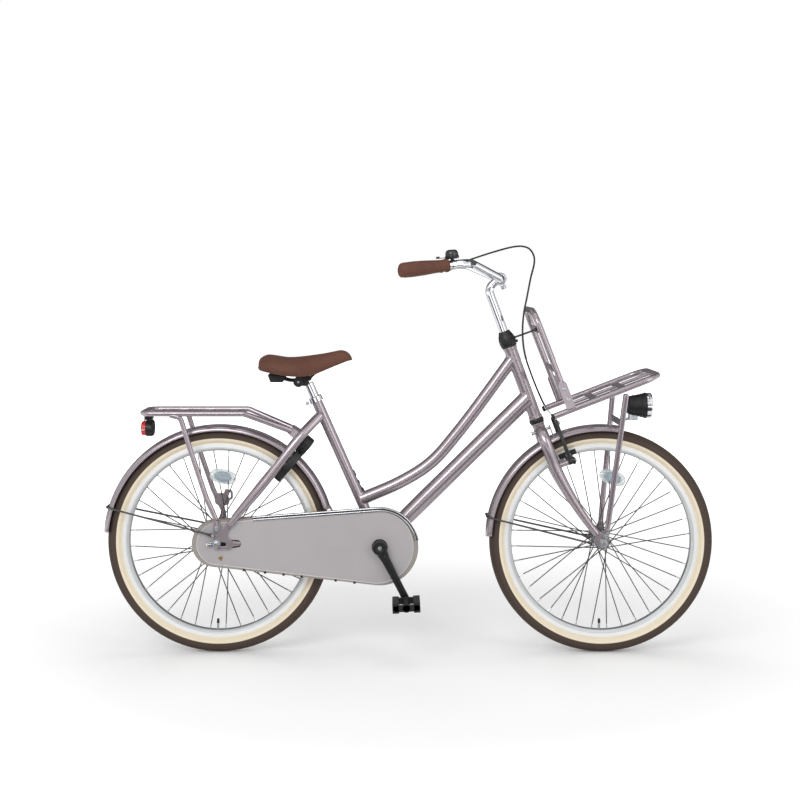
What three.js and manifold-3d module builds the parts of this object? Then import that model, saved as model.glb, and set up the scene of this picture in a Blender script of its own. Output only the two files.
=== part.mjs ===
// A child's dutch city bike with two load carriers, a full chain case and a back-pedal brake.
// Millimetres; +X points forwards, +Y to the rider's left, +Z up. The tyres stand on z = 0.
import * as THREE from 'three';
import Module from 'manifold-3d';
import { mergeVertices } from 'three/addons/utils/BufferGeometryUtils.js';

const wasm = await Module();
wasm.setup();

// Driving dimensions
const wheelbase = 1026;
const tyreRadius = 300.5;
const tyreWidth = 47;
const beadSeatRadius = tyreRadius - tyreWidth;
const rimWidth = 26;
const rimDepth = 19.5;
const spokeCount = 36;
const spokeCrossings = 3;
const spokeRadius = 1.1;
const bracketDrop = 8.5;
const chainStayLength = 432;
const seatTubeAngle = 65.9;
const seatTubeLength = 424;
const seatTubeRadius = 14.3;
const headTubeAngle = 69.8;
const headTubeLength = 205.6;
const headTubeRadius = 17;
const downTubeRadius = 22.5;
const upperTubeRadius = 17;
const forkLength = 366.5;
const forkRake = 50.6;
const steererRadius = 12.7;
const rearDropoutGap = 132;
const frontDropoutGap = 100;
const barRadius = 11.1;
const postRadius = 12.6;
const crankLength = 152;
const chainPitch = 12.7;
const chainLine = 44;
const ringTeeth = 38;
const sprocketTeeth = 18;
const fenderGap = 10.5;
const fenderRadius = tyreRadius + fenderGap;
const seat = 0.3;
const barPlay = 0.45;
const overrun = 4;

// Paint and finishes
const paint = { color: 0xa3979f, roughness: 0.35, metalness: 0.55 };
const caseCloth = { color: 0xa9a4a6, roughness: 0.7, metalness: 0 };
const chrome = { color: 0xe4e6ea, roughness: 0.12, metalness: 1 };
const steel = { color: 0xb9bcc0, roughness: 0.35, metalness: 0.9 };
const darkSteel = { color: 0x4a4a4c, roughness: 0.5, metalness: 0.8 };
const blackPlastic = { color: 0x17181a, roughness: 0.45, metalness: 0 };
const blackPaint = { color: 0x1b1c1e, roughness: 0.3, metalness: 0.3 };
const alloyRim = { color: 0xc9ced4, roughness: 0.3, metalness: 0.9 };
const brownLeather = { color: 0x6e483c, roughness: 0.6, metalness: 0 };
const tyreRubber = { color: 0xe5d8c0, roughness: 0.8, metalness: 0 };
const redLens = { color: 0xa01818, roughness: 0.2, metalness: 0 };
const clearLens = { color: 0xdfe6ea, roughness: 0.1, metalness: 0 };

const bike = new THREE.Group();

// Small tools for vectors, solids and outlines
const point = (x, y, z) => new THREE.Vector3(x, y, z);
const flat = (x, y) => new THREE.Vector2(x, y);
const radians = (degrees) => THREE.MathUtils.degToRad(degrees);
const between = (a, b, share) => a.clone().lerp(b, share);
const along = (start, direction, distance) => start.clone().addScaledVector(direction, distance);

// A closed geometry as a solid that can be joined and cut, with its faces turned outwards.
function solid(geometry) {
  const bare = geometry.clone();
  bare.deleteAttribute('normal');
  bare.deleteAttribute('uv');
  const merged = mergeVertices(bare, 1e-3);
  const corners = merged.attributes.position.array;
  const faces = [];
  let volume = 0;
  const [a, b, c] = [point(0, 0, 0), point(0, 0, 0), point(0, 0, 0)];
  for (let i = 0; i < merged.index.count; i += 3) {
    const face = [0, 1, 2].map((k) => merged.index.getX(i + k));
    if (new Set(face).size < 3) continue;
    [a, b, c].forEach((corner, k) => corner.fromArray(corners, 3 * face[k]));
    volume += a.dot(b.clone().cross(c));
    faces.push(face);
  }
  if (volume < 0) faces.forEach((face) => face.reverse());
  const mesh = new wasm.Mesh({
    numProp: 3,
    vertProperties: new Float32Array(corners),
    triVerts: new Uint32Array(faces.flat()),
  });
  return new wasm.Manifold(mesh);
}

const join = (...solids) => solids.flat().reduce((whole, next) => whole.add(next));
const cut = (whole, ...tools) => tools.flat().reduce((rest, tool) => rest.subtract(tool), whole);

// Adds a solid to the bike as one named piece.
function piece(name, body, finish) {
  const { vertProperties, triVerts } = body.getMesh();
  const geometry = new THREE.BufferGeometry();
  geometry.setAttribute('position', new THREE.BufferAttribute(new Float32Array(vertProperties), 3));
  geometry.setIndex(new THREE.BufferAttribute(new Uint32Array(triVerts), 1));
  geometry.computeVertexNormals();
  const mesh = new THREE.Mesh(geometry, new THREE.MeshStandardMaterial(finish));
  mesh.name = name;
  bike.add(mesh);
  return body;
}

// A round bar from one point to another, with its own radius at each end.
function rod(from, to, radius, endRadius = radius, sides = 10) {
  const run = to.clone().sub(from);
  const geometry = new THREE.CylinderGeometry(endRadius, radius, run.length(), sides);
  const turn = new THREE.Quaternion().setFromUnitVectors(point(0, 1, 0), run.clone().normalize());
  geometry.applyQuaternion(turn);
  const middle = between(from, to, 0.5);
  geometry.translate(middle.x, middle.y, middle.z);
  return solid(geometry);
}

// A box given by its two opposite corners, turned about the Y axis through its own middle.
function block(low, high, pitch = 0) {
  const size = high.clone().sub(low);
  const geometry = new THREE.BoxGeometry(Math.abs(size.x), Math.abs(size.y), Math.abs(size.z));
  geometry.rotateY(-pitch);
  const middle = between(low, high, 0.5);
  geometry.translate(middle.x, middle.y, middle.z);
  return solid(geometry);
}

// A path of straight runs and round bends, which places its rings only where the bends need them.
class BentPath extends THREE.Curve {
  constructor(corners, bendRadius, bendSteps = 3) {
    super();
    this.stations = [{ at: corners[0], toward: corners[1].clone().sub(corners[0]).normalize() }];
    for (let i = 1; i < corners.length - 1; i++) {
      const into = corners[i].clone().sub(corners[i - 1]).normalize();
      const out = corners[i + 1].clone().sub(corners[i]).normalize();
      if (bendSteps === 0) {
        this.stations.push({ at: corners[i], toward: into.add(out).normalize() });
        continue;
      }
      const turn = into.angleTo(out);
      const hinge = into.clone().cross(out).normalize();
      const reach = bendRadius * Math.tan(turn / 2);
      const side = hinge.clone().cross(into);
      const centre = along(along(corners[i], into, -reach), side, bendRadius);
      for (let k = 0; k <= bendSteps; k++) {
        const angle = (turn * k) / bendSteps;
        const arm = side.clone().negate().applyAxisAngle(hinge, angle);
        const toward = into.clone().applyAxisAngle(hinge, angle);
        this.stations.push({ at: along(centre, arm, bendRadius), toward });
      }
    }
    const last = corners.length - 1;
    const toward = corners[last].clone().sub(corners[last - 1]).normalize();
    this.stations.push({ at: corners[last], toward });
  }

  get steps() {
    return this.stations.length - 1;
  }

  getPoint(share, target = point(0, 0, 0)) {
    const place = share * this.steps;
    const before = Math.min(Math.floor(place), this.steps - 1);
    const { at } = this.stations[before];
    return target.copy(at).lerp(this.stations[before + 1].at, place - before);
  }

  getPointAt(share, target) {
    return this.getPoint(share, target);
  }

  getTangentAt(share, target = point(0, 0, 0)) {
    return target.copy(this.stations[Math.round(share * this.steps)].toward);
  }
}

// An arc about an axle, counted from straight forwards over the top, in evenly spaced steps.
class WheelArc extends THREE.Curve {
  constructor(centre, radius, from, to, steps) {
    super();
    Object.assign(this, { centre, radius, from, to, steps });
  }

  getPoint(share, target = point(0, 0, 0)) {
    const angle = radians(this.from + (this.to - this.from) * share);
    const { x, y, z } = this.centre;
    return target.set(x + this.radius * Math.cos(angle), y, z + this.radius * Math.sin(angle));
  }

  getPointAt(share, target) {
    return this.getPoint(share, target);
  }

  getTangentAt(share, target = point(0, 0, 0)) {
    const angle = radians(this.from + (this.to - this.from) * share);
    return target.set(-Math.sin(angle), 0, Math.cos(angle));
  }
}

function disc(radius, sides) {
  const outline = [];
  for (let i = 0; i < sides; i++) {
    const angle = (2 * Math.PI * (i + 0.5)) / sides;
    outline.push(flat(radius * Math.cos(angle), radius * Math.sin(angle)));
  }
  return new THREE.Shape(outline);
}

function sweep(shape, path) {
  return solid(new THREE.ExtrudeGeometry(shape, { steps: path.steps, extrudePath: path }));
}

const bentTube = (corners, radius, bendRadius, sides = 8, bendSteps = 3) =>
  sweep(disc(radius, sides), new BentPath(corners, bendRadius, bendSteps));

function curvedTube(points, radius, sides, steps) {
  const path = new THREE.CatmullRomCurve3(points);
  return solid(new THREE.ExtrudeGeometry(disc(radius, sides), { steps, extrudePath: path }));
}

// A tapering tube: a cylinder's rings moved onto a curve and scaled by the radius wanted there.
function taperedTube(points, radiusAt, sides, steps) {
  const path = new THREE.CatmullRomCurve3(points);
  const frames = path.computeFrenetFrames(steps, false);
  const geometry = new THREE.CylinderGeometry(1, 1, 1, sides, steps);
  const corner = geometry.attributes.position;
  for (let i = 0; i < corner.count; i++) {
    const ring = Math.round((0.5 - corner.getY(i)) * steps);
    const radius = radiusAt(ring / steps);
    const at = path.getPointAt(ring / steps);
    at.addScaledVector(frames.normals[ring], radius * corner.getX(i));
    at.addScaledVector(frames.binormals[ring], radius * corner.getZ(i));
    corner.setXYZ(i, at.x, at.y, at.z);
  }
  return solid(geometry);
}

// A tube through a few places, mitred where it turns, with a radius of its own at each place.
// Its bends lie in one plane, which the direction aside is square to.
function loft(places, radii, aside, sides) {
  const last = places.length - 1;
  const legs = places.slice(1).map((at, i) => at.clone().sub(places[i]).normalize());
  const rings = places.map((at, i) => {
    const toward = legs[Math.max(i - 1, 0)].clone().add(legs[Math.min(i, last - 1)]).normalize();
    return { at, other: aside.clone().cross(toward), stretch: 1 / toward.dot(legs[Math.min(i, last - 1)]) };
  });
  const geometry = new THREE.CylinderGeometry(1, 1, 1, sides, last);
  const corner = geometry.attributes.position;
  for (let i = 0; i < corner.count; i++) {
    const ring = Math.round((0.5 - corner.getY(i)) * last);
    const { at, other, stretch } = rings[ring];
    const place = along(at, aside, radii[ring] * corner.getX(i));
    place.addScaledVector(other, radii[ring] * stretch * corner.getZ(i));
    corner.setXYZ(i, place.x, place.y, place.z);
  }
  return solid(geometry);
}

// A sheet cut to an outline in the XZ plane, from one y to the other.
function sheet(outline, low, high, place = point(0, 0, 0)) {
  const shape = outline instanceof THREE.Shape ? outline : new THREE.Shape(outline);
  const geometry = new THREE.ExtrudeGeometry(shape, { depth: high - low, bevelEnabled: false });
  geometry.rotateX(Math.PI / 2);
  geometry.translate(place.x, place.y + high, place.z);
  return solid(geometry);
}

// The outline of a strap round two circles: one arc each, joined by the outer tangents.
function strap(a, radiusA, b, radiusB, arcSteps) {
  const run = b.clone().sub(a);
  const heading = run.angle();
  const spread = Math.acos((radiusA - radiusB) / run.length());
  const outline = [];
  for (let i = 0; i <= arcSteps; i++) {
    const angle = heading + spread + (2 * Math.PI - 2 * spread) * (i / arcSteps);
    outline.push(flat(a.x + radiusA * Math.cos(angle), a.y + radiusA * Math.sin(angle)));
  }
  for (let i = 0; i <= arcSteps; i++) {
    const angle = heading - spread + 2 * spread * (i / arcSteps);
    outline.push(flat(b.x + radiusB * Math.cos(angle), b.y + radiusB * Math.sin(angle)));
  }
  return outline;
}

// A turned piece about the Y axis through a place; the profile is (radius, y) and closes on itself.
function turned(profile, place, segments) {
  const closed = [...profile, profile[0]].map(([radius, y]) => flat(radius, y));
  const geometry = new THREE.LatheGeometry(closed, segments);
  geometry.translate(place.x, place.y, place.z);
  return solid(geometry);
}

const ring = (inner, outer, low, high, place, segments) =>
  turned([[inner, low], [outer, low], [outer, high], [inner, high]], place, segments);

// Main points of the frame
const rearAxle = point(0, 0, tyreRadius);
const frontAxle = point(wheelbase, 0, tyreRadius);
const bracket = point(chainStayLength, 0, tyreRadius - bracketDrop);
const steerUp = point(-Math.cos(radians(headTubeAngle)), 0, Math.sin(radians(headTubeAngle)));
const steerFront = point(steerUp.z, 0, -steerUp.x);
const seatUp = point(-Math.cos(radians(seatTubeAngle)), 0, Math.sin(radians(seatTubeAngle)));
const headBottom = along(along(frontAxle, steerFront, -forkRake), steerUp, forkLength);
const headTop = along(headBottom, steerUp, headTubeLength);
const seatTop = along(bracket, seatUp, seatTubeLength);
const across = point(0, 1, 0);
const sides = { right: -1, left: 1 };
const bySide = (p, side) => point(p.x, p.y * side, p.z);

// A place beside the steering axis: forwards of it, to the left of it and up from the fork crown.
function atSteering(forward, left, up) {
  const spine = along(headBottom, steerUp, up);
  return along(along(spine, steerFront, forward), across, left);
}

// Bottom bracket shell with its bearing cups, and the spindle that runs in them
const shellRadius = 20;
const shellWidth = 68;
const spindleRadius = 8.5;
const spindlePlay = 0.7;
const shellHalf = shellWidth / 2;
const shellTool = rod(
  along(bracket, across, -shellHalf - overrun), along(bracket, across, shellHalf + overrun),
  shellRadius + seat, shellRadius + seat, 16);
piece('bottom_bracket_shell',
  ring(spindleRadius + spindlePlay, shellRadius, -shellHalf, shellHalf, bracket, 16), paint);

// Head tube, bored for the steerer
const steererPlay = 0.7;
const tubeTool = (from, to, radius) => rod(from, to, radius + seat, radius + seat, 16);
const headTube = rod(headBottom, headTop, headTubeRadius, headTubeRadius, 16);
const steererBore = rod(along(headBottom, steerUp, -overrun), along(headTop, steerUp, overrun),
  steererRadius + steererPlay, steererRadius + steererPlay, 16);
piece('head_tube', cut(headTube, steererBore), paint);
const headTool = tubeTool(headBottom, headTop, headTubeRadius);

// Seat tube, open at the top for the post
const postPlay = 0.35;
const boreDepth = 220;
const seatTube = rod(bracket, seatTop, seatTubeRadius, seatTubeRadius, 16);
const postBore = rod(along(seatTop, seatUp, -boreDepth), along(seatTop, seatUp, overrun),
  postRadius + postPlay, postRadius + postPlay, 16);
piece('seat_tube', cut(seatTube, postBore, shellTool), paint);
const seatTool = tubeTool(bracket, seatTop, seatTubeRadius);

// Down tube, straight from the head tube to the bottom bracket
const downTubeDrop = 145;
const downTubeTop = along(headTop, steerUp, -downTubeDrop);
const downTube = rod(bracket, downTubeTop, downTubeRadius, downTubeRadius, 16);
piece('down_tube', cut(downTube, shellTool, headTool, seatTool), paint);

// Upper tube, a swan neck that runs steeply down from the head tube and levels off to the seat tube
const upperTubeDrop = 31;
const upperTubeSeat = 128;
const neckSpanShares = [0.355, 0.54, 0.735];
const neckFallShares = [0.515, 0.74, 0.875];
const upperTop = along(headTop, steerUp, -upperTubeDrop);
const upperSeat = along(bracket, seatUp, upperTubeSeat);
const neck = neckSpanShares.map((span, i) => point(
  upperTop.x + (upperSeat.x - upperTop.x) * span, 0,
  upperTop.z + (upperSeat.z - upperTop.z) * neckFallShares[i]));
const upperTube = curvedTube([upperTop, ...neck, upperSeat], upperTubeRadius, 12, 8);
piece('upper_tube', cut(upperTube, headTool, seatTool), paint);

// Rear dropouts: a slotted plate with an arm up to the stay and a round tab for the rack's bolt
const dropoutThickness = 5;
const dropoutPlate = { rear: -13, front: 46, low: -14.5, high: 12.5 };
const rackTab = { x: 1, z: 42, radius: 11 };
const stayFoot = { x: 31, z: 47 };
const axleRadius = 5;
const axleSlotLength = 20;
const dropoutInner = rearDropoutGap / 2;
const dropoutOuter = dropoutInner + dropoutThickness;

function rearDropout(side) {
  const low = Math.min(side * dropoutInner, side * dropoutOuter);
  const high = Math.max(side * dropoutInner, side * dropoutOuter);
  const { rear, front, low: bottom, high: top } = dropoutPlate;
  const half = (top - bottom) / 2;
  const middle = (top + bottom) / 2;
  const foot = strap(flat(rear + half, middle), half, flat(front - half, middle), half, 5);
  const arm = strap(flat(rear + half, middle), half * 0.75, flat(stayFoot.x, stayFoot.z), half * 0.6, 4);
  const tab = strap(flat(rackTab.x, rackTab.z), rackTab.radius,
    flat(stayFoot.x / 2, stayFoot.z / 2), rackTab.radius * 0.8, 4);
  const slot = strap(flat(0, 0), axleRadius + seat, flat(axleSlotLength, 0), axleRadius + seat, 4);
  const slotTool = sheet(slot, low - overrun, high + overrun, rearAxle);
  const plates = [foot, arm, tab].map((outline) => sheet(outline, low, high, rearAxle));
  return cut(join(plates), slotTool);
}

// Chain stays, from the shell to the dropouts; the right one carries the bridge behind the tyre
const chainStayRadius = { front: 10, rear: 7.5 };
const stayRootOffset = 23;
const stayClear = 37.5;
const stayRearOffset = 56;
const stayBendX = 300;
const stayNarrowX = 112;
const stayHeelX = 52;
const bridgeRadius = 7;
const bridgeGap = 34;
const bridgeX = tyreRadius + bridgeGap;

function chainStayTube(side, grow = 0) {
  const drop = (x) => tyreRadius - bracketDrop * (x / chainStayLength);
  const points = [
    point(chainStayLength - shellRadius / 2, side * stayRootOffset, bracket.z),
    point(stayBendX, side * stayClear, drop(stayBendX)),
    point(stayNarrowX, side * (stayClear + stayRearOffset) / 2, drop(stayNarrowX)),
    point(stayHeelX, side * stayRearOffset, drop(stayHeelX)),
  ];
  const { front, rear } = chainStayRadius;
  return taperedTube(points, (share) => front + (rear - front) * share + grow, 10, 6);
}

function chainStay(side) {
  const { rear } = chainStayRadius;
  const reach = [side * stayRearOffset, side * (dropoutInner + seat)].sort((a, b) => a - b);
  const heel = block(
    point(dropoutPlate.front - rear * 2, reach[0], rearAxle.z - rear),
    point(stayHeelX + rear / 2, reach[1], rearAxle.z + rear));
  return cut(join(chainStayTube(side), heel, rearDropout(side)), shellTool);
}

const bridge = (x, z, reach) =>
  rod(point(x, -reach, z), point(x, reach, z), bridgeRadius, bridgeRadius, 8);
const leftChainStay = piece('left_chain_stay', chainStay(sides.left), paint);
const lowBridge = cut(bridge(bridgeX, bracket.z, stayClear - chainStayRadius.front / 2),
  chainStayTube(sides.left, seat));
piece('right_chain_stay', join(chainStay(sides.right), lowBridge), paint);

// Seat stays, bowed out round the wheel and drawn in to the seat tube
const stayRise = { foot: 50.5, middle: 166.5, bow: 278.5 };
const seatStay = {
  footRadius: 8, radius: 12, footX: 33, footZ: rearAxle.z + stayRise.foot, footY: 75,
  midX: 130, midZ: rearAxle.z + stayRise.middle, midY: 66,
  bowX: 218, bowZ: rearAxle.z + stayRise.bow, bowY: 50, topDrop: 42, topY: 15,
};
const seatStayTop = along(seatTop, seatUp, -seatStay.topDrop);

function seatStayTube(side, grow = 0) {
  const { footX, footZ, footY, midX, midZ, midY, bowX, bowZ, bowY, topY } = seatStay;
  const points = [
    point(footX, side * footY, footZ), point(midX, side * midY, midZ),
    point(bowX, side * bowY, bowZ), point(seatStayTop.x, side * topY, seatStayTop.z),
  ];
  const { footRadius, radius } = seatStay;
  const radiusAt = (share) => footRadius + (radius - footRadius) * Math.min(1, share / 0.3) + grow;
  return taperedTube(points, radiusAt, 10, 7);
}

const footPad = (side) => {
  const { footX, footZ, footY, footRadius } = seatStay;
  return rod(point(footX, side * (dropoutOuter + seat), footZ), point(footX, side * footY, footZ),
    footRadius, footRadius, 10);
};
const seatStayBody = (side) => cut(join(seatStayTube(side), footPad(side)), seatTool);
const dropoutTool = (side) => {
  const reach = [side * (dropoutInner - seat), side * (dropoutOuter + seat)].sort((a, b) => a - b);
  return block(point(-overrun, reach[0], rearAxle.z),
    point(seatStay.footX + seatStay.radius * 2, reach[1], seatStay.footZ + seatStay.radius * 2));
};
const leftSeatStay = piece('left_seat_stay', cut(seatStayBody(sides.left), dropoutTool(sides.left)),
  paint);
const highBridge = cut(bridge(seatStay.bowX, seatStay.bowZ, seatStay.bowY - seatStay.radius / 2),
  seatStayTube(sides.left, seat));
piece('right_seat_stay', cut(join(seatStayBody(sides.right), highBridge),
  dropoutTool(sides.right), leftSeatStay), paint);

// Wheels: a turned rim with its valve, a tyre open towards the rim, and a hub laced to the rim
const wheelSteps = 28;
const rimWall = 1.8;
const rimFlangeHeight = 6.5;
const rimBedDepth = 3;
const beadLip = 0.9;
const rimFlangeRadius = beadSeatRadius + rimFlangeHeight;
const rimBedRadius = beadSeatRadius - rimBedDepth;
const rimInnerRadius = rimFlangeRadius - rimDepth;
const facetShare = Math.cos(Math.PI / wheelSteps);
const tyreWall = 4;
const treadWall = 5.5;
const nippleRadius = 2.2;
const nippleLength = 12;
const flangeThickness = 3.2;
const hubSteps = 16;
const hubPlay = 0.7;
const valve = { radius: 3.2, length: 22, capRadius: 4.2, capLength: 12 };
const valvePhase = { rear: -91, front: -91 };
const reflector = { radius: 171, halfLength: 34, halfWidth: 17, thickness: 7, offset: 9 };
const holePhase = 5;

function rimBody(centre, valveAngle) {
  const half = rimWidth / 2;
  const profile = [
    [rimInnerRadius, -half * 0.5], [rimBedRadius - rimWall * 2, -half], [rimFlangeRadius, -half],
    [rimFlangeRadius, -half + rimWall], [rimBedRadius, -half + rimWall * 1.6],
    [rimBedRadius, half - rimWall * 1.6], [rimFlangeRadius, half - rimWall],
    [rimFlangeRadius, half], [rimBedRadius - rimWall * 2, half], [rimInnerRadius, half * 0.5],
  ];
  const angle = radians(valveAngle);
  const spoke = point(Math.cos(angle), 0, Math.sin(angle));
  const base = rimInnerRadius + rimWall;
  const stemEnd = rimInnerRadius - valve.length;
  const stem = rod(along(centre, spoke, base), along(centre, spoke, stemEnd),
    valve.radius, valve.radius, 6);
  const cap = rod(along(centre, spoke, stemEnd + overrun),
    along(centre, spoke, stemEnd - valve.capLength + overrun), valve.capRadius, valve.capRadius * 0.8, 6);
  return join(turned(profile, centre, wheelSteps), stem, cap);
}

function tyreBody(centre) {
  const half = tyreWidth / 2;
  const beadHalf = rimWidth / 2 - rimWall * 1.6 - seat;
  const crown = tyreRadius - (beadSeatRadius + rimFlangeRadius) / 2;
  const middle = tyreRadius - half;
  const lip = rimFlangeRadius + beadLip;
  const outer = [
    [beadSeatRadius, beadHalf], [lip, beadHalf], [middle, half],
    [tyreRadius - crown * 0.14, half * 0.66],
  ];
  const inner = [
    [beadSeatRadius, beadHalf - tyreWall], [lip, beadHalf - tyreWall], [middle, half - tyreWall],
  ];
  const mirrored = (points) => points.map(([radius, y]) => [radius, -y]);
  const profile = [...outer, [tyreRadius, 0], ...mirrored(outer).reverse(), ...mirrored(inner),
    [tyreRadius - treadWall, 0], ...inner.reverse()];
  return turned(profile, centre, wheelSteps);
}

// One spoke: a head in the flange hole, an elbow beside the flange, a straight run and its nipple.
function laceSpoke(centre, hub, side, index) {
  const holeCount = spokeCount / 2;
  const step = 360 / holeCount;
  const rimAngle = radians(hub.phase + holePhase + step * index + (side > 0 ? step / 2 : 0));
  const lean = (index % 2 ? -1 : 1) * radians((720 / spokeCount) * spokeCrossings);
  const face = index % 2 ? -1 : 1;
  const flangeFace = flangeThickness / 2 + spokeRadius * 1.1;
  const place = (radius, angle, y) =>
    point(centre.x + radius * Math.cos(angle), y, centre.z + radius * Math.sin(angle));
  const holeRadius = hub.flangeRadius - spokeRadius * 3;
  const head = place(holeRadius, rimAngle - lean, side * hub.flangeOffset);
  const elbow = place(holeRadius, rimAngle - lean, side * (hub.flangeOffset + face * flangeFace));
  const rimReach = rimInnerRadius * facetShare - seat * 2;
  const tip = place(rimReach, rimAngle, side * spokeRadius);
  const run = tip.clone().sub(elbow).normalize();
  const shoulder = along(tip, run, -nippleLength);
  return loft([head, elbow, shoulder, tip], [spokeRadius, spokeRadius, spokeRadius, nippleRadius],
    run.clone().cross(across).normalize(), 3);
}

function hubBody(centre, hub) {
  const bore = axleRadius + hubPlay;
  const { flangeOffset: offset, flangeRadius, barrelRadius, endOffset } = hub;
  const half = flangeThickness / 2;
  const profile = [
    [bore, -endOffset], [barrelRadius, -endOffset], [barrelRadius, -offset - half],
    [flangeRadius, -offset - half], [flangeRadius, -offset + half], [barrelRadius, -offset + half],
    [barrelRadius, offset - half], [flangeRadius, offset - half], [flangeRadius, offset + half],
    [barrelRadius, offset + half], [barrelRadius, endOffset], [bore, endOffset],
  ];
  const spokes = [];
  for (let i = 0; i < spokeCount / 2; i++) {
    Object.values(sides).forEach((side) => spokes.push(laceSpoke(centre, hub, side, i)));
  }
  const angle = radians(hub.reflectorAngle);
  const plate = new THREE.Shape();
  plate.absellipse(0, 0, reflector.halfLength, reflector.halfWidth, 0, 2 * Math.PI, false,
    angle - Math.PI / 2);
  const outline = plate.getPoints(7).slice(0, -1);
  const oval = sheet(outline, -reflector.offset - reflector.thickness / 2,
    -reflector.offset + reflector.thickness / 2, point(
      centre.x + reflector.radius * Math.cos(angle), 0,
      centre.z + reflector.radius * Math.sin(angle)));
  return join(turned(profile, centre, hubSteps), spokes, oval);
}

const hubs = {
  rear: { flangeOffset: 29, flangeRadius: 29, barrelRadius: 20, endOffset: 34, phase: -1,
    reflectorAngle: 86.6 },
  front: { flangeOffset: 30, flangeRadius: 22, barrelRadius: 13, endOffset: 38, phase: -1,
    reflectorAngle: 79.5 },
};
const wheelCentres = { rear: rearAxle, front: frontAxle };
Object.entries(wheelCentres).forEach(([place, centre]) => {
  piece(`${place}_tyre`, tyreBody(centre), tyreRubber);
  piece(`${place}_rim`, rimBody(centre, valvePhase[place]), alloyRim);
  piece(`${place}_hub`, hubBody(centre, hubs[place]), steel);
});

// Rear axle with its lock nuts, wheel nuts, chain tensioners and the brake's reaction arm
const nutRadius = 9;
const nutHeight = 7;
const coneRadius = 8;
const washerGap = 0.4;
const tensioner = { thickness: 2, radius: 8, tail: 5, reach: 5 };
const brakeArm = { thickness: 3, halfWidth: 7, reachX: 150, dropZ: 40 };
const rackFootThickness = 3;

function nut(y, side, radius, height, centre) {
  return rod(point(centre.x, y, centre.z), point(centre.x, y + side * height, centre.z),
    radius, radius, 6);
}

function axleEnd(side, centre, inner, outer, coneStart) {
  const nutStart = outer + rackFootThickness * 2 + washerGap;
  const shaft = rod(centre, point(centre.x, side * (nutStart + nutHeight * 1.7), centre.z),
    axleRadius, axleRadius, 8);
  const cone = rod(point(centre.x, side * coneStart, centre.z),
    point(centre.x, side * (inner - seat), centre.z), coneRadius, coneRadius, 8);
  const washer = nut(side * (outer + seat), side, axleRadius * 1.7, nutStart - outer, centre);
  return join(shaft, cone, washer, nut(side * nutStart, side, nutRadius, nutHeight, centre));
}

// A chain tensioner: a plate under the wheel nut and a hook round the dropout's rear end
function tensionerBody(side) {
  const inner = dropoutOuter + seat;
  const end = dropoutPlate.rear - seat - tensioner.reach;
  const span = (from, to) => [side * from, side * to].sort((a, b) => a - b);
  const plate = strap(flat(0, 0), tensioner.radius, flat(end, 0), tensioner.tail, 4);
  const [low, high] = span(inner, inner + tensioner.thickness);
  const [hookLow, hookHigh] = span(dropoutInner, inner + tensioner.thickness / 2);
  const hook = block(point(end - tensioner.tail, hookLow, rearAxle.z - tensioner.tail / 2),
    point(dropoutPlate.rear - seat, hookHigh, rearAxle.z + tensioner.tail / 2));
  return join(sheet(plate, low, high, rearAxle), hook);
}

const driverReach = { past: 8, cone: 1, arm: 4, armCone: 2, hub: 1, core: 2 };
const sprocketOuter = chainLine + driverReach.past;
const rearAxleParts = Object.values(sides).map((side) =>
  axleEnd(side, rearAxle, dropoutInner, dropoutOuter, sprocketOuter + driverReach.cone));
const armInner = hubs.rear.endOffset + driverReach.arm;
const armOutline = strap(flat(0, 0), brakeArm.halfWidth * 1.8,
  flat(brakeArm.reachX, -brakeArm.dropZ), brakeArm.halfWidth, 4);
const armPlate = sheet(armOutline, armInner, armInner + brakeArm.thickness, rearAxle);
const armCone = rod(point(0, armInner, rearAxle.z),
  point(0, sprocketOuter + driverReach.armCone, rearAxle.z), coneRadius, coneRadius, 8);
piece('rear_axle', join(rearAxleParts, armPlate, armCone, Object.values(sides).map(tensionerBody)),
  steel);

// Sprocket and chainring: each tooth is a point between two valleys
function toothedOutline(teeth, pitchRadius) {
  const tip = pitchRadius + chainPitch * 0.22;
  const valley = pitchRadius - chainPitch * 0.28;
  const outline = [];
  for (let i = 0; i < teeth * 2; i++) {
    const angle = (Math.PI * i) / teeth;
    const radius = i % 2 ? valley : tip;
    outline.push(flat(radius * Math.cos(angle), radius * Math.sin(angle)));
  }
  return outline;
}

const toothHalf = 1.15;
const pitchRadiusOf = (teeth) => chainPitch / (2 * Math.sin(Math.PI / teeth));
const sprocketPitchRadius = pitchRadiusOf(sprocketTeeth);
const ringPitchRadius = pitchRadiusOf(ringTeeth);
const driverInner = hubs.rear.endOffset + driverReach.hub;
const driverRadius = 19;
const driver = ring(axleRadius + hubPlay, driverRadius, -sprocketOuter, -driverInner, rearAxle, 16);
const cog = sheet(toothedOutline(sprocketTeeth, sprocketPitchRadius), -chainLine - toothHalf,
  -chainLine + toothHalf, rearAxle);
const cogBore = ring(0, driverRadius - driverReach.core, -chainLine - overrun, -chainLine + overrun,
  rearAxle, 16);
piece('sprocket', join(driver, cut(cog, cogBore)), darkSteel);

// Crank set: the spindle, the right crank with its chainring, and the left crank
const crankAngle = -62.7;
const crank = { bossRadius: 19, armRoot: 11.5, armTip: 9.5, thickness: 12, inner: 70, sleeve: 13,
  bossSink: 1, bossRise: 3 };
const ringWall = 11;
const armWidth = 14;
const crankTip = (side) => {
  const angle = radians(crankAngle);
  const reach = -side * crankLength;
  return point(bracket.x + reach * Math.cos(angle), 0, bracket.z + reach * Math.sin(angle));
};

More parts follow.
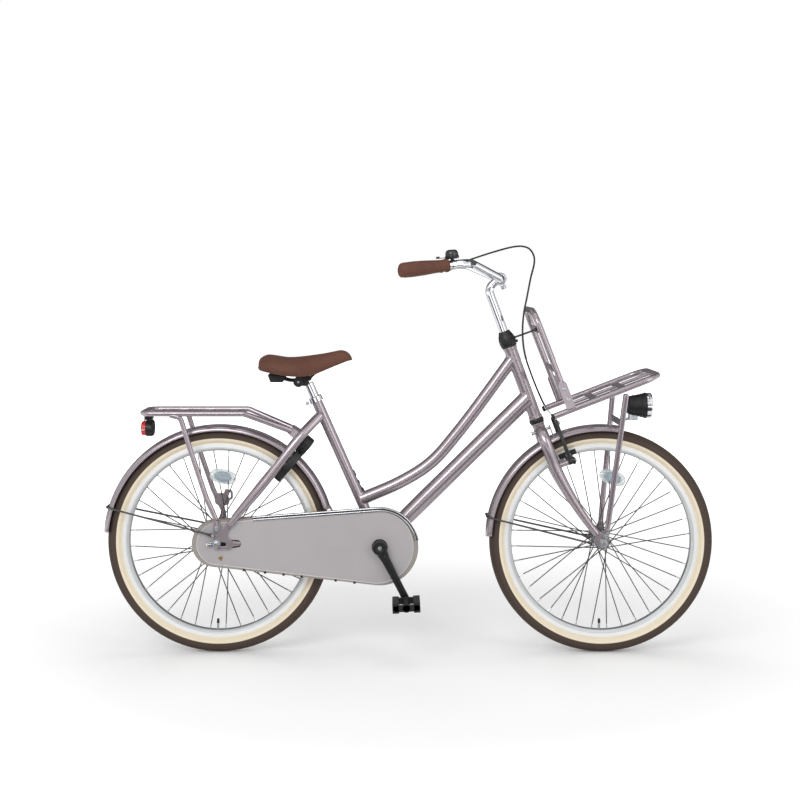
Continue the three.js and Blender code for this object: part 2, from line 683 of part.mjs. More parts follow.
function crankArm(side) {
  const reach = [side * crank.inner, side * (crank.inner + crank.thickness)].sort((a, b) => a - b);
  const tip = crankTip(side);
  const outline = strap(flat(bracket.x, bracket.z), crank.armRoot, flat(tip.x, tip.z), crank.armTip, 6);
  const boss = rod(point(bracket.x, side * (crank.inner - crank.bossSink), bracket.z),
    point(bracket.x, side * (crank.inner + crank.thickness + crank.bossRise), bracket.z),
    crank.bossRadius, crank.bossRadius * 0.86, 16);
  return join(sheet(outline, reach[0], reach[1]), boss);
}

function pedalAxle(side) {
  const tip = crankTip(side);
  return rod(point(tip.x, side * (crank.inner + crank.thickness / 2), tip.z),
    point(tip.x, side * (pedal.outer - pedal.cap - pedal.axleGap), tip.z),
    pedal.axleRadius, pedal.axleRadius, 8);
}

const pedal = { inner: 92, outer: 186, halfLength: 36, halfHeight: 12, axleRadius: 4.5, cap: 6,
  barrel: 11.5, blockDepth: 17, waist: 7, axleGap: 2, inset: 1, groove: { half: 2, past: 1, depth: 2.5 } };
const ringBlank = sheet(toothedOutline(ringTeeth, ringPitchRadius), -chainLine - toothHalf,
  -chainLine + toothHalf, bracket);
const windows = [];
for (let i = 0; i < 5; i++) {
  const angle = (2 * Math.PI * i) / 5;
  const middle = (ringPitchRadius - ringWall + crank.sleeve) / 2;
  const round = middle * Math.sin(Math.PI / 5) - armWidth / 2;
  windows.push(rod(
    point(bracket.x + middle * Math.cos(angle), -chainLine - overrun, bracket.z + middle * Math.sin(angle)),
    point(bracket.x + middle * Math.cos(angle), -chainLine + overrun, bracket.z + middle * Math.sin(angle)),
    round, round, 8));
}
const sleeve = rod(point(bracket.x, -chainLine + toothHalf, bracket.z),
  point(bracket.x, -crank.inner, bracket.z), crank.sleeve, crank.sleeve, 14);
const spindle = rod(point(bracket.x, -crank.inner, bracket.z),
  point(bracket.x, crank.inner - crank.bossSink - seat, bracket.z), spindleRadius, spindleRadius, 12);
piece('right_crank', join(cut(ringBlank, windows), sleeve, spindle, crankArm(sides.right),
  pedalAxle(sides.right)), blackPaint);
piece('left_crank', join(crankArm(sides.left), pedalAxle(sides.left)), blackPaint);

// Pedals: a barrel round the axle between two grooved tread blocks, joined by end plates
function pedalBody(side, pitch) {
  const tip = crankTip(side);
  const { inner, outer, halfLength, halfHeight, barrel, cap, blockDepth, waist, inset, groove } = pedal;
  const span = (from, to) => [side * from, side * to].sort((a, b) => a - b);
  const turnedBox = (x0, x1, z0, z1, y0, y1) => {
    const geometry = new THREE.BoxGeometry(x1 - x0, y1 - y0, z1 - z0);
    geometry.translate((x0 + x1) / 2, (y0 + y1) / 2, (z0 + z1) / 2);
    geometry.rotateY(-radians(pitch));
    geometry.translate(tip.x, 0, tip.z);
    return solid(geometry);
  };
  const [low, high] = span(inner, outer);
  const parts = [-1, 1].map((end) => {
    const x = [end * halfLength, end * (halfLength - blockDepth)].sort((a, b) => a - b);
    return turnedBox(x[0], x[1], -halfHeight, halfHeight, low, high);
  });
  [[inner, inner + cap], [outer - cap, outer]].forEach(([from, to]) => {
    const [y0, y1] = span(from, to);
    parts.push(turnedBox(-halfLength + inset, halfLength - inset, -waist, waist, y0, y1));
  });
  parts.push(rod(point(tip.x, side * inner, tip.z), point(tip.x, side * outer, tip.z), barrel, barrel, 10));
  const bore = rod(point(tip.x, side * (inner - overrun), tip.z),
    point(tip.x, side * (outer - cap), tip.z), pedal.axleRadius + hubPlay, pedal.axleRadius + hubPlay, 10);
  const grooves = [];
  for (let i = 1; i < 4; i++) {
    const y = inner + ((outer - inner) * i) / 4;
    const [y0, y1] = span(y - groove.half, y + groove.half);
    [-1, 1].forEach((end) => [-1, 1].forEach((face) => {
      const x = [end * (halfLength + groove.past), end * (halfLength - blockDepth - groove.past)]
        .sort((a, b) => a - b);
      const z = [face * (halfHeight + groove.past), face * (halfHeight - groove.depth)]
        .sort((a, b) => a - b);
      grooves.push(turnedBox(x[0], x[1], z[0], z[1], y0, y1));
    }));
  }
  return cut(join(parts), bore, grooves);
}

piece('right_pedal', pedalBody(sides.right, 3), blackPlastic);
piece('left_pedal', pedalBody(sides.left, 180 + crankAngle), blackPlastic);

// Chain: a channel of side plates and rollers that straddles the teeth of both wheels
const chainHalf = 3.7;
const slotHalf = 1.75;
const chainOuter = 5.2;
const chainInner = 4.4;
const rollerSkin = 4;
const loop = (grow) => strap(flat(rearAxle.x, rearAxle.z), sprocketPitchRadius + grow,
  flat(bracket.x, bracket.z), ringPitchRadius + grow, 10);
const chainBlank = sheet(loop(chainOuter), -chainLine - chainHalf, -chainLine + chainHalf);
const chainHole = sheet(loop(-chainInner), -chainLine - chainHalf - overrun,
  -chainLine + chainHalf + overrun);
const chainSlot = sheet(loop(rollerSkin), -chainLine - slotHalf, -chainLine + slotHalf);
piece('chain', cut(chainBlank, chainHole, chainSlot), darkSteel);

// Chain case: a deep cover round both wheels of the drive, open towards the wheel behind a lip
const caseRear = { x: -5, radius: 62 };
const caseFrontRadius = 102.5;
const caseOuter = 65;
const caseInner = 35;
const caseWall = 1.8;
const caseLip = 13;
const caseCrankHole = 23;
const caseArc = 12;
const caseOutline = (grow) => strap(flat(caseRear.x, rearAxle.z), caseRear.radius + grow,
  flat(bracket.x, bracket.z), caseFrontRadius + grow, caseArc);
const caseBlank = sheet(caseOutline(0), -caseOuter, -caseInner);
const caseHollow = sheet(caseOutline(-caseWall), -caseOuter + caseWall, -caseInner - caseWall);
const caseMouth = sheet(caseOutline(-caseLip), -caseInner - overrun, -caseInner + overrun);
const crankHole = ring(0, caseCrankHole, -caseOuter - overrun, -caseOuter + overrun, bracket, 16);
const heelSlot = { radius: 12, ahead: 2, tipRadius: 10.5 };
const heelHole = sheet(strap(flat(0, 0), heelSlot.radius, flat(stayHeelX + heelSlot.ahead, 0),
  heelSlot.tipRadius, 4), -caseOuter - overrun, -caseOuter + overrun, rearAxle);
piece('chain_case', cut(caseBlank, caseHollow, caseMouth, crankHole, heelHole), caseCloth);

// The bright trim strip that follows the top edge of the case and its front curve
const trim = { width: 4.5, height: 2.2, depth: 9, startX: 96, frontShare: 0.5 };
function trimEdge(grow) {
  const outline = caseOutline(grow);
  const first = caseArc + 1 + Math.round(caseArc * trim.frontShare);
  const edge = outline.slice(first);
  const end = edge[edge.length - 1];
  const back = outline[0];
  const share = (end.x - trim.startX) / (end.x - back.x);
  return [...edge, end.clone().lerp(back, share)];
}
const trimShape = [...trimEdge(trim.height + seat), ...trimEdge(seat).reverse()];
const trimSkirt = [...trimEdge(trim.height + seat), ...trimEdge(-trim.width).reverse()];
piece('chain_case_trim', join(
  sheet(trimShape, -caseOuter - trim.height, -caseOuter + trim.depth),
  sheet(trimSkirt, -caseOuter - trim.height, -caseOuter - seat)), chrome);

// Fenders: a thin sprung arc with rolled skirts, held by a wire stay on each side
const fenderWall = 1.6;
const fenderHalf = 30;
const skirtDrop = 21;
const stayWire = 2.6;
const fenderStep = 10;
const fenderSpan = { rear: [16, 176], front: [79, 178] };

function fenderSection() {
  const outer = [flat(-1, 1), flat(-0.8, 0.36), flat(-0.34, 0), flat(0.34, 0), flat(0.8, 0.36), flat(1, 1)];
  const skin = (grow) => outer.map((p) =>
    flat(p.x * (fenderHalf - grow), -p.y * skirtDrop - (Math.abs(p.x) < 1 ? grow : 0)));
  return new THREE.Shape([...skin(0), ...skin(fenderWall).reverse()]);
}

function fenderArc(centre, from, to) {
  const steps = Math.round((to - from) / fenderStep);
  const path = new WheelArc(centre, fenderRadius, from, to, steps);
  return solid(new THREE.ExtrudeGeometry(fenderSection(), { steps, extrudePath: path }));
}

const onWheel = (centre, radius, angle, y) => point(
  centre.x + radius * Math.cos(radians(angle)), y, centre.z + radius * Math.sin(radians(angle)));

// The fender's outer radius at an angle, on the straight facet between two of its sections.
function facetRadius([from, to], angle) {
  const step = (to - from) / Math.round((to - from) / fenderStep);
  const middle = from + step * (Math.floor((angle - from) / step) + 0.5);
  return (fenderRadius * Math.cos(radians(step / 2))) / Math.cos(radians(angle - middle));
}

// A wire stay from the fender's skirt down to an eye at the dropout, on both sides of the wheel.
function stayBody(centre, span, angle, eye, eyeY) {
  const skirtY = fenderHalf + stayWire + seat;
  const top = onWheel(centre, facetRadius(span, angle) + stayWire + seat, angle, 0);
  const wires = Object.values(sides).map((side) => {
    const shoulder = onWheel(centre, fenderRadius - skirtDrop * 0.4, angle, side * skirtY);
    const end = point(centre.x + eye.x, side * eyeY, centre.z + eye.z);
    const flatEnd = rod(point(end.x, side * (eyeY - stayWire * 2), end.z),
      point(end.x, side * (eyeY + stayWire), end.z), stayWire * 2.2, stayWire * 2.2, 8);
    return join(bentTube([point(top.x, 0, top.z), point(top.x, side * skirtY, top.z), shoulder, end],
      stayWire, 0, 6, 0), flatEnd);
  });
  return join(wires);
}

const stayEye = { rear: { x: -9, z: 24 }, front: { x: -27, z: -1 } };
const stayAngle = { rear: 163, front: 168 };
const rearEyeY = dropoutOuter + seat + stayWire * 2;
const bracketStrap = { width: 18, thickness: 2.5 };
const strapTopShare = 0.2;
const lowEnd = onWheel(rearAxle, fenderRadius - fenderWall, fenderSpan.rear[0] + 1, 0);
const strapFoot = point(bridgeX - bridgeRadius - seat - bracketStrap.thickness, 0, bracket.z);
const strapTopZ = lowEnd.z * strapTopShare + bracket.z * (1 - strapTopShare);
const strapRun = block(
  point(strapFoot.x, -bracketStrap.width / 2, bracket.z - bridgeRadius),
  point(strapFoot.x + bracketStrap.thickness, bracketStrap.width / 2, strapTopZ));
const strapTop = rod(
  point(strapFoot.x + bracketStrap.thickness / 2, 0, strapTopZ - fenderWall),
  point(lowEnd.x + fenderWall, 0, lowEnd.z), bracketStrap.thickness, bracketStrap.thickness, 6);
const bridgeAngle = THREE.MathUtils.radToDeg(Math.atan2(seatStay.bowZ - rearAxle.z, seatStay.bowX));
const fenderLugRadius = 5;
const bridgeReach = Math.hypot(seatStay.bowX, seatStay.bowZ - rearAxle.z) - bridgeRadius - seat;
const fenderLug = rod(onWheel(rearAxle, fenderRadius - fenderWall, bridgeAngle, 0),
  onWheel(rearAxle, bridgeReach, bridgeAngle, 0), fenderLugRadius, fenderLugRadius, 6);
piece('rear_fender', join(fenderArc(rearAxle, ...fenderSpan.rear), strapRun, strapTop, fenderLug), paint);
piece('rear_fender_stay', stayBody(rearAxle, fenderSpan.rear, stayAngle.rear, stayEye.rear,
  rearEyeY), darkSteel);

// Rear load carrier: a bent rail with cross slats, on a leg each side
const rackRise = { deck: 34.5, foot: 18, knee: 106, ankle: 124.5 };
const rack = {
  railRadius: 7.5, half: 70, deckZ: rearAxle.z + fenderRadius + rackRise.deck, rearX: -206, bendX: 72,
  footX: 196, footZ: seatStay.bowZ + rackRise.foot,
  footHalf: 38, bend: 26, slatWidth: 22, slatThickness: 3, slatCount: 4,
};
function rackRails() {
  const { half, deckZ, rearX, bendX, footX, footZ, footHalf, railRadius, bend } = rack;
  const corner = (x, y, z) => point(x, y, z);
  const rearBar = rearX + railRadius;
  return bentTube([
    corner(footX, footHalf, footZ), corner(bendX, half, deckZ), corner(rearBar, half, deckZ),
    corner(rearBar, -half, deckZ), corner(bendX, -half, deckZ), corner(footX, -footHalf, footZ),
  ], railRadius, bend, 8, 3);
}
const slats = [];
for (let i = 0; i < rack.slatCount; i++) {
  const x = rack.rearX + (rack.bendX - rack.rearX) * ((i + 0.8) / rack.slatCount) - rack.slatWidth;
  slats.push(block(
    point(x - rack.slatWidth / 2, -rack.half, rack.deckZ - rack.slatThickness / 2),
    point(x + rack.slatWidth / 2, rack.half, rack.deckZ + rack.slatThickness / 2)));
}
const lampPlate = { halfWidth: 34, thickness: 3, drop: 22 };
const lampHanger = block(
  point(rack.rearX + rack.railRadius, -lampPlate.halfWidth, rack.deckZ - lampPlate.drop),
  point(rack.rearX + rack.railRadius + lampPlate.thickness, lampPlate.halfWidth, rack.deckZ));
const rackFoot = (side) => {
  const reach = [side * (rack.footHalf - rackFootThickness), side * rack.footHalf].sort((a, b) => a - b);
  return sheet(strap(flat(rack.footX, rack.footZ), rack.railRadius * 1.2,
    flat(seatStay.bowX, seatStay.bowZ), bridgeRadius * 1.7, 5), reach[0], reach[1]);
};
const bridgeTool = rod(point(seatStay.bowX, -seatStay.bowY, seatStay.bowZ),
  point(seatStay.bowX, seatStay.bowY, seatStay.bowZ), bridgeRadius + seat, bridgeRadius + seat, 8);
piece('rear_rack', cut(
  join(rackRails(), slats, lampHanger, Object.values(sides).map(rackFoot)), bridgeTool,
  seatStayTube(sides.left, seat), seatStayTube(sides.right, seat)), paint);

const rackLeg = {
  radius: 7, topX: -89.5, kneeX: -66, kneeZ: rack.deckZ - rackRise.knee, ankleX: -27,
  ankleZ: rearAxle.z + rackRise.ankle, bend: 12, boltRadius: 5,
};
function rackLegBody(side) {
  const footY = dropoutOuter + seat + rackFootThickness / 2;
  const top = point(rackLeg.topX, side * rack.half, rack.deckZ - rack.railRadius - seat - rackLeg.radius);
  const cap = point(rackLeg.topX - rackLeg.radius * 2, side * rack.half, top.z);
  const end = point(rackTab.x, side * (footY + rackLeg.radius - rackFootThickness / 2),
    rearAxle.z + rackTab.z + rackTab.radius * 2);
  const tube = bentTube([cap, top, point(rackLeg.kneeX, side * rack.half, rackLeg.kneeZ),
    point(rackLeg.ankleX, side * (rack.half + rackLeg.radius * 0.6), rackLeg.ankleZ), end],
  rackLeg.radius, rackLeg.bend, 8, 2);
  const reach = [side * (footY - rackFootThickness / 2), side * (footY + rackFootThickness / 2)]
    .sort((a, b) => a - b);
  const foot = sheet(strap(flat(rackTab.x, rackTab.z), rackTab.radius * 0.8,
    flat(end.x, end.z - rearAxle.z), rackLeg.radius, 4), reach[0], reach[1], rearAxle);
  const bolt = rod(point(rackTab.x, side * footY, rearAxle.z + rackTab.z),
    point(rackTab.x, side * (footY + rackLeg.radius), rearAxle.z + rackTab.z),
    rackLeg.boltRadius, rackLeg.boltRadius, 6);
  return join(tube, foot, bolt);
}
piece('rear_rack_right_leg', rackLegBody(sides.right), paint);
const hookRise = { low: 10, high: 50 };
const hook = {
  lowZ: rackLeg.ankleZ + hookRise.low, highZ: rackLeg.ankleZ + hookRise.high, reach: 26, thickness: 3,
  width: 16,
};
const hookX = (rackLeg.kneeX + rackLeg.ankleX) / 2;
const hookPlate = sheet([
  flat(hookX, hook.highZ), flat(hookX + hook.reach, hook.highZ - hook.width * 0.4),
  flat(hookX + hook.reach + hook.thickness, hook.highZ - hook.width * 1.4),
  flat(hookX + hook.reach - hook.thickness, hook.highZ - hook.width),
  flat(hookX + hook.thickness * 3, hook.highZ - hook.width * 1.1), flat(hookX, hook.lowZ),
], rack.half - hook.thickness / 2, rack.half + hook.thickness / 2);
piece('rear_rack_left_leg', join(rackLegBody(sides.left), hookPlate), paint);

// Rear light under the end of the carrier
const tailLampPlace = { topDrop: 24, bottomDrop: 66, back: 10, front: 28 };
const tailLamp = {
  halfWidth: 30, top: rack.deckZ - tailLampPlace.topDrop, bottom: rack.deckZ - tailLampPlace.bottomDrop,
  back: rack.rearX + tailLampPlace.back, front: rack.rearX + tailLampPlace.front, lens: 13, lensInset: 2,
};
const endTrim = 0.01;
const lampMiddle = (tailLamp.top + tailLamp.bottom) / 2;
const lampHalf = (tailLamp.top - tailLamp.bottom) / 2;
const pill = (grow) => strap(flat(-tailLamp.halfWidth + lampHalf, 0), lampHalf + grow,
  flat(tailLamp.halfWidth - lampHalf, 0), lampHalf + grow - endTrim, 5);
function standing(outline, fromX, toX, z) {
  const geometry = new THREE.ExtrudeGeometry(new THREE.Shape(outline),
    { depth: toX - fromX, bevelEnabled: false });
  geometry.rotateX(Math.PI / 2);
  geometry.rotateZ(Math.PI / 2);
  geometry.translate(fromX, 0, z);
  return solid(geometry);
}
const lampNeck = block(
  point(rack.rearX + rack.railRadius + lampPlate.thickness + seat, -lampPlate.halfWidth * 0.5, lampMiddle),
  point(tailLamp.front - overrun, lampPlate.halfWidth * 0.5, rack.deckZ - rack.railRadius - seat));
piece('rear_light', join(standing(pill(0), tailLamp.back, tailLamp.front, lampMiddle), lampNeck),
  blackPlastic);
piece('rear_light_lens', standing(pill(-tailLamp.lensInset), tailLamp.back - tailLamp.lens,
  tailLamp.back - seat, lampMiddle), redLens);

// Ring lock: a horseshoe round the tyre, grooved for the curved bolt that slides across the spokes
const lock = {
  angle: 49, centre: 276, forward: 7.2, inner: 45, outer: 62, thickness: 18, gapAngle: 42, crown: 91,
  crownHalf: 36, boltInner: 50.5, boltOuter: 58, boltHalf: 4, play: 0.5, boltFrom: -150, boltTo: -44,
  step: 12, grooveReach: 32, grooveStart: 4, grooveEnd: 6, leftGrooveEnd: 20, knobSink: 1, knobRise: 10,
};
const lockOut = point(Math.cos(radians(lock.angle)), 0, Math.sin(radians(lock.angle)));
const lockNormal = point(-lockOut.z, 0, lockOut.x);
const lockCentre = along(along(rearAxle, lockOut, lock.centre), lockNormal, -lock.forward);

// An outline in the lock's own plane (across, outwards), made as thick as wanted and stood in place.
function lockSheet(outline, half, offset = 0) {
  const geometry = new THREE.ExtrudeGeometry(new THREE.Shape(outline),
    { depth: half * 2, bevelEnabled: false });
  geometry.translate(0, 0, -half + offset);
  const turn = new THREE.Matrix4().makeBasis(across, lockOut, across.clone().cross(lockOut));
  geometry.applyMatrix4(turn);
  geometry.translate(lockCentre.x, lockCentre.y, lockCentre.z);
  return solid(geometry);
}

// A stretch of a flat ring; angles count from straight inwards, positive to the left.
function lockArc(inner, outer, from, to) {
  const steps = Math.max(2, Math.round(Math.abs(to - from) / lock.step));
  const at = (radius, angle) =>
    flat(radius * Math.sin(radians(angle)), -radius * Math.cos(radians(angle)));
  const outline = [];
  for (let i = 0; i <= steps; i++) outline.push(at(outer, from + ((to - from) * i) / steps));
  for (let i = steps; i >= 0; i--) outline.push(at(inner, from + ((to - from) * i) / steps));
  return outline;
}

const lockHalf = lock.thickness / 2;
const horseshoe = lockSheet(lockArc(lock.inner, lock.outer, lock.gapAngle, 360 - lock.gapAngle), lockHalf);
const lockCrown = lockSheet([
  flat(-lock.crownHalf, lock.inner), flat(lock.crownHalf, lock.inner),
  flat(lock.crownHalf, lock.crown * 0.86), flat(lock.crownHalf * 0.7, lock.crown),
  flat(-lock.crownHalf * 0.7, lock.crown), flat(-lock.crownHalf, lock.crown * 0.86),
], lockHalf * 1.35);
const boltGroove = lockSheet(lockArc(lock.boltInner - lock.play, lock.outer + lock.grooveReach,
  lock.boltFrom - lock.grooveStart, -lock.gapAngle + lock.grooveEnd), lock.boltHalf + lock.play);
const leftGroove = lockSheet(lockArc(lock.boltInner - lock.play, lock.boltOuter + lock.play,
  lock.gapAngle - lock.grooveEnd, lock.gapAngle + lock.leftGrooveEnd), lock.boltHalf + lock.play);
const lockBody = cut(join(horseshoe, lockCrown), boltGroove, leftGroove);
piece('lock_housing', lockBody, blackPlastic);
const boltArc = lockSheet(lockArc(lock.boltInner, lock.boltOuter, lock.boltFrom, lock.boltTo),
  lock.boltHalf);
const knob = lockSheet(lockArc(lock.boltOuter - lock.knobSink, lock.outer + lock.knobRise,
  lock.boltFrom + lock.knobSink, lock.boltFrom + lock.knobRise), lock.boltHalf);
piece('lock_bolt', join(boltArc, knob), steel);

// Saddle on its post: a padded cover over a pair of rails, which a clamp holds to the post's head
const saddleRise = 56.5;
const postHeadDrop = 13.5;
const saddle = { rear: 105, nose: 357, halfWidth: 106, noseHalf: 25, baseZ: seatTop.z + saddleRise,
  height: 73.5 };
const saddleTopShares = [0.84, 0.85, 0.77, 0.8, 0.88, 0.96, 1, 0.76];
const saddleLowShares = [0.29, 0.13, 0.03, 0, 0, 0.17, 0.38, 0.6];
const seatPost = { headZ: saddle.baseZ - postHeadDrop, insert: 190 };
const postHead = along(seatTop, seatUp, (seatPost.headZ - seatTop.z) / seatUp.z);
piece('seat_post', rod(along(seatTop, seatUp, -seatPost.insert), postHead, postRadius, postRadius, 16),
  chrome);

// The value at a share of the way through evenly spaced ones, eased from each to the next.
function shareOf(shares, share) {
  const place = share * (shares.length - 1);
  const before = Math.min(Math.floor(place), shares.length - 2);
  return THREE.MathUtils.lerp(shares[before], shares[before + 1], place - before);
}

// The cushion: a sphere whose rows run from tail to nose, each set to the saddle's width and height.
function saddleBody(grow) {
  const geometry = new THREE.SphereGeometry(1, 16, 14);
  const corner = geometry.attributes.position;
  for (let i = 0; i < corner.count; i++) {
    const pole = THREE.MathUtils.clamp(corner.getY(i), -1, 1);
    const share = Math.acos(-pole) / Math.PI;
    const ring = Math.sqrt(Math.max(0, 1 - pole * pole));
    const turn = Math.atan2(corner.getZ(i), corner.getX(i));
    const fullness = Math.pow(ring, 0.5);
    const crowned = Math.pow(ring, 0.25);
    const taper = THREE.MathUtils.smoothstep(share, 0.16, 0.8);
    const width = THREE.MathUtils.lerp(saddle.halfWidth, saddle.noseHalf, taper) * fullness + grow;
    const top = saddle.baseZ + saddle.height * shareOf(saddleTopShares, share);
    const low = saddle.baseZ + saddle.height * shareOf(saddleLowShares, share);
    const half = ((top - low) / 2) * crowned + grow;
    const sideways = Math.sign(Math.cos(turn)) * Math.pow(Math.abs(Math.cos(turn)), 0.8);
    const upward = Math.sign(Math.sin(turn)) * Math.pow(Math.abs(Math.sin(turn)), 0.7);
    corner.setXYZ(i, saddle.rear + (saddle.nose - saddle.rear) * share - grow * pole * -1,
      sideways * width * (ring > 0), (top + low) / 2 + upward * half * (ring > 0));
  }
  return solid(geometry);
}
piece('saddle', saddleBody(0), brownLeather);
const railInset = { rear: 30, nose: 35, drop: 5.5 };
const rail = {
  radius: 3.5, half: 22, rearX: saddle.rear + railInset.rear, noseX: saddle.nose - railInset.nose,
  lowZ: saddle.baseZ - railInset.drop, rise: 16, bend: 20,
};
const clampPlace = { below: 18, above: 8, rear: 101, front: 139 };
const clamp = {
  low: rail.lowZ - clampPlace.below, high: rail.lowZ + clampPlace.above,
  rear: saddle.rear + clampPlace.rear, front: saddle.rear + clampPlace.front, half: 27, boltRadius: 6,
};
const bumperInset = 47;
const bumper = { x: saddle.rear + bumperInset, z: saddle.baseZ, radius: 10, half: 40 };
const rails = Object.values(sides).map((side) => bentTube([
  point(rail.rearX, side * rail.half, rail.lowZ + rail.rise),
  point(clamp.rear - rail.rise, side * rail.half, rail.lowZ),
  point(clamp.front + rail.rise, side * rail.half, rail.lowZ),
  point(rail.noseX, side * rail.half * 0.35, rail.lowZ + rail.rise * 2.4),
], rail.radius, rail.bend, 6, 2));
const clampBlock = block(point(clamp.rear, -clamp.half, clamp.low),
  point(clamp.front, clamp.half, clamp.high));
const clampBolt = rod(point((clamp.rear + clamp.front) / 2, -clamp.half * 1.3, rail.lowZ),
  point((clamp.rear + clamp.front) / 2, clamp.half * 1.3, rail.lowZ), clamp.boltRadius, clamp.boltRadius, 6);
const bumperRod = rod(point(bumper.x, -bumper.half, bumper.z), point(bumper.x, bumper.half, bumper.z),
  bumper.radius, bumper.radius, 8);
const postTool = rod(along(seatTop, seatUp, 0), along(postHead, seatUp, seat),
  postRadius + seat, postRadius + seat, 16);
piece('saddle_frame', cut(join(rails, clampBlock, clampBolt, bumperRod), postTool, saddleBody(seat)),
  blackPlastic);

const collar = { width: 15, wall: 4, play: 0.4, ear: 14, boltRadius: 4 };
function turnedAlong(start, direction, profile, segments) {
  const closed = [...profile, profile[0]].map(([radius, rise]) => flat(radius, rise));
  const geometry = new THREE.LatheGeometry(closed, segments);
  geometry.applyQuaternion(new THREE.Quaternion().setFromUnitVectors(across, direction));
  geometry.translate(start.x, start.y, start.z);
  return solid(geometry);
}
const collarBore = seatTubeRadius + collar.play;
const collarStart = along(seatTop, seatUp, -collar.width);
const collarRing = turnedAlong(collarStart, seatUp, [
  [collarBore, 0], [seatTubeRadius + collar.wall, 0], [seatTubeRadius + collar.wall, collar.width],
  [collarBore, collar.width]], 16);
const seatBack = point(-seatUp.z, 0, seatUp.x);
const earRoot = along(along(collarStart, seatUp, collar.width / 2), seatBack,
  seatTubeRadius + collar.wall / 2);
const ears = rod(earRoot, along(earRoot, seatBack, collar.ear), collar.width / 2.2, collar.width / 2.4, 8);
const earBolt = rod(
  along(along(earRoot, seatBack, collar.ear * 0.6), across, -collar.ear),
  along(along(earRoot, seatBack, collar.ear * 0.6), across, collar.ear),
  collar.boltRadius, collar.boltRadius, 6);
piece('seat_clamp', join(collarRing, ears, earBolt), chrome);

// Fork: the steerer, a bent crown and two raked blades with their dropouts, brazed into one piece
const fork = {
  crownDrop: 36, crownRadius: 16, bladeY: 48.5, tipRadius: 11, tipSpread: 2.5,
  boltRadius: 4.5, boltBack: 24, boltFront: 26, steererRise: 26, boreDepth: 95, quillPlay: 0.4,
};
const forkPlate = { hub: 13, blade: 10, legRoot: 12, stayRoot: 9, stayEye: 6 };
const quillRadius = 11;
const bladeRakeShares = [0, 0.01, 0.19, 0.57, 0.87];
const bladeFallShares = [0.17, 0.36, 0.56, 0.8, 0.93];
const bladeEndY = frontDropoutGap / 2 + fork.tipSpread;
const bladePlaces = bladeRakeShares.map((share, i) => {
  const spread = i / (bladeRakeShares.length - 1);
  const y = fork.bladeY + (bladeEndY - fork.bladeY) * spread;
  return atSteering(forkRake * share, y, -forkLength * bladeFallShares[i]);
});
const crownPlaces = [1, -1].map((side) =>
  atSteering(0, side * fork.bladeY * 0.7, -fork.crownDrop - fork.crownRadius * 0.25));
const bladeRadius = (share) =>
  fork.tipRadius + (fork.crownRadius - fork.tipRadius) * (1 - Math.abs(2 * share - 1));
const blades = taperedTube([...bladePlaces.slice().reverse(), crownPlaces[0],
  atSteering(0, 0, -fork.crownDrop), crownPlaces[1], ...bladePlaces.map((p) => bySide(p, -1))],
bladeRadius, 10, 22);
const frontInner = frontDropoutGap / 2;
const frontOuter = frontInner + dropoutThickness;
const bladeTip = atSteering(forkRake * bladeRakeShares[4], 0, -forkLength * bladeFallShares[4]);
const legEye = { x: 7.4, z: 18.5, radius: 9 };
function forkDropout(side) {
  const reach = [side * frontInner, side * frontOuter].sort((a, b) => a - b);
  const hub = flat(frontAxle.x, frontAxle.z);
  const outlines = [
    strap(hub, forkPlate.hub, flat(bladeTip.x, bladeTip.z), forkPlate.blade, 4),
    strap(hub, forkPlate.legRoot, flat(frontAxle.x + legEye.x, frontAxle.z + legEye.z), legEye.radius, 4),
    strap(hub, forkPlate.stayRoot,
      flat(frontAxle.x + stayEye.front.x, frontAxle.z + stayEye.front.z), forkPlate.stayEye, 4),
  ];
  const slot = strap(hub, axleRadius + seat, flat(frontAxle.x, frontAxle.z - tyreWidth),
    axleRadius + seat, 4);
  return cut(join(outlines.map((outline) => sheet(outline, reach[0], reach[1]))),
    sheet(slot, reach[0] - overrun, reach[1] + overrun));
}
const steerer = rod(atSteering(0, 0, -fork.crownDrop), atSteering(0, 0, headTubeLength + fork.steererRise),
  steererRadius, steererRadius, 16);
const quillBore = rod(atSteering(0, 0, headTubeLength - fork.boreDepth),
  atSteering(0, 0, headTubeLength + fork.steererRise + overrun), quillRadius + fork.quillPlay,
  quillRadius + fork.quillPlay, 16);
const crownBolt = rod(atSteering(-fork.boltBack, 0, -fork.crownDrop),
  atSteering(fork.boltFront, 0, -fork.crownDrop), fork.boltRadius, fork.boltRadius, 6);

// Brake arms on pins in front of the blades, with their pads beside the rim
const brake = {
  y: 42, drop: 134.7, bossEnd: 38, front: 40, thickness: 10, pinRadius: 4, play: 0.4, topDrop: 21,
  topY: 40, width: 7, padRise: 18.7, padHalf: 24, padHeight: 10, padGap: 1.3, padThickness: 12,
  bossRadius: 7, pinSink: 1, pinTail: 3, capGap: 0.5, capEnd: 4, capRadius: 6.5, padBoltSink: 2,
  padBoltRadius: 4, cableInset: 1,
};
const padMiddle = brake.front + brake.thickness / 2;
function brakeBoss(side) {
  const y = side * brake.y;
  const onPin = (ahead) => atSteering(ahead, y, -brake.drop);
  const armFront = brake.front + brake.thickness;
  const boss = rod(onPin(0), onPin(brake.bossEnd), brake.bossRadius, brake.bossRadius, 8);
  const pin = rod(onPin(brake.bossEnd - brake.pinSink), onPin(armFront + brake.pinTail),
    brake.pinRadius, brake.pinRadius, 8);
  const cap = rod(onPin(armFront + brake.capGap), onPin(armFront + brake.capEnd),
    brake.capRadius, brake.capRadius, 6);
  return join(boss, pin, cap);
}
const forkBody = cut(join(blades, steerer, crownBolt,
  Object.values(sides).map((side) => [forkDropout(side), brakeBoss(side)]).flat()), quillBore);
piece('fork', forkBody, paint);

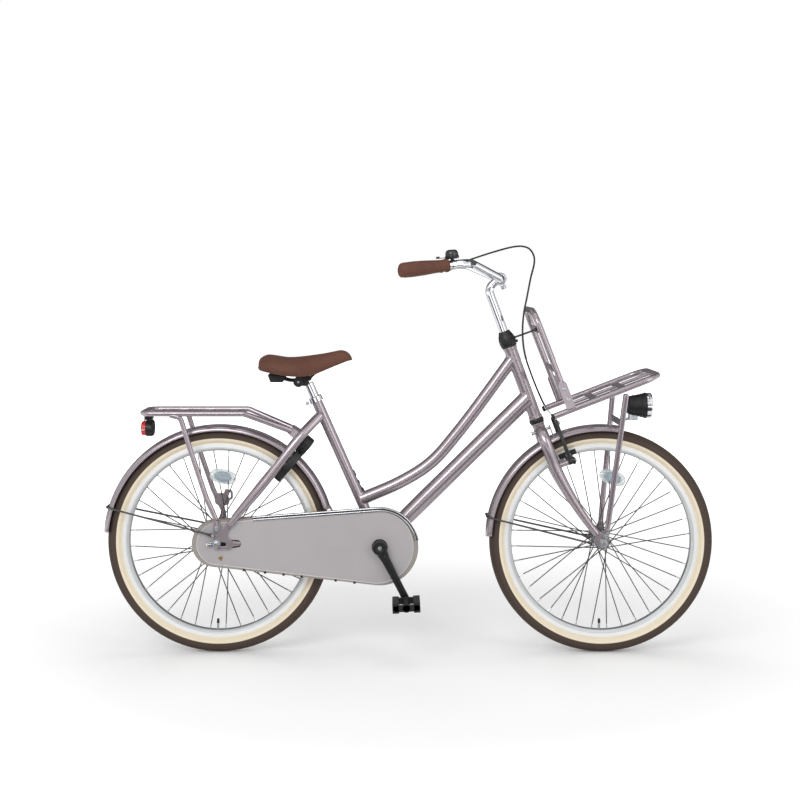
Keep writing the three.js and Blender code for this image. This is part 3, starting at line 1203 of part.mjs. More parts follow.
// An outline drawn on two directions from an origin, made solid between two heights above them.
function plateOn(outline, origin, right, up, from, to) {
  const geometry = new THREE.ExtrudeGeometry(new THREE.Shape(outline),
    { depth: to - from, bevelEnabled: false });
  geometry.translate(0, 0, from);
  geometry.applyMatrix4(new THREE.Matrix4().makeBasis(right, up, right.clone().cross(up)));
  geometry.translate(origin.x, origin.y, origin.z);
  return solid(geometry);
}
const steerSheet = (outline, from, to) => plateOn(outline, headBottom, across, steerUp, from, to);
function brakeArmBody(side) {
  const pivot = flat(side * brake.y, -brake.drop);
  const top = flat(side * brake.topY, -brake.topDrop);
  const arm = steerSheet(strap(pivot, brake.width * 1.4, top, brake.width * 0.7, 4),
    brake.front, brake.front + brake.thickness);
  const bore = steerSheet(disc(brake.pinRadius + brake.play, 8).getPoints().map((p) =>
    flat(p.x + pivot.x, p.y + pivot.y)), brake.front - overrun, brake.front + brake.thickness + overrun);
  const padUp = -brake.drop + brake.padRise;
  const padInner = rimWidth / 2 + brake.padGap;
  const padEdges = [side * padInner, side * (padInner + brake.padThickness)].sort((a, b) => a - b);
  const pad = steerSheet([
    flat(padEdges[0], padUp - brake.padHeight / 2), flat(padEdges[1], padUp - brake.padHeight / 2),
    flat(padEdges[1], padUp + brake.padHeight / 2), flat(padEdges[0], padUp + brake.padHeight / 2),
  ], padMiddle - brake.padHalf, padMiddle + brake.padHalf);
  const bolt = rod(
    atSteering(padMiddle, side * (padInner + brake.padThickness - brake.padBoltSink), padUp),
    atSteering(padMiddle, side * (brake.y + brake.width * 1.6), padUp),
    brake.padBoltRadius, brake.padBoltRadius, 6);
  return join(cut(arm, bore), pad, bolt);
}
piece('right_brake_arm', brakeArmBody(sides.right), blackPlastic);
piece('left_brake_arm', brakeArmBody(sides.left), blackPlastic);

// Front fender with its bracket at the fork's crown bolt
const crownTab = { front: 26.5, thickness: 2.5, half: 8, low: 60, high: 28 };
const tab = steerSheet([flat(-crownTab.half, -crownTab.low), flat(crownTab.half, -crownTab.low),
  flat(crownTab.half, -crownTab.high), flat(-crownTab.half, -crownTab.high)],
crownTab.front, crownTab.front + crownTab.thickness);
piece('front_fender', join(fenderArc(frontAxle, ...fenderSpan.front), tab), paint);
piece('front_fender_stay', stayBody(frontAxle, fenderSpan.front, stayAngle.front, stayEye.front,
  frontOuter + seat + stayWire * 2), darkSteel);

// Headset: the lower ring, and the black cover over the upper cup
const headset = {
  lower: 12, lowerRadius: 20, coverRadius: 22, coverHeight: 44, coverTop: 16, play: 0.4, wall: 3,
  fullFrom: 16, fullTo: 28, stepGap: 1, tabSink: 6, tabReach: 8, tabHalf: 4, tabLow: 18, tabHigh: 26,
};
piece('lower_headset', turnedAlong(atSteering(0, 0, -headset.lower), steerUp, [
  [steererRadius + headset.play, 0], [headset.lowerRadius, 0],
  [headset.lowerRadius, headset.lower - seat], [steererRadius + headset.play, headset.lower - seat],
], 16), blackPlastic);
const coverStep = fork.steererRise + headset.stepGap;
const coverBase = headTubeLength + seat;
const strutTab = block(
  atSteering(headset.coverRadius - headset.tabSink, -headset.tabHalf, coverBase + headset.tabLow),
  atSteering(headset.coverRadius + headset.tabReach, headset.tabHalf, coverBase + headset.tabHigh));
piece('headset_cover', join(turnedAlong(atSteering(0, 0, coverBase), steerUp, [
  [steererRadius + headset.play, 0], [headset.coverRadius * 0.92, 0],
  [headset.coverRadius, headset.fullFrom],
  [headset.coverRadius, headset.fullTo], [headset.coverTop, headset.coverHeight],
  [quillRadius + headset.play, headset.coverHeight], [quillRadius + headset.play, coverStep],
  [steererRadius + headset.play, coverStep]], 16), cut(strutTab, rod(atSteering(0, 0, coverBase),
  atSteering(0, 0, coverBase + headset.coverHeight), headset.coverRadius - headset.wall,
  headset.coverRadius - headset.wall, 16))),
blackPlastic);

// Stem: the quill, its forward neck and the clamp with its bolt
const stem = {
  up: 372, clampForward: 39, clampUp: 386, clampRadius: 17, clampHalf: 18, boltDrop: 24, boltRadius: 6.5,
  insert: 80, bend: 14,
};
const clampCentre = atSteering(stem.clampForward, 0, stem.clampUp);
const neckTube = bentTube([
  atSteering(0, 0, headTubeLength - stem.insert), atSteering(0, 0, stem.up),
  along(clampCentre, steerFront, -stem.clampRadius * 0.6)], quillRadius, stem.bend, 16, 3);
const stemClamp = rod(along(clampCentre, across, -stem.clampHalf),
  along(clampCentre, across, stem.clampHalf), stem.clampRadius, stem.clampRadius, 14);
const stemBolt = rod(along(clampCentre, steerUp, -stem.boltDrop), clampCentre,
  stem.boltRadius, stem.boltRadius, 6);
const barBore = rod(along(clampCentre, across, -stem.clampHalf - overrun),
  along(clampCentre, across, stem.clampHalf + overrun), barRadius + barPlay, barRadius + barPlay, 14);
piece('stem', cut(join(neckTube, stemClamp, stemBolt), barBore), chrome);

// Handlebar: swept back and up from the clamp to the grips
const bar = {
  straight: 34, sweepBack: 82, sweepOut: 140, rise: 39.5, gripBack: 149, gripOut: 215, gripRise: 35,
  endBack: 269, endOut: 275, endRise: 21.5, lead: 54, bend: 36,
};
const toolStart = 12;
const onBar = (back, out, rise) => point(clampCentre.x - back, out, clampCentre.z + rise);
const gripStart = onBar(bar.gripBack, bar.gripOut, bar.gripRise);
const gripEnd = onBar(bar.endBack, bar.endOut, bar.endRise);
const gripRun = gripEnd.clone().sub(gripStart).normalize();
const barKnee = along(gripStart, gripRun, -bar.lead);
const gripLength = gripEnd.distanceTo(gripStart);
const capWall = 4;
const barEnd = along(gripEnd, gripRun, -capWall - seat);
const halfBar = [barEnd, barKnee, onBar(bar.sweepBack, bar.sweepOut, bar.rise), onBar(0, bar.straight, 0)];
piece('handlebar', bentTube([...halfBar, ...halfBar.map((p) => bySide(p, -1)).reverse()],
  barRadius, bar.bend, 10, 2), chrome);

const gripShape = {
  end: 16.5, lip: 17.5, lipFrom: 2, lipTo: 6, neck: 15.6, neckFrom: 8, neckTo: 12, swell: 16.6, swellAt: 15,
  full: 18.4, fullBack: 8,
};
function grip(side) {
  const bore = barRadius + barPlay;
  const { end, lip, lipFrom, lipTo, neck, neckFrom, neckTo, swell, swellAt, full, fullBack } = gripShape;
  return turnedAlong(bySide(gripStart, side), bySide(gripRun, side), [
    [bore, 0], [end, 0], [lip, lipFrom], [lip, lipTo], [neck, neckFrom], [neck, neckTo], [swell, swellAt],
    [full, gripLength - fullBack], [end, gripLength], [0, gripLength],
    [0, gripLength - capWall], [bore, gripLength - capWall]], 12);
}
piece('right_grip', grip(sides.right), brownLeather);
piece('left_grip', grip(sides.left), brownLeather);

// Brake lever on the left of the bar, in its own directions: out along the grip, ahead and up
const leverOut = gripRun.clone();
const leverAhead = point(-leverOut.y, leverOut.x, 0).normalize().negate();
const leverUp = leverAhead.clone().cross(leverOut).normalize();
const lever = {
  inboard: 15, mountHalf: 9, mountRadius: 15, pivotAhead: 25, pivotRadius: 3, half: 5, play: 0.4,
  bladeRadius: 4.4, bladeBend: 20, bladeRoot: 3, kneeOut: 25, kneeAhead: 49, tipOut: 112, tipAhead: 53,
  horn: 9, barrelRise: 4, barrelIn: 27, barrelAhead: 25, barrelUp: 5, barrelRadius: 5, barrelTip: 4,
};
const mountCentre = along(gripStart, gripRun, -lever.inboard);
const atLever = (out, ahead, up) =>
  along(along(along(mountCentre, leverOut, out), leverAhead, ahead), leverUp, up);
const barTool = rod(along(barKnee, gripRun, toolStart), gripEnd,
  barRadius + barPlay, barRadius + barPlay, 12);
const mountRing = rod(atLever(-lever.mountHalf, 0, 0), atLever(lever.mountHalf, 0, 0),
  lever.mountRadius, lever.mountRadius, 12);
const mountHorn = rod(atLever(0, lever.mountRadius / 2, 0), atLever(0, lever.pivotAhead + lever.horn / 2, 0),
  lever.horn, lever.horn * 0.9, 8);
const leverPin = rod(atLever(0, lever.pivotAhead, -lever.horn), atLever(0, lever.pivotAhead, lever.horn),
  lever.pivotRadius, lever.pivotRadius, 8);
const barrelFoot = atLever(-lever.mountHalf / 2, lever.mountRadius + lever.barrelRise, 0);
const barrelEnd = atLever(-lever.barrelIn, lever.barrelAhead, lever.barrelUp);
const barrelRun = barrelEnd.clone().sub(barrelFoot).normalize();
const barrel = rod(barrelFoot, barrelEnd, lever.barrelRadius, lever.barrelTip, 8);
const rootRadius = 7;
const atPivot = (half) => [atLever(0, lever.pivotAhead, -half), atLever(0, lever.pivotAhead, half)];
const leverRoot = rod(...atPivot(lever.half - seat), rootRadius, rootRadius, 10);
const rootTool = rod(...atPivot(lever.half), rootRadius * 1.5, rootRadius * 1.5, 10);
piece('brake_lever_mount', cut(join(cut(join(mountRing, mountHorn, barrel), rootTool), leverPin), barTool),
  blackPlastic);
const leverBlade = bentTube([
  atLever(lever.bladeRoot, lever.pivotAhead, 0), atLever(lever.kneeOut, lever.kneeAhead, 0),
  atLever(lever.tipOut, lever.tipAhead, 0)], lever.bladeRadius, lever.bladeBend, 8, 3);
const leverBore = rod(...atPivot(lever.half + overrun), lever.pivotRadius + lever.play,
  lever.pivotRadius + lever.play, 8);
piece('brake_lever', cut(join(leverRoot, leverBlade), leverBore), blackPlastic);

// Brake cable, held at the lever's barrel and at the right arm; its route is chosen by hand
const cableRadius = 2.6;
const cableRoute = [
  [748, 125, 1078], [798, 90, 1091], [822, 70, 1092], [840, 50, 1084], [850, 35, 1065],
  [850, 25, 1045], [839, 5, 1007], [827, -15, 955], [817, -30, 911], [812.5, -42, 867], [814, -50, 826],
  [820, -54, 793], [833.6, -55, 752], [854, -53, 701], [872, -48, 664], [888, -44, 643],
].map(([x, y, z]) => point(x, y, z));
const cableStart = along(barrelEnd, barrelRun, seat);
const cableLead = along(barrelEnd, barrelRun, cableRadius * 4);
const cableEnd = atSteering(padMiddle, -brake.topY + brake.cableInset, -brake.topDrop + brake.width);
piece('brake_cable', curvedTube([cableStart, cableLead, ...cableRoute, cableEnd],
  cableRadius, 6, 34), blackPlastic);

// Bell on the right of the bar, with its thumb lever
const bell = {
  radius: 17, rise: 16, dome: 15, domeGap: 5.5, postRadius: 4, ringHalf: 6, ringRadius: 15, plate: 14,
  plateThickness: 2.5, wall: 1.6, pinReach: 9, pinRadius: 1.8,
};
const bellCentre = bySide(mountCentre, -1);
const bellRun = bySide(gripRun, -1);
const bellUp = bySide(leverUp, -1);
const bellBase = along(bellCentre, bellUp, bell.rise);
const bellSide = bellUp.clone().cross(bellRun);
const bellRing = rod(along(bellCentre, bellRun, -bell.ringHalf), along(bellCentre, bellRun, bell.ringHalf),
  bell.ringRadius, bell.ringRadius, 10);
const bellPost = rod(along(bellBase, bellUp, -bell.postRadius),
  along(bellBase, bellUp, bell.domeGap + bell.dome + bell.wall), bell.postRadius, bell.postRadius, 8);
const bellPlate = turnedAlong(bellBase, bellUp,
  [[0, 0], [bell.plate, 0], [bell.plate, bell.plateThickness], [0, bell.plateThickness]], 10);
const domeOuter = [
  [bell.radius, 0], [bell.radius * 0.93, bell.dome * 0.5], [bell.radius * 0.6, bell.dome * 0.87]];
const domeInner = domeOuter.map(([radius, rise]) => [radius - bell.wall, rise - bell.wall * (rise > 0)]);
const bellDome = turnedAlong(along(bellBase, bellUp, bell.domeGap), bellUp, [
  ...domeOuter, [0, bell.dome], [0, bell.dome - bell.wall], ...domeInner.reverse()], 10);
const bellPivot = along(bellBase, bellRun, bell.pinReach);
const bellPin = rod(along(bellPivot, bellUp, bell.plateThickness / 2),
  along(bellPivot, bellUp, bell.domeGap), bell.pinRadius, bell.pinRadius, 6);
const bellBarTool = rod(bySide(along(barKnee, gripRun, toolStart), -1), bySide(gripEnd, -1),
  barRadius + barPlay, barRadius + barPlay, 12);
piece('bell', cut(join(bellRing, bellPost, bellPlate, bellDome, bellPin), bellBarTool), blackPlastic);
const bellLever = { reach: 32, radius: 4.2, tip: 5, thickness: 1.6, thumb: 5 };
const leverFloor = bell.plateThickness + seat;
const leverPlate = plateOn(strap(flat(0, 0), bellLever.radius, flat(bellLever.reach, 0), bellLever.tip, 5),
  bellPivot, bellRun, bellSide, leverFloor, leverFloor + bellLever.thickness);
const thumbAt = along(along(bellPivot, bellRun, bellLever.reach), bellUp, leverFloor);
const thumbPad = rod(thumbAt, along(thumbAt, bellUp, bellLever.thumb),
  bellLever.tip, bellLever.tip * 0.8, 10);
const pinBore = rod(along(bellPivot, bellUp, -overrun), along(bellPivot, bellUp, bell.domeGap + overrun),
  bell.pinRadius + seat, bell.pinRadius + seat, 8);
piece('bell_lever', cut(join(leverPlate, thumbPad), pinBore), blackPlastic);

// Front load carrier: a sloping rail with cross slats, and bracket plates that hold its backrest
const carrierPlace = { ahead: 36.5, rise: 31.8 };
const carrier = {
  slope: 21.1, rearX: headBottom.x + carrierPlace.ahead,
  rearZ: frontAxle.z + fenderRadius + carrierPlace.rise,
  length: 304, half: 118, radius: 8, bend: 45, inner: 42, innerRadius: 5, innerStart: 60,
  slats: [119.5, 199], slatWidth: 20, slatThickness: 3, backAt: 49, backHeight: 277, backSlats: [110, 221],
  plateWidth: 24, plateHeight: 80, plateThickness: 3, plateDrop: 3, weldSink: 1, weldHalf: 3,
  boltRadius: 5, boltTip: 4.4, boltSink: 1, boltRise: 3,
};
const backBoltShares = [0.55, 0.82];
const carrierOut = point(Math.cos(radians(carrier.slope)), 0, Math.sin(radians(carrier.slope)));
const carrierUp = point(-carrierOut.z, 0, carrierOut.x);
const atCarrier = (out, left, up) => along(along(
  point(carrier.rearX, left, carrier.rearZ), carrierOut, out), carrierUp, up);
function carrierBox(out0, out1, left0, left1, up0, up1) {
  const geometry = new THREE.BoxGeometry(out1 - out0, Math.abs(left1 - left0), up1 - up0);
  geometry.rotateY(-radians(carrier.slope));
  const middle = atCarrier((out0 + out1) / 2, (left0 + left1) / 2, (up0 + up1) / 2);
  geometry.translate(middle.x, middle.y, middle.z);
  return solid(geometry);
}
const railEnd = carrier.length - carrier.radius;
const platformRail = bentTube([
  atCarrier(0, -carrier.half, 0), atCarrier(railEnd, -carrier.half, 0),
  atCarrier(railEnd, carrier.half, 0), atCarrier(0, carrier.half, 0)], carrier.radius, carrier.bend, 8, 3);
const platformSlats = carrier.slats.map((out) => carrierBox(
  out - carrier.slatWidth / 2, out + carrier.slatWidth / 2,
  -carrier.half, carrier.half, -carrier.slatThickness / 2, carrier.slatThickness / 2));
const innerRails = [-1, 1].map((side) => rod(
  atCarrier(carrier.slats[0] - carrier.innerStart, side * carrier.inner, -carrier.slatThickness * 1.6),
  atCarrier(railEnd, side * carrier.inner, -carrier.slatThickness * 1.6),
  carrier.innerRadius, carrier.innerRadius, 8));
const backPlates = Object.values(sides).map((side) => {
  const inner = carrier.half + carrier.radius + seat;
  const plate = carrierBox(carrier.backAt - carrier.plateWidth / 2, carrier.backAt + carrier.plateWidth / 2,
    side * inner, side * (inner + carrier.plateThickness), -carrier.plateDrop, carrier.plateHeight);
  const weld = carrierBox(carrier.backAt - carrier.plateWidth / 2, carrier.backAt + carrier.plateWidth / 2,
    side * carrier.half, side * (inner + carrier.weldSink), -carrier.weldHalf, carrier.weldHalf);
  const bolts = backBoltShares.map((share) => {
    const at = atCarrier(carrier.backAt, 0, carrier.plateHeight * share);
    const outer = inner + carrier.plateThickness;
    return rod(point(at.x, side * (outer - carrier.boltSink), at.z),
      point(at.x, side * (outer + carrier.boltRise), at.z), carrier.boltRadius, carrier.boltTip, 6);
  });
  return join(plate, weld, bolts);
});
piece('front_carrier', join(platformRail, platformSlats, innerRails, backPlates), paint);
const onBack = (left, up) => atCarrier(carrier.backAt, left, up);
const backRail = bentTube([
  onBack(-carrier.half, carrier.radius + seat), onBack(-carrier.half, carrier.backHeight),
  onBack(carrier.half, carrier.backHeight), onBack(carrier.half, carrier.radius + seat),
], carrier.radius, carrier.bend, 8, 3);
const backSlats = carrier.backSlats.map((up) => carrierBox(
  carrier.backAt - carrier.slatThickness / 2, carrier.backAt + carrier.slatThickness / 2,
  -carrier.half, carrier.half, up - carrier.slatWidth / 2, up + carrier.slatWidth / 2));
piece('carrier_backrest', join(backRail, backSlats), paint);

const strut = { radius: 2.6, sink: 2, wingReach: 9, wingHalf: 10, wingRise: 5 };
const strutFoot = atSteering(headset.coverRadius + headset.tabReach + seat, 0,
  coverBase + (headset.tabLow + headset.tabHigh) / 2);
const strutHead = atCarrier(carrier.backAt - carrier.slatThickness / 2 - seat, 0, carrier.backSlats[1]);
const strutRun = strutHead.clone().sub(strutFoot).normalize();
const strutBar = rod(strutFoot, along(strutHead, strutRun, -strut.sink), strut.radius, strut.radius, 6);
const wing = carrierBox(carrier.backAt - strut.wingReach, carrier.backAt - carrier.slatThickness / 2 - seat,
  -strut.wingHalf, strut.wingHalf,
  carrier.backSlats[1] - strut.wingRise, carrier.backSlats[1] + strut.wingRise);
piece('carrier_strut', join(strutBar, wing), blackPaint);

// Legs from the front carrier to the front axle, joined by the strap that carries the lamp bracket
const legSetForward = 189.2;
const leg = {
  topX: carrier.rearX + legSetForward, topInset: 6, radius: 7.5, strapRise: 11, strapWidth: 18,
  strapThickness: 3, drop: 10.5, endAhead: 2, boltRise: 7, boltRadius: 5.5,
};
const legTopY = carrier.half - leg.topInset;
const strapZ = frontAxle.z + fenderRadius + leg.strapRise;
const legFootY = frontOuter + seat + rackFootThickness / 2;
const legTopZ = carrier.rearZ + (leg.topX - carrier.rearX) * Math.tan(radians(carrier.slope))
  - carrier.radius - leg.drop * 0.3;
const legEnd = point(frontAxle.x + legEye.x + leg.endAhead, 0, frontAxle.z + legEye.z + legEye.radius * 1.8);
function carrierLeg(side) {
  const endY = side * (legFootY + leg.radius - rackFootThickness / 2);
  const tube = rod(point(leg.topX, side * legTopY, legTopZ - leg.radius * 0.5),
    point(legEnd.x, endY, legEnd.z), leg.radius, leg.radius, 8);
  const reach = [side * (legFootY - rackFootThickness / 2), side * (legFootY + rackFootThickness / 2)]
    .sort((a, b) => a - b);
  const eye = flat(frontAxle.x + legEye.x, frontAxle.z + legEye.z);
  const foot = sheet(strap(eye, legEye.radius * 0.9, flat(legEnd.x, legEnd.z), leg.radius, 4),
    reach[0], reach[1]);
  const bolt = rod(point(eye.x, side * legFootY, eye.y),
    point(eye.x, side * (legFootY + leg.boltRise), eye.y), leg.boltRadius, leg.boltRadius, 6);
  return join(tube, foot, bolt);
}
const strapShare = (legTopZ - strapZ) / (legTopZ - legEnd.z);
const strapX = leg.topX + (legEnd.x - leg.topX) * strapShare;
const strapY = legTopY + (legFootY - legTopY) * strapShare;
const legStrap = block(point(strapX - leg.strapThickness / 2, -strapY, strapZ - leg.strapWidth / 2),
  point(strapX + leg.strapThickness / 2, strapY, strapZ + leg.strapWidth / 2));
piece('carrier_legs', join(Object.values(sides).map(carrierLeg), legStrap), paint);

// Headlight: bracket, tapered housing, bright ring with its lens
const lampPlace = { rear: 22.3, ring: 70.3, front: 87.3, rise: 39.5 };
const lamp = {
  rearX: leg.topX + lampPlace.rear, ringX: leg.topX + lampPlace.ring, frontX: leg.topX + lampPlace.front,
  z: strapZ + lampPlace.rise, rearRadius: 25, frontRadius: 35, bezel: 34, backDepth: 5, backSink: 2,
  bezelEnd: 4, crown: 5,
};
const lampAxis = (x) => point(x, 0, lamp.z);
const lampHousing = join(
  rod(lampAxis(lamp.rearX), lampAxis(lamp.ringX), lamp.rearRadius, lamp.frontRadius, 16),
  rod(lampAxis(lamp.rearX - lamp.backDepth), lampAxis(lamp.rearX + lamp.backSink),
    lamp.rearRadius * 0.6, lamp.rearRadius, 16));
piece('headlight_lens', join(
  rod(lampAxis(lamp.ringX + seat), lampAxis(lamp.frontX - lamp.bezelEnd), lamp.bezel, lamp.bezel, 16),
  rod(lampAxis(lamp.frontX - lamp.crown), lampAxis(lamp.frontX), lamp.bezel * 0.92, lamp.bezel * 0.7, 16)),
clearLens);
const lampArm = {
  pad: 3, padHalfWidth: 12, padHalfHeight: 8, radius: 4, ahead: 14, drop: 8,
  headStart: 2, headEnd: 26, headHalf: 9, headDrop: 14, headSink: 4,
};
const padFace = strapX + leg.strapThickness / 2 + seat;
const lampBelly = lamp.z - lamp.rearRadius;
const bracketArm = rod(point(padFace + lampArm.pad, 0, strapZ),
  point(lamp.rearX + lampArm.ahead, 0, lampBelly - lampArm.drop), lampArm.radius, lampArm.radius, 6);
const bracketPad = block(point(padFace, -lampArm.padHalfWidth, strapZ - lampArm.padHalfHeight),
  point(padFace + lampArm.pad, lampArm.padHalfWidth, strapZ + lampArm.padHalfHeight));
const bracketHead = block(
  point(lamp.rearX + lampArm.headStart, -lampArm.headHalf, lampBelly - lampArm.headDrop),
  point(lamp.rearX + lampArm.headEnd, lampArm.headHalf, lampBelly + lampArm.headSink));
piece('headlight', join(lampHousing, bracketArm, bracketPad, bracketHead), blackPlastic);
const frontConeGap = 0.6;
piece('front_axle', join(Object.values(sides).map((side) =>
  axleEnd(side, frontAxle, frontInner, frontOuter, hubs.front.endOffset + frontConeGap))), steel);

// The bike stands in the middle of its own length, from the rear fender's tail to the front tyre
const rearReach = fenderRadius * Math.cos(radians(180 - fenderSpan.rear[1]));
bike.position.x = (rearReach - wheelbase - tyreRadius) / 2;

export default bike;
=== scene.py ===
# %% [markdown]
# # A child's dutch city bike
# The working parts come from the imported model, with every joint and collision body in its place. This
# script gives each part the surface that the eye expects. Shapes are worked out with numpy as whole
# arrays, because a bicycle is nearly all sweeps and turned shapes.

# %% Load the working parts
import math

import bpy
import numpy as np
from mathutils.geometry import tessellate_polygon
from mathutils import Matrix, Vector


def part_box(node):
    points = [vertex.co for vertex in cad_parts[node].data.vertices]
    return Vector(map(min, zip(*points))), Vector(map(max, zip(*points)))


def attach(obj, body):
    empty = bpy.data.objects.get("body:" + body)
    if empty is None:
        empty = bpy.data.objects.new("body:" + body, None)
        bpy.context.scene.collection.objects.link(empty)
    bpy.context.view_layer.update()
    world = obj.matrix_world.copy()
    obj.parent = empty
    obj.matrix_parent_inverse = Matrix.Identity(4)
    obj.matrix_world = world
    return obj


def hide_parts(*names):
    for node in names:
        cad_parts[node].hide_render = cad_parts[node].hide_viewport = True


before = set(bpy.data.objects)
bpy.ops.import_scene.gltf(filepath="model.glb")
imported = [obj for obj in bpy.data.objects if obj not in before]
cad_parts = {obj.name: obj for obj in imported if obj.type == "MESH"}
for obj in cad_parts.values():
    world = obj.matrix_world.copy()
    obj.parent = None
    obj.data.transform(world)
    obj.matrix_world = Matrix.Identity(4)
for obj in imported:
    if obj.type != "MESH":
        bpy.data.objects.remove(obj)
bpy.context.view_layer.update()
print(len(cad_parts), "working parts loaded")

# %% [markdown]
# ## Millimetres and main points
# A frame builder draws from the rear axle in millimetres, x forwards, y to the rider's left and z up
# from the floor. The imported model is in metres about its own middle, and the box of its rear tyre
# gives the axle, which keeps this drawing on the parts.

# %% Main points of the bike
MM = 0.001
tyre_low, tyre_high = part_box("rear_tyre")
axle_x = (tyre_low.x + tyre_high.x) / 2


def compass(degrees):
    """The direction at an angle above straight ahead, and the one square to it on its upper side."""
    angle = math.radians(degrees)
    return at(math.cos(angle), 0, math.sin(angle)), at(-math.sin(angle), 0, math.cos(angle))


def unit(v):
    """A vector, or each row of an array of them, brought to length one."""
    v = np.asarray(v, float)
    return v / np.linalg.norm(v, axis=-1, keepdims=True)


def leaning(degrees):
    """The direction of a tube that leans back at an angle above the floor: (-cos, 0, sin)."""
    angle = math.radians(degrees)
    return np.array((-math.cos(angle), 0.0, math.sin(angle)))


def at(*xyz):
    return np.array(xyz, float)


ahead, across, upright = np.eye(3)
wheelbase, tyre_radius, tyre_width, tread_blocks = 1026, 300.5, 47, 216
rear_axle, front_axle = at(0, 0, tyre_radius), at(wheelbase, 0, tyre_radius)
bracket = at(432, 0, tyre_radius - 8.5)
seat_up, steer_up = leaning(65.9), leaning(69.8)
steer_front = np.cross(across, steer_up)
fork_length, fork_rake, head_length = 366.5, 50.6, 205.6
head_bottom = front_axle - fork_rake * steer_front + fork_length * steer_up
head_top = head_bottom + head_length * steer_up
seat_top = bracket + 424 * seat_up


def at_steering(forward, left, up):
    """A place beside the steering axis: ahead of it, to the left and up from the fork crown."""
    return head_bottom + forward * steer_front + left * across + up * steer_up


print("fork crown at", head_bottom.round(1), "and seat tube top at", seat_top.round(1))

# %% [markdown]
# ## Skins: closed surfaces from grids of points
# Every shape here is a grid of points, rows along it and columns across it, joined by quads. A fan to
# the middle of each end ring closes it. So a whole surface is one numpy expression.

# %% Grids into closed skins
def skin(rows, ring=False):
    """A closed surface through a grid of rings. ring joins the last ring to the first one."""
    rows = np.asarray(rows, float)
    count, around = rows.shape[:2]
    index = np.arange(count * around).reshape(count, around)
    here, there = (index, np.roll(index, -1, 0)) if ring else (index[:-1], index[1:])
    quads = np.stack((here, np.roll(here, -1, 1), np.roll(there, -1, 1), there), -1).reshape(-1, 4)
    points, corners, sizes = rows.reshape(-1, 3), quads.ravel(), np.full(len(quads), 4)
    if not ring:
        tips = count * around + np.arange(2)
        middles = rows[[0, -1]].mean(1)
        first, last = index[0], index[-1]
        fans = np.concatenate((
            np.stack((np.roll(first, -1), first, np.full(around, tips[0])), -1),
            np.stack((last, np.roll(last, -1), np.full(around, tips[1])), -1)))
        points = np.concatenate((points, middles))
        corners = np.concatenate((corners, fans.ravel()))
        sizes = np.concatenate((sizes, np.full(len(fans), 3)))
    return points, corners, sizes


def outward(points, corners, sizes):
    """The skin with its faces turned outwards: reversed where the volume under them is negative."""
    start = np.cumsum(sizes) - sizes
    face = np.repeat(np.arange(len(sizes)), sizes)
    following = np.arange(len(corners)) + 1
    following[start + sizes - 1] = start
    first = points[corners[start[face]]]
    volume = np.sum(first * np.cross(points[corners], points[corners[following]]))
    if volume < 0:
        corners = corners[2 * start[face] + sizes[face] - 1 - np.arange(len(corners))]
    return points, corners, sizes


# %% [markdown]
# A real bar, plate or turned part has no knife edges, so one helper rounds every corner of a line
# with a true arc. The same arc bends the bars of the load carriers.

# %% Rounded lines and smooth curves
def rounded(line, radius, closed=True, steps=3):
    """Each corner c becomes the arc (p (1-t)^2 + 2 w c t(1-t) + q t^2) / (the same sum of weights),
    where w is the cosine of half the turn, and p and q lie on the two sides of the corner."""
    line = np.asarray(line, float)
    before, after = np.roll(line, 1, 0) - line, np.roll(line, -1, 0) - line
    turn = np.arccos(np.clip(np.sum(unit(-before) * unit(after), -1), -1, 1))
    weight = np.cos(turn / 2)[:, None, None]
    reach = radius * np.tan(turn / 2)[:, None]

    def side(run):
        length = np.linalg.norm(run, axis=1, keepdims=True)
        return (line + run / length * np.clip(reach, 1e-4 * length, 0.48 * length))[:, None]

    t = np.linspace(0, 1, steps + 1)[:, None]
    shares = (1 - t) ** 2, 2 * weight * t * (1 - t), t ** 2
    curve = (shares[0] * side(before) + shares[1] * line[:, None] + shares[2] * side(after)) / sum(shares)
    if closed:
        return curve.reshape(-1, line.shape[1])
    return np.concatenate((line[:1], curve[1:-1].reshape(-1, line.shape[1]), line[-1:]))


def evenly(path, count):
    """The same path with its points spaced evenly along it."""
    path = np.asarray(path, float)
    reach = np.concatenate(([0], np.cumsum(np.linalg.norm(np.diff(path, axis=0), axis=1))))
    where = np.linspace(0, reach[-1], count)
    return np.stack([np.interp(where, reach, axis) for axis in path.T], -1)


def spline(points, count):
    """A centripetal Catmull-Rom curve: cubic pieces through the points, whose slope at each point is
    a - b + c, the slopes to the last point, across both neighbours and to the next one."""
    p = np.asarray(points, float)
    p = np.concatenate((2 * p[:1] - p[1:2], p, 2 * p[-1:] - p[-2:-1]))
    knots = np.concatenate(([0], np.cumsum(np.linalg.norm(np.diff(p, axis=0), axis=1) ** 0.5)))[:, None]
    step = np.diff(knots, axis=0)
    slope = np.diff(p, axis=0) / step
    tangent = slope[:-1] - (p[2:] - p[:-2]) / (knots[2:] - knots[:-2]) + slope[1:]
    a, b, gap = p[1:-2, None], p[2:-1, None], step[1:-1, None]
    t = np.linspace(0, 1, 24, endpoint=False)[:, None]
    curve = ((2 * t**3 - 3 * t**2 + 1) * a + (t**3 - 2 * t**2 + t) * gap * tangent[:-1, None]
             + (3 * t**2 - 2 * t**3) * b + (t**3 - t**2) * gap * tangent[1:, None])
    return evenly(np.concatenate((curve.reshape(-1, p.shape[1]), p[-2:-1])), count)


def heading(angle):
    """(cosine, sine) pairs of angles in radians."""
    return np.stack((np.cos(angle), np.sin(angle)), -1)


def circle(sides):
    """Places on a unit circle, as (sideways, up) pairs."""
    return heading(np.linspace(0, 2 * np.pi, sides, endpoint=False))


# %% [markdown]
# ## Tubes, turned parts and plates
# A tube is a ring carried along a path, with its ends rounded over. A turned part is a profile carried
# round an axis. A plate is an outline with a rounded edge, and a hole is left out of its two faces.

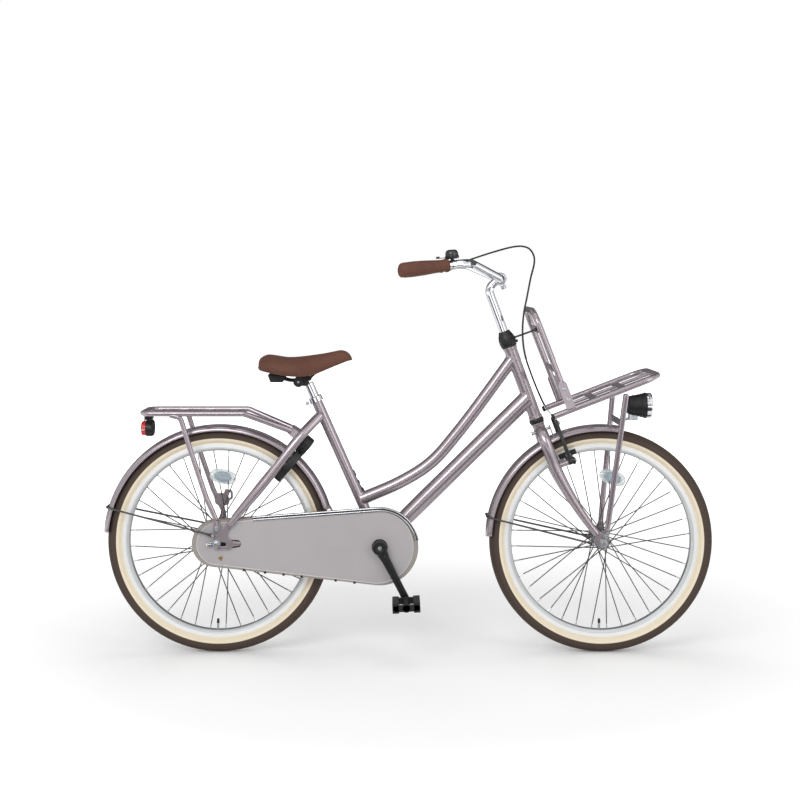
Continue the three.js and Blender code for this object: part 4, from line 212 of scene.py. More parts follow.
# %% Tubes and sweeps
def frames(path, up):
    """Sideways and upward directions at each place of a path: square to its run, nearest to up."""
    run = unit(np.gradient(np.asarray(path, float), axis=0))
    side = unit(np.cross(up, run))
    return side, np.cross(run, side)


def swept(path, section, up, ring=False):
    """A section carried along a path: place = path + sideways * first + upwards * second."""
    section = np.asarray(section, float)
    path = np.asarray(path, float)
    if ring:
        run = unit(np.roll(path, -1, 0) - np.roll(path, 1, 0))
        side = unit(np.cross(up, run))
        above = np.cross(run, side)
    else:
        side, above = frames(path, up)
    if section.ndim == 2:
        section = section[None]
    rows = path[:, None] + section[..., :1] * side[:, None] + section[..., 1:] * above[:, None]
    return skin(rows, ring)


def tube(path, radius, up=across, sides=20, edge=1.2):
    """A tube along a path, with a radius for each place and its ends rounded by edge."""
    path = np.asarray(path, float)
    radius = np.broadcast_to(np.asarray(radius, float), (len(path),))
    edge = min(edge, 0.95 * radius.min())
    turn = np.linspace(0, np.pi / 2, 4)
    lead, drop = edge * (1 - np.cos(turn)), edge * (1 - np.sin(turn))
    first, last = unit(path[1] - path[0]), unit(path[-2] - path[-1])
    places = np.concatenate((path[0] + lead[:, None] * first, path[1:-1],
                             (path[-1] + lead[:, None] * last)[::-1]))
    radii = np.concatenate((radius[0] - drop, radius[1:-1], (radius[-1] - drop)[::-1]))
    shape = circle(sides)
    side, above = frames(path, up)
    pick = np.concatenate((np.zeros(4, int), np.arange(1, len(path) - 1), np.full(4, len(path) - 1)))
    rows = (places[:, None] + radii[:, None, None] * (shape[:, :1] * side[pick, None]
                                                      + shape[:, 1:] * above[pick, None]))
    return skin(rows)


def rod(start, end, radius, sides=16, edge=0.5):
    """A straight bar between two places."""
    start, end = np.asarray(start, float), np.asarray(end, float)
    run = unit(end - start)
    up = upright if abs(run[2]) < 0.9 else ahead
    return tube(np.linspace(start, end, 3), radius, up, sides, edge)


def turned(profile, place, axis=across, steps=72, ring=False):
    """A profile of (radius, along) pairs carried round an axis through a place."""
    axis = unit(axis)
    side = unit(np.cross(axis, upright if abs(axis[2]) < 0.9 else ahead))
    spoke = circle(steps) @ np.stack((side, np.cross(side, axis)))
    profile = np.asarray(profile, float)
    return skin(place + profile[:, 1, None, None] * axis + profile[:, :1, None] * spoke, ring)


def bush(profile, soft, place, axis=across, steps=72):
    """A turned part with a bore, its corners softened."""
    return turned(rounded(profile, soft), place, axis, steps, ring=True)


def knob(profile, soft, place, axis=across, steps=72):
    """A turned part that is closed on its axis, its corners softened."""
    return turned(rounded(profile, soft, False), place, axis, steps)


def two_sided(half):
    """Half of an outline or of a profile, followed by its mirror image on the way back."""
    half = np.asarray(half, float)
    return np.concatenate((half, (half * (1, -1))[::-1]))


def block(x0, z0, x1, z1, soft):
    """The outline of a rectangle with rounded corners."""
    return rounded([(x0, z0), (x1, z0), (x1, z1), (x0, z1)], soft)


# %% Plates with holes and rounded edges
def plane(origin=(0, 0, 0), right=ahead, up=upright, out=across):
    return tuple(np.asarray(v, float) for v in (origin, right, up, out))


side_on = plane()


def area_of(loop):
    """The signed area inside a loop, positive when it runs anticlockwise."""
    after = np.roll(loop, -1, 0)
    return np.sum(loop[:, 0] * after[:, 1] - after[:, 0] * loop[:, 1]) / 2


def plate(outline, low, high, on=side_on, holes=(), edge=0.6):
    """An outline made solid between two heights above its plane. Its rim follows a quarter circle of
    radius edge at both faces, and each face is the triangles between the outline and its holes."""
    origin, right, up, out = on
    turn = np.linspace(0, np.pi / 2, 3)
    inset, rise = edge * (1 - np.sin(turn)), edge * (1 - np.cos(turn))
    insets = np.concatenate((inset, inset[::-1]))
    heights = np.concatenate((low + rise, (high - rise)[::-1]))
    points, quads, floors, roofs, flat_loops, count = [], [], [], [], [], 0
    for number, loop in enumerate([outline, *holes]):
        loop = np.asarray(loop, float)
        loop = loop if (area_of(loop) > 0) == (number == 0) else loop[::-1]
        run = np.roll(loop, -1, 0) - np.roll(loop, 1, 0)
        inward = unit(np.stack((-run[:, 1], run[:, 0]), -1))
        rows = loop + insets[:, None, None] * inward
        index = count + np.arange(len(insets) * len(loop)).reshape(len(insets), -1)
        here, there = index[:-1], index[1:]
        quads.append(np.stack((here, np.roll(here, -1, 1), np.roll(there, -1, 1), there), -1).reshape(-1, 4))
        points.append((origin + rows[..., :1] * right + rows[..., 1:] * up
                       + heights[:, None, None] * out).reshape(-1, 3))
        floors.append(index[0])
        roofs.append(index[-1])
        flat_loops.append(rows[0])
        count += index.size
    fill = np.array(tessellate_polygon([[(*p, 0) for p in loop.tolist()] for loop in flat_loops]))
    flat = np.concatenate(flat_loops)
    a, b, c = (flat[fill[:, k]] for k in range(3))
    turned_over = np.cross(b - a, c - a) < 0
    fill[turned_over] = fill[turned_over][:, ::-1]
    floor, roof = np.concatenate(floors)[fill[:, ::-1]], np.concatenate(roofs)[fill]
    quads = np.concatenate(quads)
    return (np.concatenate(points), np.concatenate((quads.ravel(), floor.ravel(), roof.ravel())),
            np.concatenate((np.full(len(quads), 4), np.full(2 * len(fill), 3))))


def box(low, high, on=side_on, corner=1.0, edge=0.5):
    """A block with rounded edges between two corners, each (right, up, out) in the plane's terms."""
    (x0, z0, y0), (x1, z1, y1) = low, high
    return plate(block(x0, z0, x1, z1, corner), min(y0, y1), max(y0, y1), on, edge=edge)


def tapered(start, end, shares, widths):
    """The outline of an arm whose half width changes on its way, with a point beyond each end."""
    run = unit(end - start)
    beside, widths = at(-run[1], run[0]), np.array(widths)[:, None]
    spine = start + (end - start) * np.array(shares)[:, None]
    return np.concatenate((spine + beside * widths, (end + run * widths[-1])[None],
        (spine - beside * widths)[::-1], (start - run * widths[0])[None]))


def strap(a, radius_a, b, radius_b, steps=14):
    """The outline of a belt round two circles: an arc round each, joined by the outer tangents."""
    a, b = np.asarray(a, float), np.asarray(b, float)
    run = b - a
    bearing, spread = math.atan2(run[1], run[0]), math.acos((radius_a - radius_b) / np.linalg.norm(run))
    back = np.linspace(bearing + spread, bearing + 2 * np.pi - spread, 2 * steps)
    front = np.linspace(bearing - spread, bearing + spread, steps)
    arcs = [centre + radius * heading(angle) for centre, radius, angle in ((a, radius_a, back),
        (b, radius_b, front))]
    return np.concatenate(arcs)


def both(make):
    """The skins that a function makes for the right side (-1) and for the left side (1)."""
    return [made for side in (-1, 1) for made in make(side)]


# %% [markdown]
# ## Placing a piece
# A piece is one mesh made of skins, each with its finish. Its shading breaks at sharp angles, and
# weighted normals keep flat faces flat beside their rounded edges. It rides on the body that carries
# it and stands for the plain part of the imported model.


def build(name, dressed, body, replaces=(), sharp=35):
    """One mesh from a list of (finish, skins), placed in metres and riding on its body."""
    points, corners, sizes, tags, count = [], [], [], [], 0
    for tag, (_, skins) in enumerate(dressed):
        for shape in skins:
            shape_points, shape_corners, shape_sizes = outward(*shape)
            points.append(shape_points)
            corners.append(shape_corners + count)
            sizes.append(shape_sizes)
            tags.append(np.full(len(shape_sizes), tag))
            count += len(shape_points)
    points = np.concatenate(points) * MM + (axle_x, 0, 0)
    corners, sizes, tags = (np.concatenate(x) for x in (corners, sizes, tags))
    mesh = bpy.data.meshes.new(name)
    mesh.vertices.add(len(points))
    mesh.loops.add(len(corners))
    mesh.polygons.add(len(sizes))
    mesh.vertices.foreach_set("co", points.astype(np.float32).ravel())
    mesh.loops.foreach_set("vertex_index", corners.astype(np.int32))
    mesh.polygons.foreach_set("loop_start", (np.cumsum(sizes) - sizes).astype(np.int32))
    mesh.polygons.foreach_set("material_index", tags.astype(np.int32))
    for finish, _ in dressed:
        mesh.materials.append(finish)
    mesh.update(calc_edges=True)
    mesh.validate()
    mesh.shade_smooth()
    mesh.set_sharp_from_angle(angle=math.radians(sharp))
    piece = bpy.data.objects.new(name, mesh)
    bpy.context.scene.collection.objects.link(piece)
    flats = piece.modifiers.new("Flat faces stay flat", "WEIGHTED_NORMAL")
    flats.keep_sharp = True
    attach(piece, body)
    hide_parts(*replaces)
    print(f"{name}: {len(sizes)} faces on {body}")
    return piece


def build_painted(node, skins):
    """A piece of the frame that is paint all over and stands for one node."""
    build(node + "_painted", [(paint, skins)], "frame", [node])


# %% [markdown]
# ## Finishes
# A finish is a Principled shader fed by a little arithmetic. A small class lets a node's output be used
# in a Python expression, so that 1 - mask * 0.3 adds its own Math nodes. Patterns read Object
# coordinates in metres: every piece has its place in its mesh, so the pattern stays put on it.

# %% Numbers that flow through a finish
class Flow:
    """A node's output, used like a number: each operation on it adds one Math node."""

    def __init__(self, finish, socket):
        self.finish, self.socket = finish, socket

    def maths(self, operation, first, second=0.0):
        return self.finish.node("Math", {"operation": operation}, {0: first, 1: second})

    def __add__(self, other): return self.maths("ADD", self, other)
    def __radd__(self, other): return self.maths("ADD", other, self)
    def __sub__(self, other): return self.maths("SUBTRACT", self, other)
    def __rsub__(self, other): return self.maths("SUBTRACT", other, self)
    def __mul__(self, other): return self.maths("MULTIPLY", self, other)
    def __rmul__(self, other): return self.maths("MULTIPLY", other, self)
    def sine(self): return self.maths("SINE", self)
    def size(self): return self.maths("ABSOLUTE", self)


def tint(red, green, blue):
    """A colour as a paint chart gives it, 0 to 255, in the linear light that a shader works in."""
    share = np.array((red, green, blue)) / 255
    linear = np.where(share <= 0.04045, share / 12.92, ((share + 0.055) / 1.055) ** 2.4)
    return (*linear.tolist(), 1.0)


class Net:
    """The shader nodes of a material or of the world: node() adds one and gives back its output."""

    def __init__(self, owner):
        owner.use_nodes = True
        self.tree = owner.node_tree

    def node(self, kind, settings=None, values=None, out=0):
        made = self.tree.nodes.new("ShaderNode" + kind)
        for key, value in (settings or {}).items():
            setattr(made, key, value)
        for key, value in (values or {}).items():
            self.join(value, made.inputs[key])
        return Flow(self, made.outputs[out])

    def join(self, value, socket):
        if isinstance(value, Flow):
            self.tree.links.new(value.socket, socket)
        else:
            socket.default_value = value

    def parts(self, vector):
        split = self.node("SeparateXYZ", None, {0: vector})
        return [Flow(self, output) for output in split.socket.node.outputs]

    def ramp(self, value, low, high, least=0.0, most=1.0):
        """least below low, most above high, and a straight rise between them."""
        return self.node("MapRange", None, {"Value": value, "From Min": low, "From Max": high,
            "To Min": least, "To Max": most})

    def rays(self, *kinds):
        """1 for a ray that is of any of these kinds, and 0 for the others."""
        seen, *more = [self.node("LightPath", out=f"Is {kind} Ray") for kind in kinds]
        for flag in more:
            seen = seen.maths("MAXIMUM", seen, flag)
        return seen


class Finish(Net):
    """One material: its constants sit on the shader, and node() adds anything that varies."""

    def __init__(self, name, slot=None, **constants):
        self.material = bpy.data.materials.new(name)
        super().__init__(self.material)
        self.shader = self.tree.nodes["Principled BSDF"]
        for label, value in constants.items():
            self.shader.inputs[label.replace("_", " ").title().replace("Ior", "IOR")].default_value = value

    def place(self):
        return self.node("TexCoord", out="Object")

    def about(self, centre):
        """Coordinates counted from a place that is given in the drawing's millimetres."""
        here = (np.asarray(centre, float) * MM + (axle_x, 0, 0)).tolist()
        return self.node("VectorMath", {"operation": "SUBTRACT"}, {0: self.place(), 1: here})

    def from_axle(self, centre):
        """Coordinates square to the wheel's axle, and the distance from it in millimetres."""
        offset = self.node("VectorMath", {"operation": "MULTIPLY"}, {0: self.about(centre), 1: (1, 0, 1)})
        return offset, self.node("VectorMath", {"operation": "LENGTH"}, {0: offset}, "Value") * 1000

    def noise(self, scale, detail=2.0, roughness=0.5, where=None, stretch=None):
        where = where or self.place()
        if stretch:
            where = self.node("Mapping", None, {"Vector": where, "Scale": stretch})
        return self.node("TexNoise", None, {"Vector": where, "Scale": scale, "Detail": detail,
                                            "Roughness": roughness})

    def cells(self, scale, feature="F1", out="Distance", where=None):
        return self.node("TexVoronoi", {"feature": feature},
                         {"Vector": where or self.place(), "Scale": scale}, out)

    def mix(self, share, first, second):
        return self.node("Mix", {"data_type": "RGBA"}, {0: share, 6: first, 7: second}, 2)

    def bump(self, height, depth_mm, strength=1.0):
        return self.node("Bump", None, {"Height": height, "Distance": depth_mm * MM, "Strength": strength})

    def wear(self, **fed):
        for label, value in fed.items():
            self.join(value, self.shader.inputs[label.replace("_", " ").title()])
        return self.material
# %% [markdown]
# The frame's paint is a lilac grey metallic under clear lacquer: tiny flakes, a broad noise that keeps
# the colour from being one flat value, and a little road dust near the floor.

# %% Metallic frame paint
def frame_paint():
    paint = Finish("lilac_grey_metallic", "frame_paint", metallic=0.62, coat_weight=0.7, coat_roughness=0.06)
    cloud, flake = paint.noise(6.0, 3.0), paint.cells(1400.0, out="Color")
    height = paint.parts(paint.place())[2]
    dust = paint.ramp(height, 0.42, 0.05) * paint.noise(60.0, 4.0) * 0.35
    base = paint.mix(cloud, tint(150, 139, 146), tint(166, 155, 162))
    base = paint.mix(paint.ramp(paint.parts(flake)[0], 0.55, 1.0) * 0.25, base, tint(206, 197, 204))
    base = paint.mix(dust, base, tint(150, 142, 134))
    rough = 0.2 + paint.noise(220.0, 2.0) * 0.06 + dust * 0.5
    return paint.wear(base_color=base, roughness=rough,
                      normal=paint.bump(paint.noise(2600.0, 1.0), 0.02, 0.25))


paint = frame_paint()

# %% [markdown]
# Chrome is a perfect metal with almost no roughness. A faint film of fingerprints and polishing marks
# softens its reflections here and there.

# %% Bright and dull metals
def metal(name, slot, colour, worn, base_rough, grain, spread, depth):
    steel = Finish(name, slot, metallic=1.0)
    film, fine = steel.noise(24.0, 5.0, 0.6), steel.noise(grain, 2.0, stretch=(1.0, 1.0, 6.0))
    base = steel.mix(steel.ramp(film, 0.35, 0.8), tint(*colour), tint(*worn))
    rough = base_rough + steel.ramp(film, 0.4, 0.75) * spread + fine * spread * 0.5
    return steel.wear(base_color=base, roughness=rough, normal=steel.bump(fine, depth, 0.3))


chrome = metal("polished_chrome", "chrome", (232, 234, 238), (214, 216, 222), 0.05, 500.0, 0.07, 0.004)
hub_steel = metal("plated_steel", "hub_steel", (196, 199, 204), (160, 162, 166), 0.24, 900.0, 0.16, 0.02)
dark_steel = metal("oiled_steel", "dark_steel", (92, 90, 90), (60, 57, 54), 0.34, 900.0, 0.2, 0.03)
brass = metal("worn_brass", "hub_steel", (186, 166, 112), (142, 122, 82), 0.28, 900.0, 0.16, 0.02)
spoke_steel = metal("stainless_wire", "hub_steel", (96, 96, 96), (74, 74, 76), 0.42, 1400.0, 0.08, 0.002)


# %% [markdown]
# Moulded plastic has a fine grain that scatters light. Painted metal is smoother, with a clear top
# layer that rubs pale where fingers and shoes touch it.

# %% Black plastic and black paint
def moulded(name, slot, colour, worn, grain, rough, coat):
    black = Finish(name, slot, coat_weight=coat, coat_roughness=0.15)
    pits, rub = black.noise(grain, 2.0, 0.7), black.noise(35.0, 5.0, 0.65)
    rubbed = black.ramp(rub, 0.58, 0.85)
    base = black.mix(rubbed * 0.6, tint(*colour), tint(*worn))
    return black.wear(base_color=base, roughness=rough + rubbed * 0.15 + pits * 0.12,
                      normal=black.bump(pits, 0.05, 0.35))


black_plastic = moulded("grained_black_plastic", "black_plastic", (13, 14, 15), (36, 37, 39), 1500.0,
    0.38, 0.0)
black_paint = moulded("black_lacquer", "black_paint", (16, 17, 19), (48, 49, 52), 500.0, 0.22, 0.4)
rubber_black = moulded("black_rubber", "black_plastic", (24, 24, 24), (42, 40, 38), 900.0, 0.6, 0.0)


# %% [markdown]
# The cover of saddle and grips is embossed: small cells with sunken borders, with painted shade in the
# creases. The cells come from a Voronoi pattern, whose distance to the border gives the bump and the painted
# shade.

# %% Embossed brown leather
def leather():
    hide = Finish("brown_leather_cover", "brown_leather", specular_ior_level=0.3)
    where = hide.place()
    border = hide.cells(700.0, "DISTANCE_TO_EDGE", where=where)
    crease = hide.ramp(border, 0.0, 0.16)
    patch, fine = hide.noise(18.0, 4.0, 0.6), hide.noise(2400.0, 2.0)
    base = hide.mix(hide.ramp(patch, 0.3, 0.75), tint(96, 60, 47), tint(112, 72, 57))
    # painted shade: the creases between the cells are darkened towards a deep brown
    base = hide.mix((1 - crease) * 0.45, base, tint(62, 37, 29))
    rough = 0.46 + (1 - crease) * 0.2 + patch * 0.12
    return hide.wear(base_color=base, roughness=rough,
                     normal=hide.bump(crease * 0.8 + fine * 0.3, 0.12, 0.5))


brown_leather = leather()
stitch_thread = moulded("waxed_thread", "brown_leather", (96, 60, 48), (120, 82, 66), 3000.0, 0.6, 0.0)


# %% [markdown]
# The chain case is lacquered cloth on a frame: a pale warm grey with the faint squares of the weave under the
# lacquer, and with soft stains. Painted shade darkens its rolled edge and rim, where the cloth turns from the
# light.

# %% Lacquered cloth of the chain case
def case_cloth():
    cloth = Finish("lacquered_case_cloth", "case_cloth", coat_weight=0.25, coat_roughness=0.25)
    x, depth, z = cloth.parts(cloth.place())
    weave = (x * 5200.0).sine() * (z * 5200.0).sine()
    stain = cloth.ramp(cloth.noise(9.0, 5.0, 0.6), 0.45, 0.8)
    base = cloth.mix(stain * 0.5, tint(171, 167, 169), tint(160, 154, 156))
    base = cloth.mix(cloth.ramp(weave, -0.6, 1.0) * 0.12, base, tint(188, 184, 186))
    # painted shade: the rolled edge and the rim behind the flat face are darker
    base = cloth.mix(cloth.ramp(depth, -0.0647, -0.063), base, tint(146, 139, 133))
    rough = 0.42 + cloth.noise(140.0, 3.0) * 0.14
    return cloth.wear(base_color=base, roughness=rough, normal=cloth.bump(weave, 0.03, 0.25))


case_grey = case_cloth()
# painted shade: a darker brownish band round the face stands for the shade on the rolled edge
case_rim_shade = moulded("case_rim_painted_shade", "case_cloth", (150, 143, 138), (166, 160, 155), 900.0, 0.45, 0.2)
# painted highlight: a pale bead round the panel stands for the line of light along its edge
case_bead_highlight = moulded("case_bead_highlight", "case_cloth", (204, 200, 200), (180, 175, 174), 900.0, 0.4, 0.2)


# %% [markdown]
# A tyre's rubber changes colour by its distance from the axle: a brown tread, a thin dark edge and a
# cream sidewall. Vector Math gives that distance, so the boundary is a true circle.

# %% Tyre rubber with a cream wall
def tyre_rubber(name, centre):
    tyre, wall_edge, shoulder_radius = Finish(name, "tyre_rubber"), 275.2, 291.5
    offset, radius = tyre.from_axle(centre)
    tread = tyre.ramp(radius, wall_edge - 0.4, wall_edge + 0.4)
    border = tyre.ramp((radius - wall_edge).size(), 0.9, 0.2)
    x, _, z = tyre.parts(offset)
    turn = tyre.node("Math", {"operation": "ARCTAN2"}, {0: z, 1: x})
    shoulder = tyre.ramp((radius - shoulder_radius).size(), 5.0, 3.2)
    # painted shade: the notches between the tread blocks on the shoulder are darkened
    notch = tyre.ramp((turn * float(tread_blocks) + radius * 0.5).sine(), 0.35, 0.75) * shoulder
    dust, speck = tyre.noise(50.0, 5.0, 0.6), tyre.noise(700.0, 2.0)
    cream = tyre.mix(dust * 0.35, tint(238, 226, 202), tint(222, 206, 178))
    brown = tyre.mix(dust * 0.5, tint(72, 57, 48), tint(58, 46, 40))
    brown = tyre.mix(notch * 0.75, brown, tint(38, 31, 27))
    base = tyre.mix(border * 0.7, tyre.mix(tread, cream, brown), tint(92, 74, 62))
    ribs = (radius * 2.6).sine() * (1 - tread)
    return tyre.wear(base_color=base, roughness=0.62 + speck * 0.2 + tread * 0.06,
                     normal=tyre.bump(speck * 0.5 + ribs * 0.3, 0.08, 0.4))


# %% [markdown]
# A rim is anodised aluminium. Its brake track is turned on a lathe, which leaves fine circles, and the
# bed inside it is smoother and a little darker.

# %% Anodised rim
def rim_alloy(name, centre):
    rim, track_edge, bed_edge = Finish(name, "rim_alloy", metallic=0.4), 250.0, 242.4
    _, radius = rim.from_axle(centre)
    track = rim.ramp(radius, track_edge, track_edge + 1)
    circles = rim.noise(1.0, 3.0, 0.7, where=rim.node("CombineXYZ", None, {0: radius * 3.2}))
    dust = rim.noise(30.0, 4.0, 0.6)
    base = rim.mix(track, tint(216, 219, 221), tint(246, 247, 248))
    base = rim.mix(rim.ramp(radius, bed_edge, bed_edge - 1.2), base, tint(120, 122, 124))
    base = rim.mix(dust * 0.2, base, tint(196, 197, 197))
    rough = 0.26 + circles * track * 0.18 + dust * 0.08
    return rim.wear(base_color=base, roughness=rough, normal=rim.bump(circles * track, 0.03, 0.3))


# %% [markdown]
# Lamp glasses and reflectors are clear plastic over a faceted back. Cells in the bump break the
# reflections into small prisms.

# %% Lamp glass and reflectors
def lens(name, slot, colour, second, prism_mm, clear):
    glass = Finish(name, slot, transmission_weight=clear, ior=1.49, coat_weight=0.6, coat_roughness=0.04)
    prism = glass.cells(1000.0 / prism_mm, "DISTANCE_TO_EDGE")
    base = glass.mix(glass.ramp(prism, 0.05, 0.4), tint(*second), tint(*colour))
    return glass.wear(base_color=base, roughness=0.08 + glass.noise(300.0, 2.0) * 0.08,
        normal=glass.bump(glass.ramp(prism, 0.0, 0.45), 0.6, 0.5))


red_lens = lens("red_lamp_glass", "red_lens", (240, 30, 26), (206, 14, 12), 3.0, 0.1)
clear_lens = lens("clear_lamp_glass", "clear_lens", (236, 240, 242), (206, 214, 220), 4.0, 0.75)
spoke_glass = lens("spoke_reflector_glass", "clear_lens", (206, 217, 224), (176, 192, 204), 2.4, 0.4)
pale_rim_glass = lens("pale_reflector_edge", "clear_lens", (232, 238, 237), (216, 224, 223), 6.0, 0.5)

# %% [markdown]
# ## Floor, light and camera
# The floor is pale and takes the shadow, and what the camera sees beyond it is plain white through
# Light Path, so that no extra light falls on the bike. Large soft lamps give the long highlights.

# %% Floor and surroundings
def board(name, wide, deep, finish):
    """A flat rectangle that belongs to the studio and not to the bike."""
    sheet = bpy.data.meshes.new(name)
    sheet.from_pydata([(-wide, -deep, 0), (wide, -deep, 0), (wide, deep, 0), (-wide, deep, 0)], [],
        [(0, 1, 2, 3)])
    sheet.materials.append(finish.material)
    piece = bpy.data.objects.new(name, sheet)
    bpy.context.scene.collection.objects.link(piece)
    return piece


def studio_floor():
    """A pale floor that glows more the further off it is, so that it runs into the white behind."""
    pale = Finish("pale_floor", base_color=tint(253, 253, 253), roughness=0.9, specular_ior_level=0.1)
    far = pale.node("VectorMath", {"operation": "LENGTH"}, {0: pale.place()}, "Value")
    glow = pale.rays("Camera", "Glossy", "Transmission") * pale.ramp(far, 0.8, 4.0, 0.06, 1.0)
    light = pale.node("Emission", None, {"Strength": glow})
    lit = pale.node("AddShader", None, {0: Flow(pale, pale.shader.outputs[0]), 1: light})
    pale.join(lit, pale.tree.nodes["Material Output"].inputs["Surface"])
    board("studio_floor", 14.0, 14.0, pale)


def studio_world():
    """White for the camera, dimmer as a light, and brighter upwards where it is mirrored."""
    world = bpy.data.worlds.new("white_studio")
    bpy.context.scene.world = world
    sky = Net(world)
    height = sky.parts(sky.node("TexCoord", out="Generated"))[2]
    rest = sky.node("Mix", None, {0: sky.rays("Glossy"), 2: 0.55, 3: sky.ramp(height, 0.0, 0.5, 0.7, 1.0)})
    strength = sky.node("Mix", None, {0: sky.rays("Camera", "Transmission"), 2: rest, 3: 1.0})
    background = sky.tree.nodes["Background"]
    sky.join(strength, background.inputs["Strength"])
    background.inputs["Color"].default_value = (1, 1, 1, 1)


def softbox(name, place, look_at, size, power):
    light = bpy.data.lights.new(name, "AREA")
    light.shape, light.size, light.size_y, light.energy = "RECTANGLE", *size, power
    lamp = bpy.data.objects.new(name, light)
    bpy.context.scene.collection.objects.link(lamp)
    lamp.location = place
    away = lamp.location.copy()
    for axis in range(3):
        away[axis] -= look_at[axis]
    lamp.rotation_euler = away.to_track_quat("Z", "Y").to_euler()


def black_card(name, place, size, turn, shade=62):
    """A black card that only reflections see: it draws the dark lines that chrome and paint need."""
    card = board(name, size[0] / 2, size[1] / 2, Finish(name, base_color=tint(shade, shade, shade),
        roughness=0.9))
    card.location, card.rotation_euler = place, turn
    card.visible_camera = card.visible_diffuse = card.visible_shadow = card.visible_transmission = False


studio_floor()
studio_world()
softbox("key_lamp", (-1.4, -3.4, 2.6), (0, 0, 0.4), (2.6, 1.6), 62)
softbox("fill_lamp", (2.4, -2.4, 1.8), (0, 0, 0.5), (1.6, 2.2), 22)
softbox("top_lamp", (0.2, 0.3, 3.8), (0, 0, 0.3), (3.2, 1.4), 16)
softbox("rim_lamp", (-1.5, 3.0, 2.2), (0, 0, 0.5), (2.2, 1.4), 16)
black_card("card_on_floor", (0, -1.75, 0.02), (4.6, 2.3), (0, 0, 0))
black_card("card_behind_camera", (0, -4.6, 1.25), (5.0, 0.5), (math.pi / 2, 0, 0))
black_card("card_behind_bike", (0, 2.2, 1.35), (7.0, 2.7), (math.pi / 2, 0, 0), 92)
black_card("card_above", (0, 1.6, 2.7), (7.0, 3.2), (0, 0, 0))
bpy.context.scene.view_settings.view_transform = "Standard"
print("studio lit by four soft lamps")

# %% [markdown]
# The camera stands 3.9 m from the bike's middle plane, about 1 m up, and looks straight across. A lens
# shift puts the picture's centre below that horizon, so the wheels stay true circles.

# %% Camera
mm_per_pixel, image_size, sensor = 2.695, 800, 36.0
stand_off, horizon_pixel, axle_pixel = 3900, at(395, 278), at(219.7, 539.5)
floor_pixel = axle_pixel[1] + tyre_radius / mm_per_pixel
eye = at((horizon_pixel[0] - axle_pixel[0]) * mm_per_pixel, -stand_off,
         (floor_pixel - horizon_pixel[1]) * mm_per_pixel)
camera = bpy.data.cameras.new("studio_camera")
camera.sensor_width = sensor
camera.lens = stand_off / mm_per_pixel / image_size * sensor
camera.shift_x = (image_size / 2 - horizon_pixel[0]) / image_size
camera.shift_y = (horizon_pixel[1] - image_size / 2) / image_size
viewer = bpy.data.objects.new("studio_camera", camera)
bpy.context.scene.collection.objects.link(viewer)
viewer.location = (eye * MM + (axle_x, 0, 0)).tolist()
viewer.rotation_euler = (math.pi / 2, 0, 0)
bpy.context.scene.camera = viewer
print("camera", eye.round(0), "lens", round(camera.lens, 1))

# %% [markdown]
# ## Tyres
# A tyre is one section carried round the axle, from the bead over the widest point to the tread. The
# tread's grooves are a wave over the angle and the width, so that they show on the wheel's outline.

# %% Tyre section and tread
bead_radius, rim_width = tyre_radius - tyre_width, 26


def tyre_skin(centre):
    """place = centre + radius (cos a, 0, sin a) + y. The radius of the tread drops by the wave
    where a block ends: cos(n a + the width's lean) above a level, with n blocks in a turn."""
    half, bead_half = tyre_width / 2, rim_width / 2 - 3.2
    outer = spline([(bead_radius, bead_half), (bead_radius + 8, bead_half + 1.5), (268, 20.2),
                    (277, half), (286, 21.6), (293.5, 16.8), (298.4, 9), (300.4, 0)], 30)
    outer = np.concatenate((outer, (outer * (1, -1))[::-1][1:]))
    inner = spline([(bead_radius, -bead_half + 3.5), (266, -15), (278, -19), (290, -15), (295, 0),
                    (290, 15), (278, 19), (266, 15), (bead_radius, bead_half - 3.5)], 18)
    section = np.concatenate((outer, inner))
    steps = 1296
    angle = np.linspace(0, 2 * np.pi, steps, endpoint=False)[None, :]
    radius, wide = section[:, :1], section[:, 1:]
    blocks = np.cos(tread_blocks * angle + 0.16 * np.abs(wide) * np.pi)
    on_tread = np.clip((radius - 284) / 6, 0, 1) * (np.arange(len(section)) < len(outer))[:, None]
    channel = np.exp(-((np.abs(wide) - 8) / 1.1) ** 2) + np.exp(-(wide / 0.9) ** 2)
    depth = 1.3 * on_tread * np.clip(np.maximum((blocks > 0.55) * (np.abs(wide) > 3), channel), 0, 1)
    radius = radius - depth
    wide = np.broadcast_to(wide, radius.shape)
    rows = np.stack((centre[0] + radius * np.cos(angle), wide, centre[2] + radius * np.sin(angle)), -1)
    return skin(rows, ring=True)


# %% [markdown]
# ## Rims, hubs and spokes
# The wheel is laced as a real one is: half of the spokes leave each flange, leaning forwards and
# backwards in turn by three crossings, and each ends in a nipple in the rim.

# %% Rim, hub and spokes
rim_outer, rim_inner = bead_radius + 6.5, bead_radius - 13
hubs = {
    "rear": dict(centre=rear_axle, offset=29, flange=29, barrel=20, end=34, reflector=86.6),
    "front": dict(centre=front_axle, offset=30, flange=22, barrel=13, end=38, reflector=79.5),
}
spoke_count, crossings, first_spoke = 36, 3, 4


def rim_skin(centre):
    half, wall = rim_width / 2, 1.8
    profile = two_sided([(rim_inner, -half * 0.5), (bead_radius - 6.6, -half), (rim_outer, -half),
        (rim_outer + 0.6, -half + wall * 0.6), (rim_outer, -half + wall), (bead_radius - 3, -half + 2.9),
        (bead_radius - 6, -4)])
    return bush(profile, 1.2, centre, steps=240)


def around(centre, radius, degrees, y=0.0):
    """A place on a circle about the axle, counted from straight ahead over the top."""
    angle = math.radians(degrees)
    return at(centre[0] + radius * math.cos(angle), y, centre[2] + radius * math.sin(angle))


